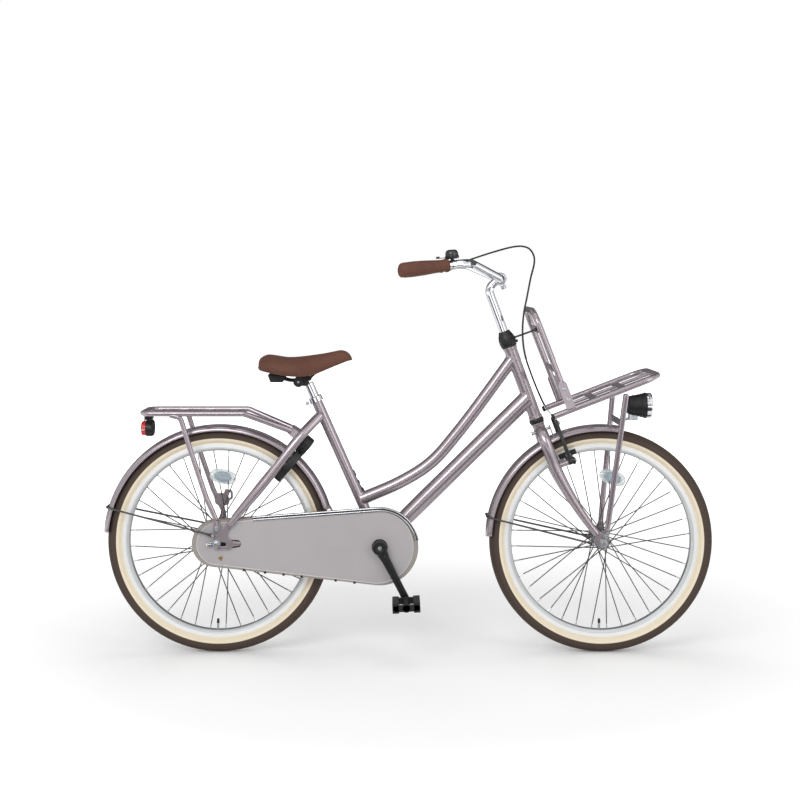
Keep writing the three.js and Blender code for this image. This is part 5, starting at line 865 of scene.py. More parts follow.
def spoke(hub, side, index):
    step = 720 / spoke_count
    leads = index % 2 == 0
    rim_angle = first_spoke + step * index + (step / 2 if side > 0 else 0)
    hub_angle = rim_angle - (1 if leads else -1) * step * crossings
    hole, face = hub["flange"] - 3.3, 2.9 if leads else -2.9
    head = around(hub["centre"], hole, hub_angle, side * (hub["offset"] - 0.6 * face))
    elbow = around(hub["centre"], hole, hub_angle, side * (hub["offset"] + face))
    tip = around(hub["centre"], rim_inner - 0.4, rim_angle, side * 1.4)
    run = unit(tip - elbow)
    wire = np.concatenate(([head], rounded([head, elbow, tip], 2.5, False, 2)[1:-1], [tip - 12 * run]))
    return (tube(wire, 1.5, np.cross(run, across) + 0.01 * upright, 6, 0.3),
            tube([tip - 12.5 * run, tip - 4 * run, tip + 2 * run], [1.5, 2.2, 2.2],
                 np.cross(run, across), 6, 0.4))


def hub_skins(hub):
    """The hub shell: a waisted barrel between two flanges, with its end caps."""
    off, flange, barrel, end = hub["offset"], hub["flange"], hub["barrel"], hub["end"]
    half = 1.6
    shell = two_sided([(5.7, -end), (barrel * 0.8, -end), (barrel, -end + 3), (barrel, -off - half),
        (flange, -off - half), (flange, -off + half), (barrel, -off + half + 1),
        (barrel * 0.86, -off + 12)])
    return [bush(shell, 0.9, hub["centre"], steps=96)]


def reflector_skins(hub):
    """An oval spoke reflector: a domed oval plate with a raised edge and two clip holes."""
    radial, tangent = compass(hub["reflector"])
    lean = math.radians(8.5)
    right, up = (math.cos(lean) * tangent + math.sin(lean) * radial,
                 math.cos(lean) * radial - math.sin(lean) * tangent)
    on = plane(around(hub["centre"], 171, hub["reflector"], -9), right, up, -across)
    oval = np.sign(circle(56)) * np.abs(circle(56)) ** 0.8 * (36, 19)
    edge = plate(oval, -3.4, 3.2, on, [circle(16) * 2 + (x, 0) for x in (-31, 31)], 0.9)
    dome = [plate(circle(48) * (24 - grow, 15 - grow), -0.5, 3.9 + grow * 0.25, on, edge=0.8)
            for grow in (0, 4)]
    return edge, dome


def dress_wheel(name, hub):
    body, centre = f"{name}_wheel", hub["centre"]
    build(f"{name}_tyre_casing", [(tyre_rubber(f"{name}_tyre_rubber", centre), [tyre_skin(centre)])],
          body, [f"{name}_tyre"], 50)
    alloy = rim_alloy(f"{name}_rim_alloy", centre)
    valve_run = around(centre, 1, -91) - centre
    foot = centre + valve_run * (rim_inner + 1)
    valve = rod(foot, foot - 23 * valve_run, 3.1, 20)
    cap = knob([(0.8, 0), (3.9, 0), (3.4, 9), (2.2, 12), (0.8, 12)], 0.7, foot - 17 * valve_run,
        -valve_run, 20)
    nut = knob([(1, 0), (4.6, 0), (4.6, 2.2), (1, 2.2)], 0.5, foot, -valve_run, 6)
    build(f"{name}_rim_hoop", [(alloy, [rim_skin(centre)]), (hub_steel, [valve, nut]),
                               (black_plastic, [cap])], body, [f"{name}_rim"])
    laced = [spoke(hub, side, index) for side in (-1, 1) for index in range(spoke_count // 2)]
    build(f"{name}_spokes", [(spoke_steel, [s[0] for s in laced]), (hub_steel, [s[1] for s in laced])], body)
    build(f"{name}_hub_shell", [(hub_steel, hub_skins(hub))], body, [f"{name}_hub"])
    edge, dome = reflector_skins(hub)
    build(f"{name}_spoke_reflector", [(pale_rim_glass, [edge]), (spoke_glass, dome)], body)


for wheel_name, wheel_hub in hubs.items():
    dress_wheel(wheel_name, wheel_hub)

# %% [markdown]
# ## Frame tubes with weld fillets
# Where a tube meets another, each line along the tube is cut where it meets the other cylinder, and a
# short curve carries it onto that cylinder's side, like the bead of a weld.

# %% Tubes that end on other tubes
def coped_rings(start, run, side, above, shape, onto, bead):
    """Rings of a weld. A line q + s run meets the cylinder (place c, axis a, radius R) at
    s = (-B - sqrt(B^2 - A C)) / A. The curve (1-t)^2 b0 + 2 t(1-t) p + t^2 b2 fills the corner."""
    place, axis, radius = onto
    lines = start + shape[:, :1] * side + shape[:, 1:] * above

    def flat(v):
        return v - (v @ axis)[..., None] * axis

    offset, step = flat(lines - place), flat(run)
    a, b, c = step @ step, offset @ step, np.sum(offset * offset, -1) - radius**2
    meet = lines + ((-b - np.sqrt(np.maximum(b * b - a * c, 0))) / a)[:, None] * run
    normal = unit(flat(meet - place))
    away = unit(shape[:, :1] * side + shape[:, 1:] * above)
    along = unit(away - np.sum(away * normal, -1, keepdims=True) * normal)
    t = np.linspace(0, 1, 6)[:, None, None]
    curve = (1 - t) ** 2 * (meet - bead * run) + 2 * t * (1 - t) * meet + t**2 * (meet + bead * along)
    return np.concatenate((curve, (meet + bead * along - normal)[None]))


def frame_tube(path, radii, up=across, first=None, last=None, bead=4.0, sides=40):
    """A tube along a path. radii is (sideways, upwards) for each place; first and last are the
    cylinders (place, axis, radius) that its ends are welded onto."""
    path = np.asarray(path, float)
    radii = np.broadcast_to(np.asarray(radii, float), (len(path), 2))
    side, above = frames(path, up)
    ring = circle(sides)[None] * radii[:, None]
    rows = path[:, None] + ring[..., :1] * side[:, None] + ring[..., 1:] * above[:, None]
    rings = [rows]
    if first:
        rings.insert(0, coped_rings(path[0], unit(path[0] - path[1]), side[0], above[0],
                                    ring[0], first, bead)[::-1])
    if last:
        rings.append(coped_rings(path[-1], unit(path[-1] - path[-2]), side[-1], above[-1],
                                 ring[-1], last, bead))
    return skin(np.concatenate(rings))


shell_radius, seat_radius, head_radius = 20, 14.3, 17
shell_tube = (bracket, across, shell_radius)
seat_cylinder = (bracket, seat_up, seat_radius)
head_cylinder = (head_bottom, steer_up, head_radius)

# %% Main triangle
down_top = head_top - 145 * steer_up
down_run = unit(down_top - bracket)
down_length = np.linalg.norm(down_top - bracket)
down_places = bracket + np.array((30, 60, 110, 180, down_length - 60))[:, None] * down_run
down_radii = [(26, 17.4), (24.6, 19.5), (22.8, 22), (22.5, 22.5), (22.5, 22.5)]
upper_top, upper_seat = head_top - 31 * steer_up, bracket + 128 * seat_up
fall = upper_seat - upper_top
neck = [upper_top + fall * (span, 1, drop)
        for span, drop in ((0.355, 0.515), (0.54, 0.74), (0.735, 0.875))]
upper_path = spline([upper_top, *neck, upper_seat], 90)
upper_inner = upper_path[9:-7]
build("bottom_bracket", [(paint, [bush([(9, -34), (20, -34), (20, 34), (9, 34)], 1.4, bracket)]),
    (dark_steel, [bush([(9, y), (15.5, y), (15.5, y + 3), (9, y + 3)], 0.6, bracket)
    for y in (-36, 33)])], "frame", ["bottom_bracket_shell"])
build_painted("head_tube", [bush([(13.4, 0), (18.6, 0), (18.6, 7), (head_radius, 9), (head_radius, 196.6),
    (18.6, 198.6), (18.6, head_length), (13.4, head_length)], 1.2, head_bottom, steer_up)])
build_painted("seat_tube",
    [frame_tube([bracket + 30 * seat_up, bracket + 60 * seat_up, seat_top - 12 * seat_up, seat_top - 0.6
    * seat_up, seat_top], [(14.3, 14.3)] * 4 + [(13.4, 13.4)], first=shell_tube)])
build_painted("down_tube", [frame_tube(down_places, down_radii, upright, shell_tube, head_cylinder, 5)])
build_painted("upper_tube", [frame_tube(upper_inner, (17, 17), across, head_cylinder, seat_cylinder, 4.5)])

# %% [markdown]
# ## Stays and dropouts
# The chain stays leave the shell side by side, spread round the tyre and flatten into the dropouts. The
# seat stays bow out round the wheel and lie against the seat tube. Plates are outlines with a filed
# edge, and the axle slot is a hole in the outline.

# %% Stays, bridges and dropouts
dropout_inner, dropout_outer, fork_dropout = 66, 71, (50, 55)
high_bridge_x, high_bridge_z, low_bridge_x, bridge_radius = 218, 579, 334.5, 7
rear_dropout = rounded([
    (-13, 0), (-10, 9), (1, 17), (3, 24), (-8, 34), (-10, 42), (-7, 50), (1, 53), (9, 50), (13, 43),
    (18, 40), (24, 50), (31, 55), (38, 51), (38, 43), (27, 24), (34, 12.5), (42, 9), (46, 0),
    (42, -10.5), (34, -14.5), (-5, -14)], 5)
on_rear = plane(rear_axle)


def mirrored(points, side):
    """The same places on the right (side -1) or on the left (side 1)."""
    return np.asarray(points, float) * (1, side, 1)


def slab(outline, side, low, high, on, holes=(), edge=0.6):
    """A plate between two distances from the middle plane, on the right or on the left."""
    return plate(outline, min(side * low, side * high), max(side * low, side * high), on, holes, edge)


def chain_stay_skins(side):

    def drop(x):
        return tyre_radius - 8.5 * x / 432

    middle = spline(mirrored([(422, 23, bracket[2]), (300, 37.5, drop(300)), (112, 46.75, drop(112)),
                              (52, 56, drop(52)), (34, 63.6, drop(34))], side), 70)
    share = np.linspace(0, 1, 70)
    pinch = np.clip((share - 0.86) / 0.14, 0, 1) ** 1.4
    radius = 10 - 2.5 * share
    radii = np.stack((radius * (1 - 0.72 * pinch), radius * (1 + 0.25 * pinch)), -1)
    radii[-1] *= (0.5, 0.85)
    keep = slice(int(np.argmax(middle[:, 0] < 405)), None)
    stay = frame_tube(middle[keep], radii[keep], upright, shell_tube, bead=2, sides=28)
    foot = slab(rear_dropout, side, dropout_inner, dropout_outer, on_rear,
                [strap((0, 0), 5.3, (20, 0), 5.29, 8)], 0.8)
    return [stay, foot]


def seat_stay_skins(side):
    end = seat_top - 42 * seat_up
    middle = spline(mirrored([(33, 75, 351), (130, 66, 467), (high_bridge_x, 50, high_bridge_z),
        (end[0], 15, end[2])], side), 60)
    radius = 8 + 4 * np.clip(np.linspace(0, 1, 60) / 0.3, 0, 1)
    pad = rod(mirrored((33, dropout_outer + 0.3, 351), side), mirrored((33, 75, 351), side), 8, 28, 0.8)
    return [tube(middle, radius, upright, 28, 7), pad]


low_bridge = rod((low_bridge_x, -35, bracket[2]), (low_bridge_x, 35, bracket[2]), bridge_radius, 28)
high_bridge = rod((high_bridge_x, -44, high_bridge_z), (high_bridge_x, 44, high_bridge_z), bridge_radius,
    28)
build_painted("left_chain_stay", chain_stay_skins(1))
build_painted("right_chain_stay", chain_stay_skins(-1) + [low_bridge])
build_painted("left_seat_stay", seat_stay_skins(1))
build_painted("right_seat_stay", seat_stay_skins(-1) + [high_bridge])

# %% [markdown]
# ## Axle ends
# Each end of an axle carries a cone, a washer and a domed nut on a thread of small turned teeth. A chain
# tensioner hooks round the dropout, and the hub's brake arm runs along the left chain stay.

# %% Nuts, threads and tensioners
def thread(start, run, length, radius, pitch=1.0):
    """A screw thread as a turned profile: the radius swings between root and crest once a pitch."""
    count = int(length / pitch)
    rise = np.arange(2 * count + 1) * pitch / 2
    radii = radius - 0.32 * (np.arange(2 * count + 1) % 2 == 0)
    ends = [(0.01, 0), *zip(radii, rise), (0.01, rise[-1])]
    return turned(ends, start, run, 28)


def hexagon(radius):
    return radius * heading(np.radians(np.arange(6) * 60))


def cross_plane(start, run):
    """The plane square to a run through a place."""
    run = unit(run)
    right = unit(np.cross(upright if abs(run[2]) < 0.9 else ahead, run))
    return plane(start, right, np.cross(run, right), run)


def hex_head(start, run, height, radius, edge=0.7):
    """A hexagon head with softened corners, standing on start along run."""
    return plate(rounded(hexagon(radius), radius * 0.12), 0, height, cross_plane(start, run), edge=edge)


def washer(start, run, height, radius, bore=0.01):
    return bush([(bore, 0), (radius, 0), (radius, height), (bore, height)], min(0.5, height * 0.3), start,
        run, 40)


def screw(start, run, radius=5, height=4):
    """A round screw head with a hexagon socket."""
    run = unit(np.asarray(run, float))
    cap = plate(circle(32) * radius * 0.98, height * 0.3, height, cross_plane(start, run),
        [hexagon(radius * 0.45)], 0.8)
    return [washer(start, run, height * 0.5, radius), cap]


def leg_screw(place, side, wide, height):
    """A washer and a screw on the outside of a leg's foot."""
    out = side * across
    return [washer(place, out, 1.2, wide)] + screw(place + side * 1.2 * across, out, 5.6, height)


def axle_end_skins(side, centre, inner, outer, cone_start):
    out = side * across
    nut_start = outer + 6.4

    def spot(y):
        return centre + y * out

    return [thread(spot(inner - 8), out, nut_start + 11.9 - inner + 8, 5),
        bush([(5, cone_start), (7.4, cone_start), (8, inner - 4), (8, inner - 0.3), (5, inner - 0.3)],
        0.6, centre, out, 36), washer(spot(outer + 0.3), out, 2.6, 11.5, 5.2),
        washer(spot(nut_start - 2.2), out, 2.2, 10.4, 5.2), hex_head(spot(nut_start), out, 7, 9),
        knob([(0.01, 7), (7.4, 7), (6.6, 8.6), (0.01, 8.6)], 0.6, spot(nut_start), out, 36)]


def tensioner_skins(side):
    hook_end = -13 - 0.3 - 5
    outline = rounded([(8, 3), (4, 8), (-5, 8), (hook_end - 3, 5), (hook_end - 5, 0), (hook_end - 3, -5),
                       (-5, -8), (4, -8), (8, -3)], 3)
    hook = box((hook_end - 5, -2.5, side * 66), (-13.3, 2.5, side * 72.3), on_rear, 1.2)
    draw_screw = thread(rear_axle + at(-13, side * 73.6, 0), at(-1, 0, 0), 14, 2.2, 0.8)
    draw_nut = hex_head(rear_axle + at(-23.6, side * 73.6, 0), at(-1, 0, 0), 3.4, 4)
    return [slab(outline, side, 71.4, 73.3, on_rear, [circle(28) * 5.4], 0.4), hook, draw_screw, draw_nut]


reaction_arm = plate(strap((0, 0), 12.6, (150, -40), 7, 12), 38, 41, on_rear,
                     [circle(28) * 5.3, circle(16) * 3 + (148, -39.5)], 0.5)
arm_cone = turned([(5.2, 41), (8, 41), (8, 54), (5.2, 54)], rear_axle, across, 36, ring=True)
build("rear_axle_ends",
    [(hub_steel, both(lambda side: axle_end_skins(side, rear_axle, dropout_inner, dropout_outer, 53))),
    (chrome, both(tensioner_skins) + [reaction_arm, arm_cone])], "frame", ["rear_axle"])
build("front_axle_ends",
    [(hub_steel, both(lambda side: axle_end_skins(side, front_axle, *fork_dropout, 38.6)))], "steering",
    ["front_axle"])

# %% [markdown]
# ## Fenders
# A fender is one rolled section carried along an arc over the wheel: a flat crown, rounded shoulders
# and skirts whose lower edge is rolled in. It narrows over the last few degrees, so its ends are round.

# %% Fender arcs and their brackets
fender_radius, skirt_drop, fender_wall = 311, 15, 1.6


def fender_skin(centre, low, high):
    """place = centre + (R + drop) (cos a, 0, sin a) + y. Near both ends y follows a quarter
    ellipse, sqrt(1 - (1 - s)^2), where s is the share of the rounding that is passed."""
    half = [(0, 0), (9, -0.4), (18, -1.9), (24, -4.3), (28, -8.4), (29.4, -11.6), (30, -skirt_drop)]
    outer = spline([(-wide, drop) for wide, drop in half[:0:-1]] + half, 36)
    run = unit(np.gradient(outer, axis=0))
    inner = outer + fender_wall * np.stack((run[:, 1], -run[:, 0]), -1)
    roll = np.array([(27.4, -15.4), (28.3, -16.6), (29.6, -16.4)])
    section = np.concatenate((outer, roll[::-1], inner[::-1], roll * (-1, 1)))
    angles = np.radians(np.linspace(low, high, 150))
    end = 9 / fender_radius
    share = np.clip(np.minimum(angles - angles[0], angles[-1] - angles) / end, 0, 1)
    narrow = 0.66 + 0.34 * np.sqrt(1 - (1 - share) ** 2)
    radius = fender_radius + np.broadcast_to(section[None, :, 1], (len(angles), len(section)))
    wide = section[None, :, 0] * narrow[:, None]
    ca, sa = np.cos(angles)[:, None], np.sin(angles)[:, None]
    return skin(np.stack((centre[0] + radius * ca, wide, centre[2] + radius * sa), -1))


bridge_rise = high_bridge_z - tyre_radius
bridge_turn = math.degrees(math.atan2(bridge_rise, high_bridge_x))
low_end = around(rear_axle, fender_radius - fender_wall, 17)
strap_x, strap_z = low_bridge_x - 7.3 - 2.5, low_end[2] * 0.2 + bracket[2] * 0.8
rear_brackets = [box((strap_x, bracket[2] - 7, -9), (strap_x + 2.5, strap_z, 9), corner=0.9, edge=0.8),
    tube(rounded([(strap_x + 1.25, 0, strap_z - 3), (strap_x + 1.25, 0, strap_z + 6),
    (low_end[0] + 1.6, 0, low_end[2])], 6, False), 2.6, across, 16),
    rod(around(rear_axle, 309.4, bridge_turn), around(rear_axle, math.hypot(bridge_rise, high_bridge_x)
    - 7.3, bridge_turn), 5, 20)]
build("rear_fender_sheet", [(paint, [fender_skin(rear_axle, 16, 176)] + rear_brackets)], "frame",
      ["rear_fender"])
steering_plane = plane(head_bottom, across, steer_up, np.cross(across, steer_up))
tab = plate(block(-8, -60, 8, -28, 4), 26.5, 29, steering_plane, edge=0.6)
build("front_fender_sheet", [(paint, [fender_skin(front_axle, 79, 178), tab])], "steering",
      ["front_fender"])


# %% Wire stays
def wire_stay_skins(centre, degrees, eye, eye_y, span):
    """One wire from an eye over the fender to the other eye, with flattened ends under screws."""
    step = (span[1] - span[0]) / round((span[1] - span[0]) / 10)
    middle = span[0] + step * (math.floor((degrees - span[0]) / step) + 0.5)
    facet = fender_radius * math.cos(math.radians(step / 2)) / math.cos(math.radians(degrees - middle))
    top, wire_y = around(centre, facet + 2.9, degrees), 32.9
    shoulder = around(centre, fender_radius - skirt_drop * 0.4, degrees, wire_y)
    end = at(centre[0] + eye[0], eye_y, centre[2] + eye[1])
    half = [end, shoulder, at(top[0], wire_y, top[2])]
    bow = rounded(half + [p * (1, -1, 1) for p in half[::-1]], 7, False, 5)
    skins = [tube(bow, 2.5, at(0.02, 0, 1), 14, 0.4)]
    run = unit(shoulder - end)
    for side in (-1, 1):
        place, out = end * (1, side, 1), side * across
        flat = plane(place, unit(run * (1, 0, 1)), np.cross(out, unit(run * (1, 0, 1))) * -1, across)
        skins.append(plate(strap((0, 0), 6.2, (14, 0), 2.6, 8), -1.1, 1.1, flat, [circle(20) * 2.6], 0.4))
    return skins


def stay_screws(centre, eye, eye_y, reach):
    return both(lambda side: screw(at(centre[0] + eye[0], side * (eye_y + 1.1), centre[2] + eye[1]),
        side * across, 4.4, 3.4)) + [rod(at(centre[0] + eye[0], side * reach, centre[2] + eye[1]),
        at(centre[0] + eye[0], side * (eye_y + 1), centre[2] + eye[1]), 2.4) for side in (-1, 1)]


build("rear_wire_stay", [
    (spoke_steel, wire_stay_skins(rear_axle, 163, (-9, 24), 76.5, (16, 176))),
    (hub_steel, stay_screws(rear_axle, (-9, 24), 76.5, 71.5))], "frame", ["rear_fender_stay"])
build("front_wire_stay", [
    (spoke_steel, wire_stay_skins(front_axle, 168, (-27, -1), 60.5, (79, 178))),
    (hub_steel, stay_screws(front_axle, (-27, -1), 60.5, 55.5))], "steering", ["front_fender_stay"])

# %% [markdown]
# ## Rear load carrier
# The carrier's rail is one bar bent round four corners, which comes down at the front onto two foot
# plates. Flat slats lie between the rails. The legs' lower ends are pressed flat for their screws.

# %% Rear carrier, legs and hook
deck_z, deck_half, rail_back = 646, 70, -198.5
half_rail = np.array([(196, 38, 597), (72, deck_half, deck_z), (rail_back, deck_half, deck_z)])
rail_path = rounded(np.concatenate((half_rail, mirrored(half_rail[::-1], -1))), 26, False, 7)
rear_slats = [box((middle - 33, deck_z - 1.5, -deck_half), (middle - 11, deck_z + 1.5, deck_half),
    edge=0.9) for middle in (-206 + 278 * (np.arange(4) + 0.8) / 4).tolist()]
lamp_hanger = box((rail_back, 624, -34), (rail_back + 3, deck_z, 34), edge=0.8)
foot_plate = strap((195, 596), 10.5, (high_bridge_x, high_bridge_z), 12.4, 12)
feet = [slab(foot_plate, side, 35, 38, side_on, edge=0.8) for side in (-1, 1)]
foot_screws = both(lambda side: screw(at(197, side * 38, 596), side * across, 5, 4.4))
build("rear_carrier", [(paint, [tube(rail_path, 7.5, at(0.03, 0, 1), 24, 2)] + rear_slats + feet
    + [lamp_hanger]), (hub_steel, foot_screws)], "frame", ["rear_rack"])


rack_foot_z = tyre_radius + 42


def rack_leg_skins(side):
    foot_y, radius = 72.8, 7
    top_z = deck_z - 7.5 - 0.3 - radius
    end = at(1, foot_y + radius - 1.5, rack_foot_z + 22)
    path = rounded([(-124, deck_half, top_z + 11), (-96, deck_half, top_z + 5), (-66, deck_half, 540),
        (-27, 74.2, 425), end], 18, False, 6)
    path = mirrored(evenly(path, 64), side)
    leg = tube(path, radius - 1.0 * np.clip(np.linspace(-9, 1, 64), 0, 1), upright, 24, 3)
    squash = strap((1, 42), 8.8, (1, 64), 7, 10)
    foot = slab(squash, side, 71.3, 74.3, on_rear, edge=0.8)
    neck = tube(mirrored([(1, 75.5, 364.5), (1, 73.4, 355), (1, 72.8, 347)], side), [6, 4.2, 2.2], ahead,
        20, 1)
    return [leg, foot, neck]


hook_plate = plate(rounded([(-26, 414), (-20, 386), (-4, 378), (16, 384), (20, 398), (12, 412), (15, 424),
    (8, 428), (2, 415), (-12, 416)], 3), 68.5, 71.5, edge=0.7)
hook = tube(rounded([(10, 71.5, 420), (24, 71.5, 423), (25, 71.5, 402), (17, 71.5, 398)], 7, False, 5),
    3.4, across, 16)
build("rear_carrier_right_leg", [(paint, rack_leg_skins(-1)),
    (hub_steel, leg_screw(at(1, -74.3, rack_foot_z), -1, 7.2, 4.6))], "frame", ["rear_rack_right_leg"])
build("rear_carrier_left_leg", [(paint, rack_leg_skins(1) + [hook_plate, hook]),
    (hub_steel, leg_screw(at(1, 74.3, rack_foot_z), 1, 7.2, 4.6))], "frame", ["rear_rack_left_leg"])

# %% [markdown]
# ## Rear lamp
# The lamp is a pill-shaped moulding under the end of the carrier, with a slightly domed red glass and
# a pale reflector stripe across it.

# %% Rear lamp
rear_lamp_x, rear_lamp_z, red_step = -196, 601, 0.3
facing_back = plane((rear_lamp_x, 0, rear_lamp_z), across, upright, at(-1, 0, 0))


def pill(grow):
    return strap((-9, 0), 21 + grow, (9, 0), 21 + grow - 0.01, 18)


lamp_shell = plate(pill(0), -18, 0, facing_back, edge=2.4)
lamp_neck = box((-195.2, rear_lamp_z, -17), (-182, 638, 17), corner=2, edge=1.2)
build("rear_lamp_housing", [
    (black_plastic, [lamp_shell, lamp_neck]),
    (hub_steel, screw(at(-182, 0, 628), ahead, 5, 3) + [rod((-180, -9, 628), (-180, 9, 628), 1.8)])],
    "frame", ["rear_light"])
glass_rows = [(pill(-2 - inset)[:, :1] * across + pill(-2 - inset)[:, 1:] * upright)
    + at(rear_lamp_x - red_step - out, 0, rear_lamp_z) for out, inset in ((0, 0), (8, 0), (10.4, 0.7),
    (11.8, 2.4), (12.5, 6), (12.9, 12), (13, 17))]
build("rear_lamp_glass", [(red_lens, [skin(glass_rows)]),
    (pale_rim_glass, [plate(block(-28.7, -4.4, 28.7, 0.4, 2), 1.0, 13.6, facing_back, edge=0.5)])],
    "frame", ["rear_light_lens"])

# %% [markdown]
# ## Ring lock
# The lock's body is a horseshoe round the tyre, with a boxy head that holds the cylinder. The shackle
# is a curved steel bar that slides round inside it, with a finger tab at its end.

# %% Ring lock
lock_out, _ = compass(49)
lock_normal = np.cross(across, lock_out)
lock_centre = rear_axle + 276 * lock_out + 7.2 * lock_normal
lock_plane = plane(lock_centre, across, lock_out, lock_normal)


def arc_band(inner, outer, low, high):
    angle = np.radians(np.linspace(low, high, 40))
    spokes = np.stack((np.sin(angle), -np.cos(angle)), -1)
    return np.concatenate((outer * spokes, inner * spokes[::-1]))


def lock_band(inner, outer, low, high, half, edge=1.0, ends=2.0):
    return plate(rounded(arc_band(inner, outer, low, high), ends, steps=2), -half, half, lock_plane,
        edge=edge)


crown = rounded([(-36, 43), (36, 43), (36, 78), (25, 91), (-25, 91), (-36, 78)], 6)
crown_cap = rounded([(-30, 50), (30, 50), (30, 74), (21, 85), (-21, 85), (-30, 74)], 6)
build("ring_lock_body",
    [(black_plastic, [plate(rounded(arc_band(51.5, 62, 37, 323), 2, steps=2), -8.9, 11.5, lock_plane,
    edge=2.6), lock_band(45, 50, 42, 318, 8.9, 1.2), plate(crown, -12, 12, lock_plane, edge=2.2),
    plate(crown_cap, 11, 12.9, lock_plane, edge=0.8), plate(crown_cap, -12.9, -11, lock_plane,
    edge=0.8)]),
    (hub_steel, [plate(circle(36) * 8 + (0, 68), 12, 14, lock_plane,
    [np.array([(-1, 63.5), (1, 63.5), (1, 72.5), (-1, 72.5)])], 0.5)])], "frame", ["lock_housing"])
build("ring_lock_shackle", [
    (chrome, [lock_band(50.6, 57.9, -150, -44, 3.9, 1.6, 2)]),
    (black_plastic, [lock_band(57, 72, -149, -140, 3.9, 1.2, 2.5)])], "lock_bolt", ["lock_bolt"])

# %% [markdown]
# ## Fork
# The fork is one curve from the left tip up through the crown and down to the right tip, raked forwards
# by the named amount. Plates with the open axle slot end it, and small bosses carry the brake arms.

# %% Fork blades, crown and dropouts
def smooth_share(value, low, high):
    share = np.clip((value - low) / (high - low), 0, 1)
    return share * share * (3 - 2 * share)


blade_rake, blade_fall = (0, 0.01, 0.19, 0.57, 0.87), (0.17, 0.36, 0.56, 0.8, 0.93)
blade = np.array([at_steering(fork_rake * rake, 48.5 + number, -fork_length * drop) for number,
    (rake, drop) in enumerate(zip(blade_rake, blade_fall))])
crown_left, crown_right = (at_steering(0, side * 34, -40) for side in (1, -1))
fork_path = spline([*blade[::-1], crown_left, at_steering(0, 0, -36), crown_right,
                    *blade * (1, -1, 1)], 220)
fork_share = np.linspace(0, 1, 220)
near_crown = 1 - np.abs(2 * fork_share - 1)
fork_radius_along = 10 + 6 * smooth_share(near_crown, 0, 0.75)
front_dropout = rounded([
    (-32, -1), (-30, 4), (-25, 7), (-22, 14), (-25, 22), (-21, 30), (-14, 33), (-6, 29), (3, 28),
    (11, 27), (16.5, 20), (16, 13), (13, 6), (13, -4), (10, -12), (5.3, -12), (5.3, 1), (3.4, 4.4),
    (0, 5.5), (-3.4, 4.4), (-5.3, 1), (-5.3, -12), (-10, -12), (-17, -7), (-29, -6)], 2.2)
on_front = plane(front_axle)
crown_race = bush([(11.5, -30), (16, -30), (16.4, -18), (18.6, -14), (18.6, -12.2), (11.5, -12.2)], 1,
    head_bottom, steer_up)
steerer = [rod(at_steering(0, 0, -30), at_steering(0, 0, 206), 12.7, 36, 1),
           turned([(11.4, 205), (12.7, 205), (12.7, 231), (11.4, 231)], head_bottom, steer_up, 48, ring=True)]
brake_y, brake_drop, boss_end, arm_front, arm_thick = 42, 134.7, 38, 40, 10
bosses = [rod(at_steering(0, side * brake_y, -brake_drop), at_steering(boss_end, side * brake_y, -brake_drop),
              7, 28) for side in (-1, 1)]
boss_pins = [rod(at_steering(boss_end - 1, side * brake_y, -brake_drop),
                 at_steering(arm_front + arm_thick + 2, side * brake_y, -brake_drop), 4) for side in (-1, 1)]
crown_bolt = ([rod(at_steering(-22, 0, -36), at_steering(25, 0, -36), 4, 20)]
              + screw(at_steering(-24.5, 0, -36) + 3 * steer_front, -steer_front, 5.2, 4)
              + [hex_head(at_steering(22, 0, -36), steer_front, 4.2, 5)])
pivot_heads = both(lambda side: screw(at_steering(arm_front + arm_thick + 8, side * brake_y, -brake_drop),
    steer_front, 5.4, 3.6))
build("fork_blades", [(paint, [tube(fork_path, fork_radius_along, ahead, 36, 6)]
    + [slab(front_dropout, side, *fork_dropout, on_front, edge=0.8) for side in (-1, 1)] + bosses
    + [crown_race]), (hub_steel, steerer + crown_bolt + boss_pins + pivot_heads)], "steering", ["fork"])


# %% [markdown]
# ## Brake arms
# Each arm is a forged lever that swings on its boss. It carries the brake shoe, whose rubber follows
# the rim's curve, and the clamp for the wire or for the bent guide pipe.

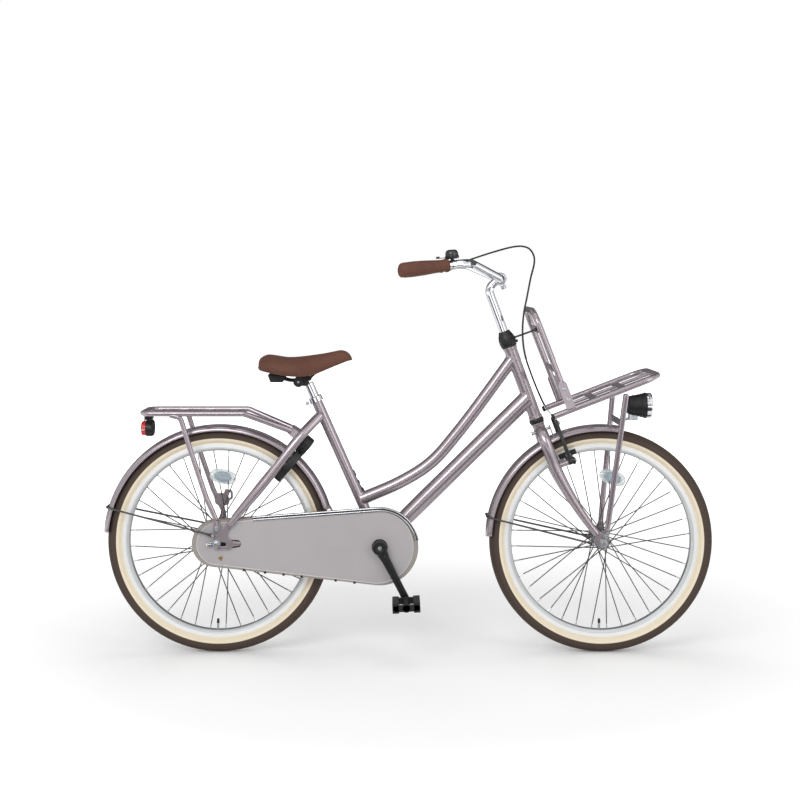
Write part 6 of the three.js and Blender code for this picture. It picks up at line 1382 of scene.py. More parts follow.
# %% Brake arms, shoes and guide
def brake_arm(side, name):
    pivot, top = at(side * brake_y, -brake_drop), at(side * 40, -21)
    rims = tapered(pivot, top, (0, 0.12, 0.3, 0.5, 0.75, 1.0), (10.4, 8.2, 5.4, 4.4, 4.6, 6.2))
    arm = plate(rounded(rims, 5), arm_front, arm_front + arm_thick, steering_plane, edge=1.6)
    spring = plate(circle(32) * 8.6 + pivot, arm_front - 1.6, arm_front + 1, steering_plane, edge=0.6)
    pad_up, inner, shoe_circle = -brake_drop + 18.7, rim_width / 2 + 1.3, 255
    middle, reach = arm_front + arm_thick / 2, np.linspace(-24, 24, 18)
    # the shoe bends with the rim: its height above the middle drops by s^2 / (2 R)
    spine = np.array([at_steering(middle + s, side * (inner + 5), pad_up - s * s / (2 * shoe_circle))
        for s in reach])
    shoe = block(-4.4, -6.4, 4.4, 6.4, 2)
    shoe_rubber = swept(spine, shoe, steer_up)
    holder = swept(spine[2:-2] + side * 5.2 * across, block(-1.6, -6.8, 1.6, 6.8, 0.8), steer_up)
    bolt_place = at_steering(middle, side * (inner + 10), pad_up)
    stud = [rod(bolt_place, bolt_place + side * 18 * across, 3)]
    nuts = [washer(bolt_place + side * 13 * across, side * across, 2, 6.6),
            hex_head(bolt_place + side * 15 * across, side * across, 4.5, 5.2)]
    clamp = at_steering(arm_front + arm_thick, side * 39.8, -27)
    out = arm_front + arm_thick
    housing = knob([(0.01, 0), (10.6, 0), (10.6, 5), (9, 8.6), (0.01, 8.6)], 1,
        at_steering(out - 0.4, side * brake_y, -brake_drop), steer_front, 36)
    adjuster = knob([(0.01, 0), (4.6, 0), (4.6, 5), (0.01, 5)], 0.8,
        at_steering(middle, side * (brake_y + 9), -brake_drop + 3), side * across, 18)
    silver = stud + nuts + screw(clamp, steer_front, 5, 4.4) + [washer(clamp, steer_front, 1.2, 6)]
    build(name + "_forging", [(black_paint, [arm, spring, housing, adjuster]), (rubber_black, [shoe_rubber]),
                              (black_plastic, [holder]), (hub_steel, silver)], name, [name])


brake_arm(-1, "right_brake_arm")
brake_arm(1, "left_brake_arm")

# %% [markdown]
# ## Headset and stem
# The lower ring seals the bearing, and a black cover with a small tab sits over the upper cup. The stem
# is one chromed bar: a quill in the fork, a smooth bend forwards and a clamp with its bolt below.

# %% Headset, stem and clamp
build("lower_bearing_ring",
    [(black_plastic, [bush([(13.2, 0), (17, 0), (20, 3), (20, 8), (19, 11.7), (13.2, 11.7)], 1,
    at_steering(0, 0, -12), steer_up)])], "steering", ["lower_headset"])
cover_base = head_length + 0.3
cover = bush([(13.2, 0), (20.8, 0), (21.2, 2.6), (20.6, 3.6), (21.8, 5.4), (22.6, 13), (22.4, 22),
    (20.8, 29), (18.6, 34.5), (16.4, 39), (15.2, 44), (11.6, 44), (11.6, 27), (13.2, 27)], 2.0,
    at_steering(0, 0, cover_base), steer_up, 80)
tab_box = box((-4, cover_base + 5, 17), (4, cover_base + 12, 27), plane(head_bottom, across, steer_up,
    steer_front), 1.2)
build("headset_cap", [(black_plastic, [cover, tab_box])], "steering", ["headset_cover"])

clamp_centre = at_steering(39, 0, 386)
neck = rounded([at_steering(0, 0, 125.6), at_steering(0, 0, 372), clamp_centre - 8 * steer_front], 24,
    False, 12)
neck = evenly(neck, 70)
neck_radius = 11 - 0.7 * smooth_share(np.linspace(0, 1, 70), 0.9, 1.0)
bar_bore = 11.6
clamp_shell = bush(two_sided([(bar_bore, -18), (15.4, -18), (17, -15)]), 1.4, clamp_centre, across, 80)
ears = box((-6, -21, -9), (8, -8, 9), plane(clamp_centre, steer_front, steer_up), 4, 1.4)
clamp_bolt = [hex_head(clamp_centre - 20.5 * steer_up + 2 * steer_front, -steer_up, 8.5, 8.2, 1.2),
              rod(clamp_centre - 24 * steer_up, clamp_centre - 12 * steer_up, 3)]
build("stem_chromed", [(chrome, [tube(neck, neck_radius, across, 40, 1.5), clamp_shell, ears]),
                       (hub_steel, clamp_bolt)], "steering", ["stem"])

# %% [markdown]
# ## Handlebar and grips
# The bar sweeps up, out and back, and its bends are true arcs. Each grip is a turned sleeve with a
# double ring at its inner end, a seam along the leather and a domed end.

# %% Handlebar
bar_places = [clamp_centre + v for v in (
    at(0, 34, 0), at(-82, 140, 39.5), at(-149, 215, 35), at(-269, 275, 21.5))]
grip_start, grip_end = bar_places[2], bar_places[3]
grip_run = unit(grip_end - grip_start)
grip_length = float(np.linalg.norm(grip_end - grip_start))
bar_knee, bar_end = grip_start - 54 * grip_run, grip_end - 4.3 * grip_run
half_bar = np.array([bar_end, bar_knee, bar_places[1], bar_places[0]])
bar_line = rounded(np.concatenate((half_bar, (half_bar * (1, -1, 1))[::-1])), 42, False, 14)
build("handlebar_chromed", [(chrome, [tube(bar_line, 11.1, at(0.1, 0.02, 1), 36, 0.8)])], "steering",
    ["handlebar"])

# %% Grips
def grip_skins(side):
    start, run = grip_start * (1, side, 1), grip_run * (1, side, 1)
    sleeve = rounded([(bar_bore, 0), (16, 0), (17.6, 1), (17.6, 3), (16.2, 3.9), (17.4, 4.8), (17.4, 7),
        (15.6, 8.4), (15.6, 12), (15.4, 17), (16.2, grip_length * 0.25), (18.4, grip_length * 0.48),
        (19.5, grip_length * 0.7), (19, grip_length - 12), (18.2, grip_length - 4),
        (16, grip_length - 0.6), (6, grip_length), (0.01, grip_length)], 2.5, False)
    return turned(sleeve, start, run, 72)


def grip_seam(side):
    """A row of stitches along the lower side of the sleeve: short raised bars on a line."""
    start, run = grip_start * (1, side, 1), grip_run * (1, side, 1)
    down = unit(np.cross(np.cross(run, -upright), run))
    spots = np.arange(19, grip_length - 14, 4.6)
    level = np.interp(spots / grip_length, (0.1, 0.25, 0.48, 0.7, 0.92), (15.6, 16.1, 18.2, 19.3, 18.8))
    return [tube([start + s * run + (r - 0.2) * down, start + (s + 1.6) * run + (r + 0.5) * down,
                  start + (s + 3.2) * run + r * down], 0.55, np.cross(run, down), 6, 0.3)
            for s, r in zip(spots, level)]


for side, name in ((-1, "right"), (1, "left")):
    build(f"{name}_grip_sleeve", [(brown_leather, [grip_skins(side)]), (stitch_thread, grip_seam(side))],
          "steering", [f"{name}_grip"])

# %% [markdown]
# ## Brake lever and its cable
# The lever's bracket clamps round the bar, and a horn in front of it holds the pivot. The blade is a
# flattened bar that is widest at the fingers and ends in a small ball.

# %% Brake lever and bracket
lever_ahead = -unit(at(-grip_run[1], grip_run[0], 0))
lever_up = unit(np.cross(lever_ahead, grip_run))
mount_centre = grip_start - 15 * grip_run


def at_lever(out, forward, up):
    return mount_centre + out * grip_run + forward * lever_ahead + up * lever_up


lever_plane = plane(mount_centre, grip_run, lever_ahead, lever_up)
mount_band = bush(two_sided([(bar_bore, -9), (14, -9), (15, -7.6)]), 1, mount_centre, grip_run, 64)
horn_line = rounded([(-8, 9), (9, 9), (9.4, 20), (7, 30), (-4, 31), (-9.4, 26)], 4)
horns = [plate(horn_line, low, high, lever_plane, edge=1.0) for low, high in ((-9, -5), (5, 9))]
horn_web = plate(rounded([(-9, 8), (9, 8), (8, 17.4), (-8, 17.4)], 2), -7, 7, lever_plane, edge=1.2)
barrel_foot, barrel_end = at_lever(-4.5, 19, 0), at_lever(-27, 25, 5)
barrel_run = unit(barrel_end - barrel_foot)
barrel = [knob([(0.01, 0), (4.4, 0), (4.4, 8), (5.6, 8.6), (5.6, 10.4), (4.8, 11), (4.8, 12.4), (5.6, 13),
    (5.6, 15), (4.4, 16), (4.0, 23.3), (2.7, 23.3)], 0.5, barrel_foot, barrel_run, 36)]
lever_pin = screw(at_lever(0, 25, 8.4), lever_up, 4, 2.6) + screw(at_lever(0, 25, -8.4), -lever_up, 4, 2.6)
build("brake_lever_bracket", [(black_plastic, [mount_band, horn_web] + horns + barrel),
                              (hub_steel, lever_pin + [rod(at_lever(0, 25, -8), at_lever(0, 25, 8), 2.6)]
                               + screw(at_lever(-2, -13.4, 0), -lever_ahead, 4.2, 3))],
      "steering", ["brake_lever_mount"])

blade_line = spline([at_lever(1, 25, 0), at_lever(9, 33, 0), at_lever(20, 44, 0), at_lever(34, 50.5, 0),
                     at_lever(60, 53.4, 0), at_lever(90, 53.2, 0), at_lever(108, 53, 0)], 60)
share = np.linspace(0, 1, 60)[:, None, None]
blade_section = circle(20)[None] * np.concatenate((3.4 + 0.6 * np.sin(np.pi * share), 4.6 + 1.6 * np.sin(
    np.pi * np.clip(share * 1.15, 0, 1))), -1)
finger_blade = swept(blade_line, blade_section, lever_up)
ball = turned(5.2 * np.stack((np.sin(np.linspace(0.02, np.pi - 0.02, 14)),
    -np.cos(np.linspace(0.02, np.pi - 0.02, 14))), -1), at_lever(108, 53, 0), grip_run, 24)
lever_root = plate(circle(36) * 7 + (0, 25), -4.6, 4.6, lever_plane, [circle(24) * 3.2 + (0, 25)], 0.9)
build("brake_lever_blade", [(black_paint, [finger_blade, ball, lever_root])], "brake_lever", ["brake_lever"])

# %% [markdown]
# The cable leaves the barrel in a wide bow over the bar, passes in front of the head tube and ends in
# a bright bent pipe that leads the wire across to the brake arm.

# %% Brake cable
cable_route = [
    (748, 125, 1078), (798, 90, 1091), (822, 70, 1092), (840, 50, 1084), (850, 35, 1065), (850, 25, 1045),
    (839, 5, 1007), (827, -15, 955), (817, -30, 911), (812.5, -42, 867), (814, -50, 826), (820, -54, 793),
    (833.6, -55, 752), (854, -53, 701), (872, -48, 664), (888, -44, 643)]
cable_end = at_steering(arm_front + arm_thick / 2, -39, -14)
cable_line = spline([barrel_end + 0.3 * barrel_run, barrel_end + 10 * barrel_run, *cable_route,
    cable_end], 260)
pipe_line = cable_line[-15:]


def ferrule(place, run, length):
    return knob([(0.01, 0), (3.6, 0), (3.6, length), (0.01, length)], 0.7, place, run, 24)


build("brake_cable_housing", [
    (black_plastic, [tube(cable_line[:-12], 2.5, at(0.3, 0.1, 1), 12, 0.4)]),
    (chrome, [tube(pipe_line, 2.1, at(0.3, 0.1, 1), 12, 0.6),
              ferrule(cable_line[-17], unit(cable_line[-15] - cable_line[-17]), 9),
              ferrule(barrel_end, barrel_run, 7)])], "steering", ["brake_cable"])

# %% [markdown]
# ## Bell
# The bell is a pressed dome with a thin lip, a turned shell on a post. A ratchet lever for the thumb
# lies under it.

# %% Bell and thumb lever
flip = at(1, -1, 1)
bell_centre, bell_run, bell_up = mount_centre * flip, grip_run * flip, lever_up * flip
bell_base, bell_side = bell_centre + 16 * bell_up, np.cross(bell_up, bell_run)
bell_ring = bush(two_sided([(bar_bore, -5), (12.6, -5), (13, -4.2)]), 0.5, bell_centre, bell_run, 64)
bell_plate = knob([(0.01, -1), (12, -1), (17.6, 0.5), (18.2, 3), (18.2, 6), (17, 7), (0.01, 7)], 0.8,
    bell_base, bell_up, 56)
bell_post = rod(bell_base - 5 * bell_up, bell_base + 19 * bell_up, 4, 28)
dome_angle = np.radians(np.linspace(0, 90, 16))
dome_curve = np.stack((np.cos(dome_angle) ** 0.45, np.sin(dome_angle) ** 0.9), -1)
dome_out, dome_in = dome_curve * (16.8, 15), dome_curve[::-1] * (15.4, 13.6)
dome_out[-1, 0], dome_in[0, 0] = 0.01, 0.01
dome = turned(np.concatenate((dome_in, [(15.4, 0), (16.2, -0.9), (17.2, -0.6)], dome_out)),
              bell_base + 7.6 * bell_up, bell_up, 72)
build("bell_dome", [(black_paint, [dome]), (black_plastic, [bell_plate, bell_post]),
                    (chrome, [bell_ring]), (hub_steel, [rod(bell_base + 9 * bell_run - 1.2 * bell_up,
                                                            bell_base + 9 * bell_run + 5.5 * bell_up, 1.8)])],
      "steering", ["bell"])
bell_pivot = bell_base + 9 * bell_run
thumb_plane = plane(bell_pivot, bell_run, bell_side, bell_up)
thumb = plate(strap((0, 0), 4.2, (32, 0), 5, 12), 2.8, 4.4, thumb_plane, [circle(20) * 2.1], 0.5)
thumb_ribs = [box((32 + rib - 0.6, -3.4, 4), (32 + rib + 0.6, 3.4, 8.4), thumb_plane, 0.4, 0.3)
    for rib in (-2.6, 0, 2.6)]
thumb_pad = knob([(0.01, 0), (5, 0), (4.2, 4.2), (0.01, 4.6)], 0.8, bell_pivot + 32 * bell_run + 2.8
    * bell_up, bell_up, 36)
build("bell_thumb_lever", [(black_plastic, [thumb, thumb_pad] + thumb_ribs)], "bell_lever", ["bell_lever"])

# %% [markdown]
# ## Crankset
# The chainring's edge is a wave with one crest for each tooth, and five round windows lighten it. The
# arm is forged, so it tapers from the boss to the pedal eye with soft edges.

# %% Chainring, arms and bolts
crank_angle, crank_length, crank_inner, crank_thick = -62.7, 152, 70, 12
ring_teeth, chain_pitch, chain_line = 38, 12.7, 44


def toothed(teeth, points=10):
    """r(a) = pitch radius - 0.5 + 3.2 w, where w is cos(teeth a) with its crests drawn narrower."""
    angle = np.linspace(0, 2 * np.pi, teeth * points, endpoint=False)
    pitch_radius = chain_pitch / (2 * math.sin(math.pi / teeth))
    wave = 2 * (0.5 + 0.5 * np.cos(teeth * angle)) ** 1.4 - 1
    return (pitch_radius - 0.5 + 3.2 * wave)[:, None] * heading(angle)


on_bracket = plane(bracket)
crank_run, _ = compass(crank_angle)
crank_tip = {side: bracket - side * crank_length * crank_run for side in (-1, 1)}


def crank_arm_skins(side):
    tip = (crank_tip[side] - bracket)[[0, 2]]
    outline = tapered(at(0, 0), tip, (0, 0.1, 0.22, 0.5, 0.82, 1.0), (17, 14.5, 11.5, 10, 9.6, 9.8))
    arm = slab(rounded(outline, 9), side, crank_inner, crank_inner + crank_thick, on_bracket, edge=2.6)
    ridge = strap(unit(tip) * 30, 6.4, tip * 0.86, 5.2, 10)
    inlay = slab(ridge, side, crank_inner + crank_thick - 2, crank_inner + crank_thick + 0.5, on_bracket,
        edge=0.9)
    out = side * across
    boss = knob([(0.01, 69), (19.4, 69), (19.4, 82), (17.4, 85), (9, 85), (7.4, 83.4), (0.01, 83.4)], 1.4,
        bracket, out, 72)
    axle = knob([(0.01, 69.5), (4.5, 69.5), (4.5, 86), (7, 86), (7, 90.5), (4.5, 91.4), (4.5, 178),
        (0.01, 178)], 0.5, crank_tip[side], out, 32)
    bolt = [hex_head(bracket + 83 * out, out, 2.4, 5.6)]
    return [arm, inlay, boss], [axle] + bolt


ring_radius = chain_pitch / (2 * math.sin(math.pi / ring_teeth))
sleeve_radius = 13
window_middle = (ring_radius - 11 + sleeve_radius) / 2
window = window_middle * math.sin(math.pi / 5) - 7
windows = [circle(36) * window + window_middle * at(math.cos(a), math.sin(a))
           for a in np.arange(5) * 2 * np.pi / 5]
chainring = plate(toothed(ring_teeth), -chain_line - 1.15, -chain_line + 1.15, on_bracket, windows, 0.35)
sleeve = rod(bracket - 42.9 * across, bracket - crank_inner * across, sleeve_radius, 40, 1)
spindle = rod(bracket - crank_inner * across, bracket + 68.6 * across, 8.5, 32)
right_black, right_bright = crank_arm_skins(-1)
left_black, left_bright = crank_arm_skins(1)
build("right_crank_forging", [(black_paint, right_black + [sleeve]), (dark_steel, [chainring, spindle]),
                              (hub_steel, right_bright)], "crankset", ["right_crank"])
build("left_crank_forging", [(black_paint, left_black), (hub_steel, left_bright)], "crankset", ["left_crank"])


# %% [markdown]
# ## Pedals
# A pedal is a plastic cage round its barrel: two tread blocks, whose outline has deep notches, and the
# end plates that join them.

# %% Pedals
pedal_start, pedal_end = 92, 186


def pedal_skins(side, pitch):
    forward, up = compass(pitch)
    origin, out = crank_tip[side], side * across
    lengthways = plane(origin, out, up, forward)
    skins, half, notch = [], 12, 2.6
    spots = pedal_start + (pedal_end - pedal_start) * np.arange(1, 8) / 8
    notches = [(s + x, z) for s in spots for x, z in ((-3, -half), (-2, notch - half), (2, notch - half),
        (3, -half))]
    outline = two_sided([(pedal_start, -half), *notches, (pedal_end, -half)])
    for end in (-1, 1):
        low, high = sorted((end * 36, end * 19))
        skins.append(plate(outline, low, high, lengthways, edge=1.0))
        for ridge in (24, 30):
            skins.append(plate(block(pedal_start + 2, 1 - half, pedal_end - 2, half - 1, 2), end * ridge
                - 1.2, end * ridge + 1.2, lengthways, edge=0.3))
    flat = plane(origin, forward, up, out)
    cage = rounded(two_sided([(-35, -7), (-20, -9), (20, -9), (35, -7)]), 3)
    skins.append(plate(cage, pedal_start, pedal_start + 6, flat, [circle(36) * 5.2], 1))
    skins.append(plate(cage, pedal_end - 6, pedal_end, flat, edge=1))
    barrel = bush([(5.2, pedal_start), (11, pedal_start), (11.5, 94), (10.4, 110), (9.6, 139),
        (10.4, 168), (11.5, 184), (10.4, pedal_end), (5.2, pedal_end)], 1.2, origin, out, 48)
    cap = knob([(0.01, 180), (9.2, 180), (9.2, 185.4), (7.6, pedal_end), (0.01, pedal_end)], 0.6, origin,
        out, 40)
    return skins + [barrel, cap]


build("right_pedal_cage", [(black_plastic, pedal_skins(-1, 3))], "right_pedal", ["right_pedal"])
build("left_pedal_cage", [(black_plastic, pedal_skins(1, 180 + crank_angle))], "left_pedal", ["left_pedal"])

# %% [markdown]
# ## Chain case
# The case has a flat face, a softly rolled edge, a deep rim and a lip that turns in behind. The rim is
# the outline repeated at growing insets and joined row to row. A darker band round the face is painted
# shade, and a pale bead round the panel is a painted highlight.

# %% Case, clips and trim
case_rear, case_front = at(-5, tyre_radius), bracket[[0, 2]]
case_rear_radius, case_front_radius, case_face, face_back = 62, 102.5, -65, -63.2


def case_outline(grow, steps=40):
    return strap(case_rear, case_rear_radius + grow, case_front, case_front_radius + grow, steps)


def case_rows(profile):
    return [np.insert(case_outline(-inset), 1, y, axis=1) for inset, y in profile]


roll = np.radians(np.linspace(0, 90, 7))
case_profile = np.concatenate((np.stack((6 - 6 * np.sin(roll), -59 - 6 * np.cos(roll)), -1),
    [(0, -50), (0, -38)], [(0.6, -36), (2.2, -35), (12, -35), (13, -35.6), (13, -36.2), (12, -36.8),
    (3, -36.8), (1.8, -38), (1.8, -59), (6, -63.2)]))
face_holes = [circle(64) * 21.5 + case_front, strap((0, tyre_radius), 12, (54, tyre_radius), 10.5, 16)]
face = plate(case_outline(-6), case_face, face_back, holes=face_holes, edge=0.01)
hole_lips = [bush([(21, -65.4), (22.4, -65.4), (22.8, -64.9), (22.4, -62.6), (21, -62.6)], 0.5, bracket)]
panel = strap(case_rear + (7, 0), case_rear_radius - 7, case_front - (7, 0), case_front_radius - 7, 40)
# painted shade: a darker band between the rolled edge and the panel
rim_band = plate(case_outline(-2.6), -65.5, -64.9, holes=[panel], edge=0.2)
# painted highlight: the pale bead round the panel
piping_line = np.insert(panel, 1, -65.3, axis=1)
piping = swept(piping_line, circle(8) * 1.1, across, ring=True)
lower_edge = case_outline(0.6, 60)
lower_edge = lower_edge[lower_edge[:, 1] < tyre_radius - 40]
lower_edge = lower_edge[np.argsort(lower_edge[:, 0])]
clips = []
for clip_x in (72, 128, 177, 225, 315, 365):
    z = float(np.interp(clip_x, lower_edge[:, 0], lower_edge[:, 1]))
    clips.append(box((clip_x - 3.4, z - 0.8, -65.8), (clip_x + 3.4, z + 5.6, -36), corner=1.2))
case_screws = screw(at(10.3, case_face, 262.5), -across, 5.6, 2.2)
build("chain_case_cover", [(case_grey, [skin(case_rows(case_profile), ring=True), face] + hole_lips),
                           (case_rim_shade, [rim_band]), (case_bead_highlight, [piping]),
                           (black_plastic, clips), (brass, case_screws)], "frame", ["chain_case"])


def trim_line(grow, y):
    """The trim's line: half of the front curve, then back along the top edge to its start."""
    edge = case_outline(grow, 60)
    arc, back = edge[120 + 33:], edge[0]
    start = arc[-1] + (back - arc[-1]) * (arc[-1, 0] - 96) / (arc[-1, 0] - back[0])
    return np.insert(np.concatenate((arc, evenly([arc[-1], start], 30)[1:])), 1, y, axis=1)


flat_band = block(-0.5, -2.1, 0.5, 2.1, 0.3)
build("chain_case_bead",
    [(chrome, [swept(trim_line(0.6, -64.4), circle(12) * 1.9, across), swept(trim_line(-5.4, -66.0),
    circle(12) * 1.5, across)]), (black_plastic, [swept(trim_line(-2.4, -65.6), flat_band, across)]),
    (dark_steel, [swept(trim_line(-8.2, -65.6), flat_band * (0.6, 1), across)])], "frame",
    ["chain_case_trim"])

# %% [markdown]
# ## Saddle
# Three lines along the saddle give its shape: the top, the lower edge and the half width. Each cross
# section is a soft oval on these, with a shallow channel along the middle and a hollow underside.

# %% Saddle cover and shell
def along_saddle(stations, values, share):
    """A smooth curve through stations along the saddle, read at the given places."""
    curve = spline(np.stack((stations, values), -1), 200)
    return np.interp(share, curve[:, 0], curve[:, 1])


saddle_tail, saddle_nose = 107, 357
saddle_x = saddle_tail + (saddle_nose - saddle_tail) * (1 - np.cos(np.linspace(0, np.pi, 72))) / 2
top_line = along_saddle((107, 108.5, 112, 117, 127, 140, 157, 176, 195, 223, 252, 280, 308, 325, 337, 346,
    351.5, 355, 357), (777, 785, 790, 794, 798, 798, 795.5, 792.5, 792, 794.5, 799, 804, 809, 811, 809,
    804, 798, 791.5, 785.5), saddle_x)
low_line = along_saddle((107, 108.5, 112, 120, 138, 157, 176, 195, 214, 233, 252, 271, 299, 327, 345, 353,
    357), (769, 760, 756.5, 753, 748.5, 744.5, 741, 738, 736, 735.5, 738, 745, 757.5, 769.5, 778.5, 782,
    784), saddle_x)
half_width = along_saddle((107, 109, 114, 126, 145, 170, 195, 222, 250, 280, 310, 335, 348, 354, 357),
                          (20, 52, 76, 92, 101, 103, 97, 81, 60, 42, 33, 29, 25, 19, 6), saddle_x)


def saddle_rows():
    """y = w c |c|^-0.3 and z = middle + half s |s|^-0.25 with c, s the cosine and sine of the turn.
    The top drops by a channel of exp(-(y/14)^2) and the underside rises inside the skirt."""
    turn = np.linspace(0, 2 * np.pi, 88, endpoint=False)[None]
    c, s = np.cos(turn), np.sin(turn)
    wide = np.sign(c) * np.abs(c) ** 0.72 * half_width[:, None]
    middle, half = (top_line + low_line)[:, None] / 2, (top_line - low_line)[:, None] / 2
    high = middle + half * np.sign(s) * np.abs(s) ** np.where(s > 0, 0.78, 0.45)
    share = np.abs(wide) / half_width[:, None]
    fade = np.clip((saddle_x[:, None] - 118) / 30, 0, 1) * np.clip((330 - saddle_x[:, None]) / 40, 0, 1)
    channel = 3.2 * np.exp(-(wide / 15) ** 2) * fade * (s > 0)
    hollow = (np.clip(1 - (share / 0.9) ** 4, 0, 1) * half * 0.9) * (s < 0)
    # the sides of the seat fall away from the middle, and a crease marks the rear flank
    fall = 5 * share**2 * (s > 0) * fade
    crease = np.interp(saddle_x, (118, 128, 161, 188, 205), (788, 786, 781, 773, 768))[:, None]
    dent = np.exp(-((high - crease) / 2.2) ** 2) * np.clip((205 - saddle_x) / 40, 0, 1)[:, None]
    wide = wide * (1 - 0.028 * dent * (s > 0))
    return np.stack((np.broadcast_to(saddle_x[:, None], wide.shape), wide, high - channel - fall
        + hollow), -1)


cover_rows = saddle_rows()
welts = []
for column in (86, 46):
    line = evenly(cover_rows[3:-3, column], 120)
    welts.append(tube(line, 1.3, upright, 8, 1))
seat_cover = build("saddle_cover", [(brown_leather, [skin(cover_rows)]), (stitch_thread, welts)], "seat",
                   ["saddle"], 60)

# %% [markdown]
# ## Saddle rails, clamp and seat post
# Two rails run below the shell, held by a clamp with toothed discs that lets the saddle tilt. A rubber
# block lies under the tail. The post is chromed tube, and a bolt at the back closes the collar.

# %% Rails, clamp, block, post and collar
rail_z, rail_half = 730, 22
rails = [tube(evenly(rounded(mirrored([(135, rail_half, rail_z + 16), (190, rail_half, rail_z),
    (238, rail_half, rail_z), (258, rail_half, rail_z + 20), (320, rail_half * 0.35, rail_z + 46)], side),
    12, False, 6), 50), 3.5, across, 18, 2) for side in (-1, 1)]
cog_x, cog_z = 214, 727
clamp_low = box((210, 716, -25), (240, 728, 25), corner=5, edge=2)
clamp_high = box((208, 729.5, -24), (247, 740, 24), corner=3, edge=1.5)
cog_angle = np.linspace(0, 2 * np.pi, 144, endpoint=False)
cog = (14 + 0.7 * np.cos(24 * cog_angle))[:, None] * heading(cog_angle)
cogs = [slab(cog, side, 25, 30, plane((cog_x, 0, cog_z)), edge=0.8) for side in (-1, 1)]
clamp_nuts = both(lambda side: screw(at(cog_x, side * 30, cog_z), side * across, 3.8, 3))
tail_block = plate(rounded([(131, 750), (179, 744), (173, 726.5), (139, 726.5)], 4), -38, 38, edge=2.5)
tail_ribs = [box((x, 730, side * 37.4), (x + 3, 744, side * 38.8), corner=1) for x in (147, 160)
    for side in (-1, 1)]
build("saddle_rails", [
    (black_plastic, [tail_block] + tail_ribs + [clamp_low, clamp_high] + cogs), (black_paint, rails),
    (hub_steel, clamp_nuts)], "seat", ["saddle_frame"])
post_head = seat_top + (722 - seat_top[2]) / seat_up[2] * seat_up
build("seat_post_tube",
    [(chrome, [tube(np.linspace(seat_top - 190 * seat_up, post_head, 5), 12.6, across, 48, 1.6)])],
    "seat", ["seat_post"])
collar_start, seat_back = seat_top - 8 * seat_up, at(-seat_up[2], 0, seat_up[0])
collar = bush([(14.7, 0), (17.4, 0), (18.3, 1.2), (18.3, 13.8), (17.4, 15), (14.7, 15)], 0.8,
    collar_start, seat_up, 64)
ear_root = collar_start + 7.5 * seat_up + 16.3 * seat_back
ear_plane = plane(ear_root, seat_back, seat_up, np.cross(seat_back, seat_up))
ears = [plate(rounded([(-3, -6.8), (10, -5.8), (13.6, 0), (10, 5.8), (-3, 6.8)], 3), low, high, ear_plane,
    edge=1) for low, high in ((-7, -1), (1, 7))]
ear_middle = ear_root + 8.4 * seat_back
ear_bolt = ([rod(ear_middle - 12 * across, ear_middle + 12 * across, 3)] + screw(ear_middle + 7 * across,
    across, 5, 4.6) + [hex_head(ear_middle - 7 * across, -across, 4.6, 5.4)])
build("seat_collar", [(chrome, [collar] + ears), (hub_steel, ear_bolt)], "frame", ["seat_clamp"])

# %% [markdown]
# ## Front load carrier
# The platform is one bent bar with flat slats and two inner rails, tilted with the fork. Bracket plates
# screwed to it hold the backrest, a second bent bar.

# %% Front carrier, backrest and strut
carrier_slope = 21.1
carrier_out, carrier_up = compass(carrier_slope)
carrier_root = at(head_bottom[0] + 36.5, 0, tyre_radius + fender_radius + 31.8)
carrier_half, carrier_length, carrier_radius, back_at, back_height, slat_reach = 118, 304, 8, 49, 277, 117


def at_carrier(out, left, up):
    return carrier_root + out * carrier_out + left * across + up * carrier_up


on_carrier = plane(carrier_root, carrier_out, across, carrier_up)
rail_end = carrier_length - carrier_radius


def hoop(foot, top):
    """A bent bar from a foot on the right to its top, across and back to the foot on the left."""
    corners = (foot, -1), (top, -1), (top, 1), (foot, 1)
    return rounded([at_carrier(out, side * carrier_half, up) for (out, up), side in corners], 45, False, 10)


platform = hoop((0, 0), (rail_end, 0))
cross_slats = [plate(block(out - 10, -slat_reach, out + 10, slat_reach, 1), -1.5, 1.5, on_carrier,
    edge=0.9) for out in (119.5, 199)]
inner_rails = [rod(at_carrier(59.5, side * 42, -4.8), at_carrier(rail_end, side * 42, -4.8), 5, 24, 2)
    for side in (-1, 1)]
back_plates, back_screws = [], []
end_plugs = [knob([(0.01, -7), (6.5, -7), (8.2, -4), (8.2, 0), (0.01, 0)], 1.5,
    at_carrier(0, side * carrier_half, 0), carrier_out, 36) for side in (-1, 1)]
for side in (-1, 1):
    side_plane = plane(carrier_root, carrier_out, carrier_up, across)
    face_line = rounded([(37, 4), (61, 4), (61, 72), (55, 80), (43, 80), (37, 72)], 4)
    back_plates.append(slab(face_line, side, 126.3, 129.3, side_plane, edge=0.9))
    back_plates.append(slab(block(37, 4, 61, 9, 1), side, 117, 127.3, side_plane, edge=0.5))
    for up in (30, 58):
        place = at_carrier(back_at, side * 129.3, up)
        back_screws += [washer(place, side * across, 1.2, 5.6)] + screw(place + side * across,
            side * across, 3.6, 2.4)
build("front_carrier_frame", [(paint, [tube(platform, carrier_radius, carrier_up + 0.05 * across, 28, 3)]
    + cross_slats + inner_rails + back_plates), (hub_steel, back_screws), (black_plastic, end_plugs)],
    "steering", ["front_carrier"])
back_rail = hoop((back_at, 8.3), (back_at, back_height))
back_plane = plane(at_carrier(back_at, 0, 0), across, carrier_up, carrier_out)
back_slats = [plate(block(-slat_reach, up - 10, slat_reach, up + 10, 1), -1.5, 1.5, back_plane, edge=0.9)
    for up in (110, 221)]
build("front_backrest", [(paint, [tube(back_rail, carrier_radius, carrier_out + 0.05 * across, 28, 1)]
    + back_slats)], "steering", ["carrier_backrest"])
strut_foot = at_steering(21, 0, cover_base + 19)
strut_head = at_carrier(back_at - 1.8, 0, 221)
strut_run = unit(strut_head - strut_foot)
wing_plane = plane(at_carrier(back_at, 0, 221), across, carrier_up, -carrier_out)
wing = plate(rounded(two_sided([(-10, -4), (-4, -2.6), (4, -2.6), (10, -4)]), 1.2), 1.8, 5, wing_plane,
    edge=0.8)
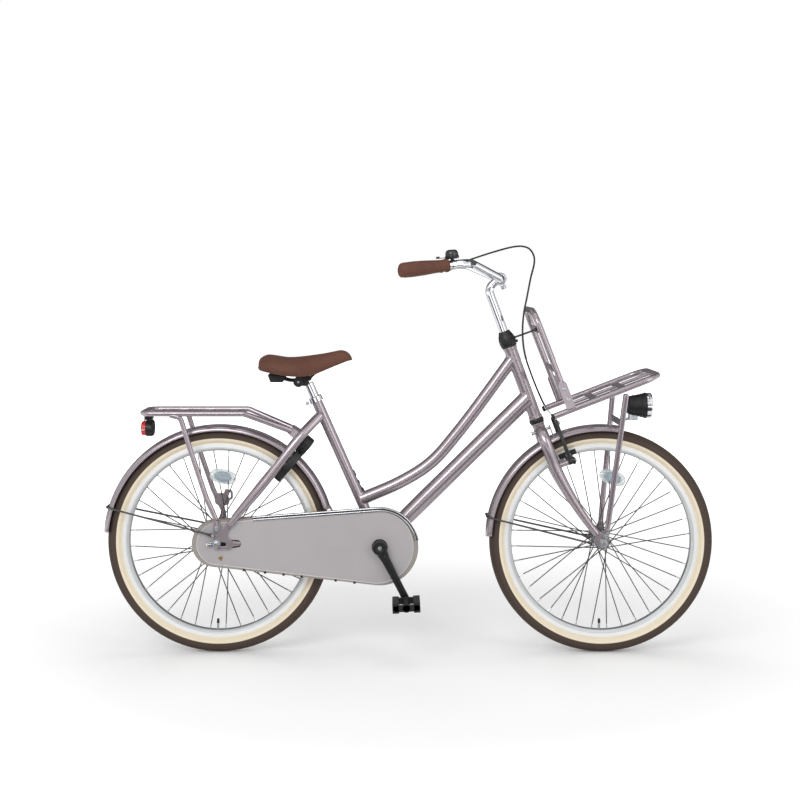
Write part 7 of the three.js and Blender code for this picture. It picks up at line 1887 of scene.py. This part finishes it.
wing_nut = knob([(0.01, 1.8), (5, 1.8), (4.2, 8.6), (0.01, 9)], 0.7, at_carrier(back_at, 0, 221),
    -carrier_out, 30)
build("backrest_strut", [(black_paint, [rod(strut_foot, strut_head - 2 * strut_run, 2.6, 18), wing, wing_nut,
                                        washer(strut_foot, strut_run, 3, 4)])], "steering", ["carrier_strut"])

# %% Carrier legs and lamp strap
leg_reach, leg_top_y = 189.2, 112
leg_top_x = carrier_root[0] + leg_reach
leg_top_z = carrier_root[2] + leg_reach * math.tan(math.radians(carrier_slope)) - carrier_radius - 3.15
eye_x, eye_z, leg_foot_y = wheelbase + 7.4, tyre_radius + 18.5, 56.8
leg_end = at(wheelbase + 9.4, 0, eye_z + 16.2)
strap_height = tyre_radius + fender_radius + 11


def carrier_leg_skins(side):
    top = at(leg_top_x, side * leg_top_y, leg_top_z - 3.75)
    end = at(leg_end[0], side * (leg_foot_y + 6), leg_end[2])
    line = evenly([top, end], 40)
    leg = tube(line, 7.5 - 0.9 * np.clip(np.linspace(-12, 1, 40), 0, 1), ahead, 28, 3)
    foot = slab(strap((eye_x, eye_z), 8.1, (leg_end[0], leg_end[2]), 7.5, 10), side, 55.3, 58.3, side_on,
        edge=0.8)
    neck_part = tube([end, end + at(-0.6, -side * 3, -9), at(eye_x + 0.8, side * 57, eye_z + 4)],
        [6.6, 4.4, 2], ahead, 20, 1)
    return [leg, foot, neck_part]


strap_share = (leg_top_z - strap_height) / (leg_top_z - leg_end[2])
lamp_strap_x = leg_top_x + (leg_end[0] - leg_top_x) * strap_share
lamp_strap_y = leg_top_y + (leg_foot_y - leg_top_y) * strap_share
lamp_strap = plate(block(-lamp_strap_y, strap_height - 9, lamp_strap_y, strap_height + 9, 3), -1.5, 1.5,
    plane((lamp_strap_x, 0, 0), across, upright, ahead), edge=0.9)
build("front_carrier_legs", [(paint, both(carrier_leg_skins) + [lamp_strap]),
    (hub_steel, both(lambda side: leg_screw(at(eye_x, side * 58.3, eye_z), side, 7.4, 4.4)))], "steering",
    ["carrier_legs"])

# %% [markdown]
# ## Head lamp
# The lamp's body is turned: a shallow cone with two grooves, a bright ring and a domed glass. A bent
# bracket under it is screwed to the strap between the legs.

# %% Head lamp
lamp_rear, lamp_ring = leg_top_x + 22.3, leg_top_x + 70.3
lamp_z = strap_height + 39.5
lamp_place = at(lamp_rear, 0, lamp_z)
body_line = rounded([(0.01, -5), (13, -5), (20, -3), (25, 2), (27, 12), (28.2, 12.4), (28.2, 14.4),
    (27.4, 15), (31, 33), (32.2, 33.4), (32.2, 35.4), (31.5, 36), (34.4, 44), (35, 48), (30, 48),
    (28, 44), (0.01, 30)], 1, False)
lamp_body = turned(body_line, lamp_place, ahead, 88)
bezel = bush([(29.5, 0), (34, 0), (34.4, 4), (34.2, 11), (32.6, 14.6), (30.6, 15), (29.5, 13)], 1.1,
    at(lamp_ring, 0, lamp_z), ahead, 88)
glass_turn = np.radians(np.linspace(0, 90, 12))
glass = turned(np.concatenate(([(0.01, 2), (29.6, 2)],
    np.stack((30 * np.cos(glass_turn) ** 0.7, 12 + 5 * np.sin(glass_turn)), -1)[:-1], [(0.01, 17)])),
    at(lamp_ring, 0, lamp_z), ahead, 72)
pad_x = lamp_strap_x + 1.8
lamp_pad = box((pad_x, strap_height - 8, -12), (pad_x + 3, strap_height + 8, 12), corner=1.2, edge=0.8)
lamp_arm = tube(spline([(pad_x + 2, 0, strap_height), (pad_x + 10, 0, strap_height + 0.5),
    (lamp_rear + 6, 0, lamp_z - 35), (lamp_rear + 14, 0, lamp_z - 31)], 24), 4, across, 20, 1)
lamp_head = box((lamp_rear + 2, lamp_z - 39, -9), (lamp_rear + 26, lamp_z - 22, 9), corner=3, edge=1.4)
build("head_lamp_body", [(black_plastic, [lamp_body]), (hub_steel, [lamp_pad, lamp_arm, lamp_head]
    + screw(at(pad_x + 3, 7, strap_height), ahead, 3.6, 2.6) + screw(at(pad_x + 3, -7, strap_height),
    ahead, 3.6, 2.6) + [hex_head(at(lamp_rear + 14, side * 9, lamp_z - 32), side * across, 3.4, 4.4)
    for side in (-1, 1)])], "steering", ["headlight"])
build("head_lamp_glass", [(clear_lens, [glass]), (chrome, [bezel])], "steering", ["headlight_lens"])

# %% [markdown]
# ## Parts that stay as they are
# The chain and the small sprocket are hidden in the case. They keep their modelled shape and get oiled
# steel and softened edges.

# %% Oiled steel for the chain and the sprocket
for name in ("chain", "sprocket"):
    part = bpy.data.objects[name]
    part.data.materials.clear()
    part.data.materials.append(dark_steel)
    bevel = part.modifiers.new("Softened edges", "BEVEL")
    bevel.width, bevel.segments, bevel.limit_method, bevel.angle_limit = 0.0003, 1, "ANGLE", math.radians(40)
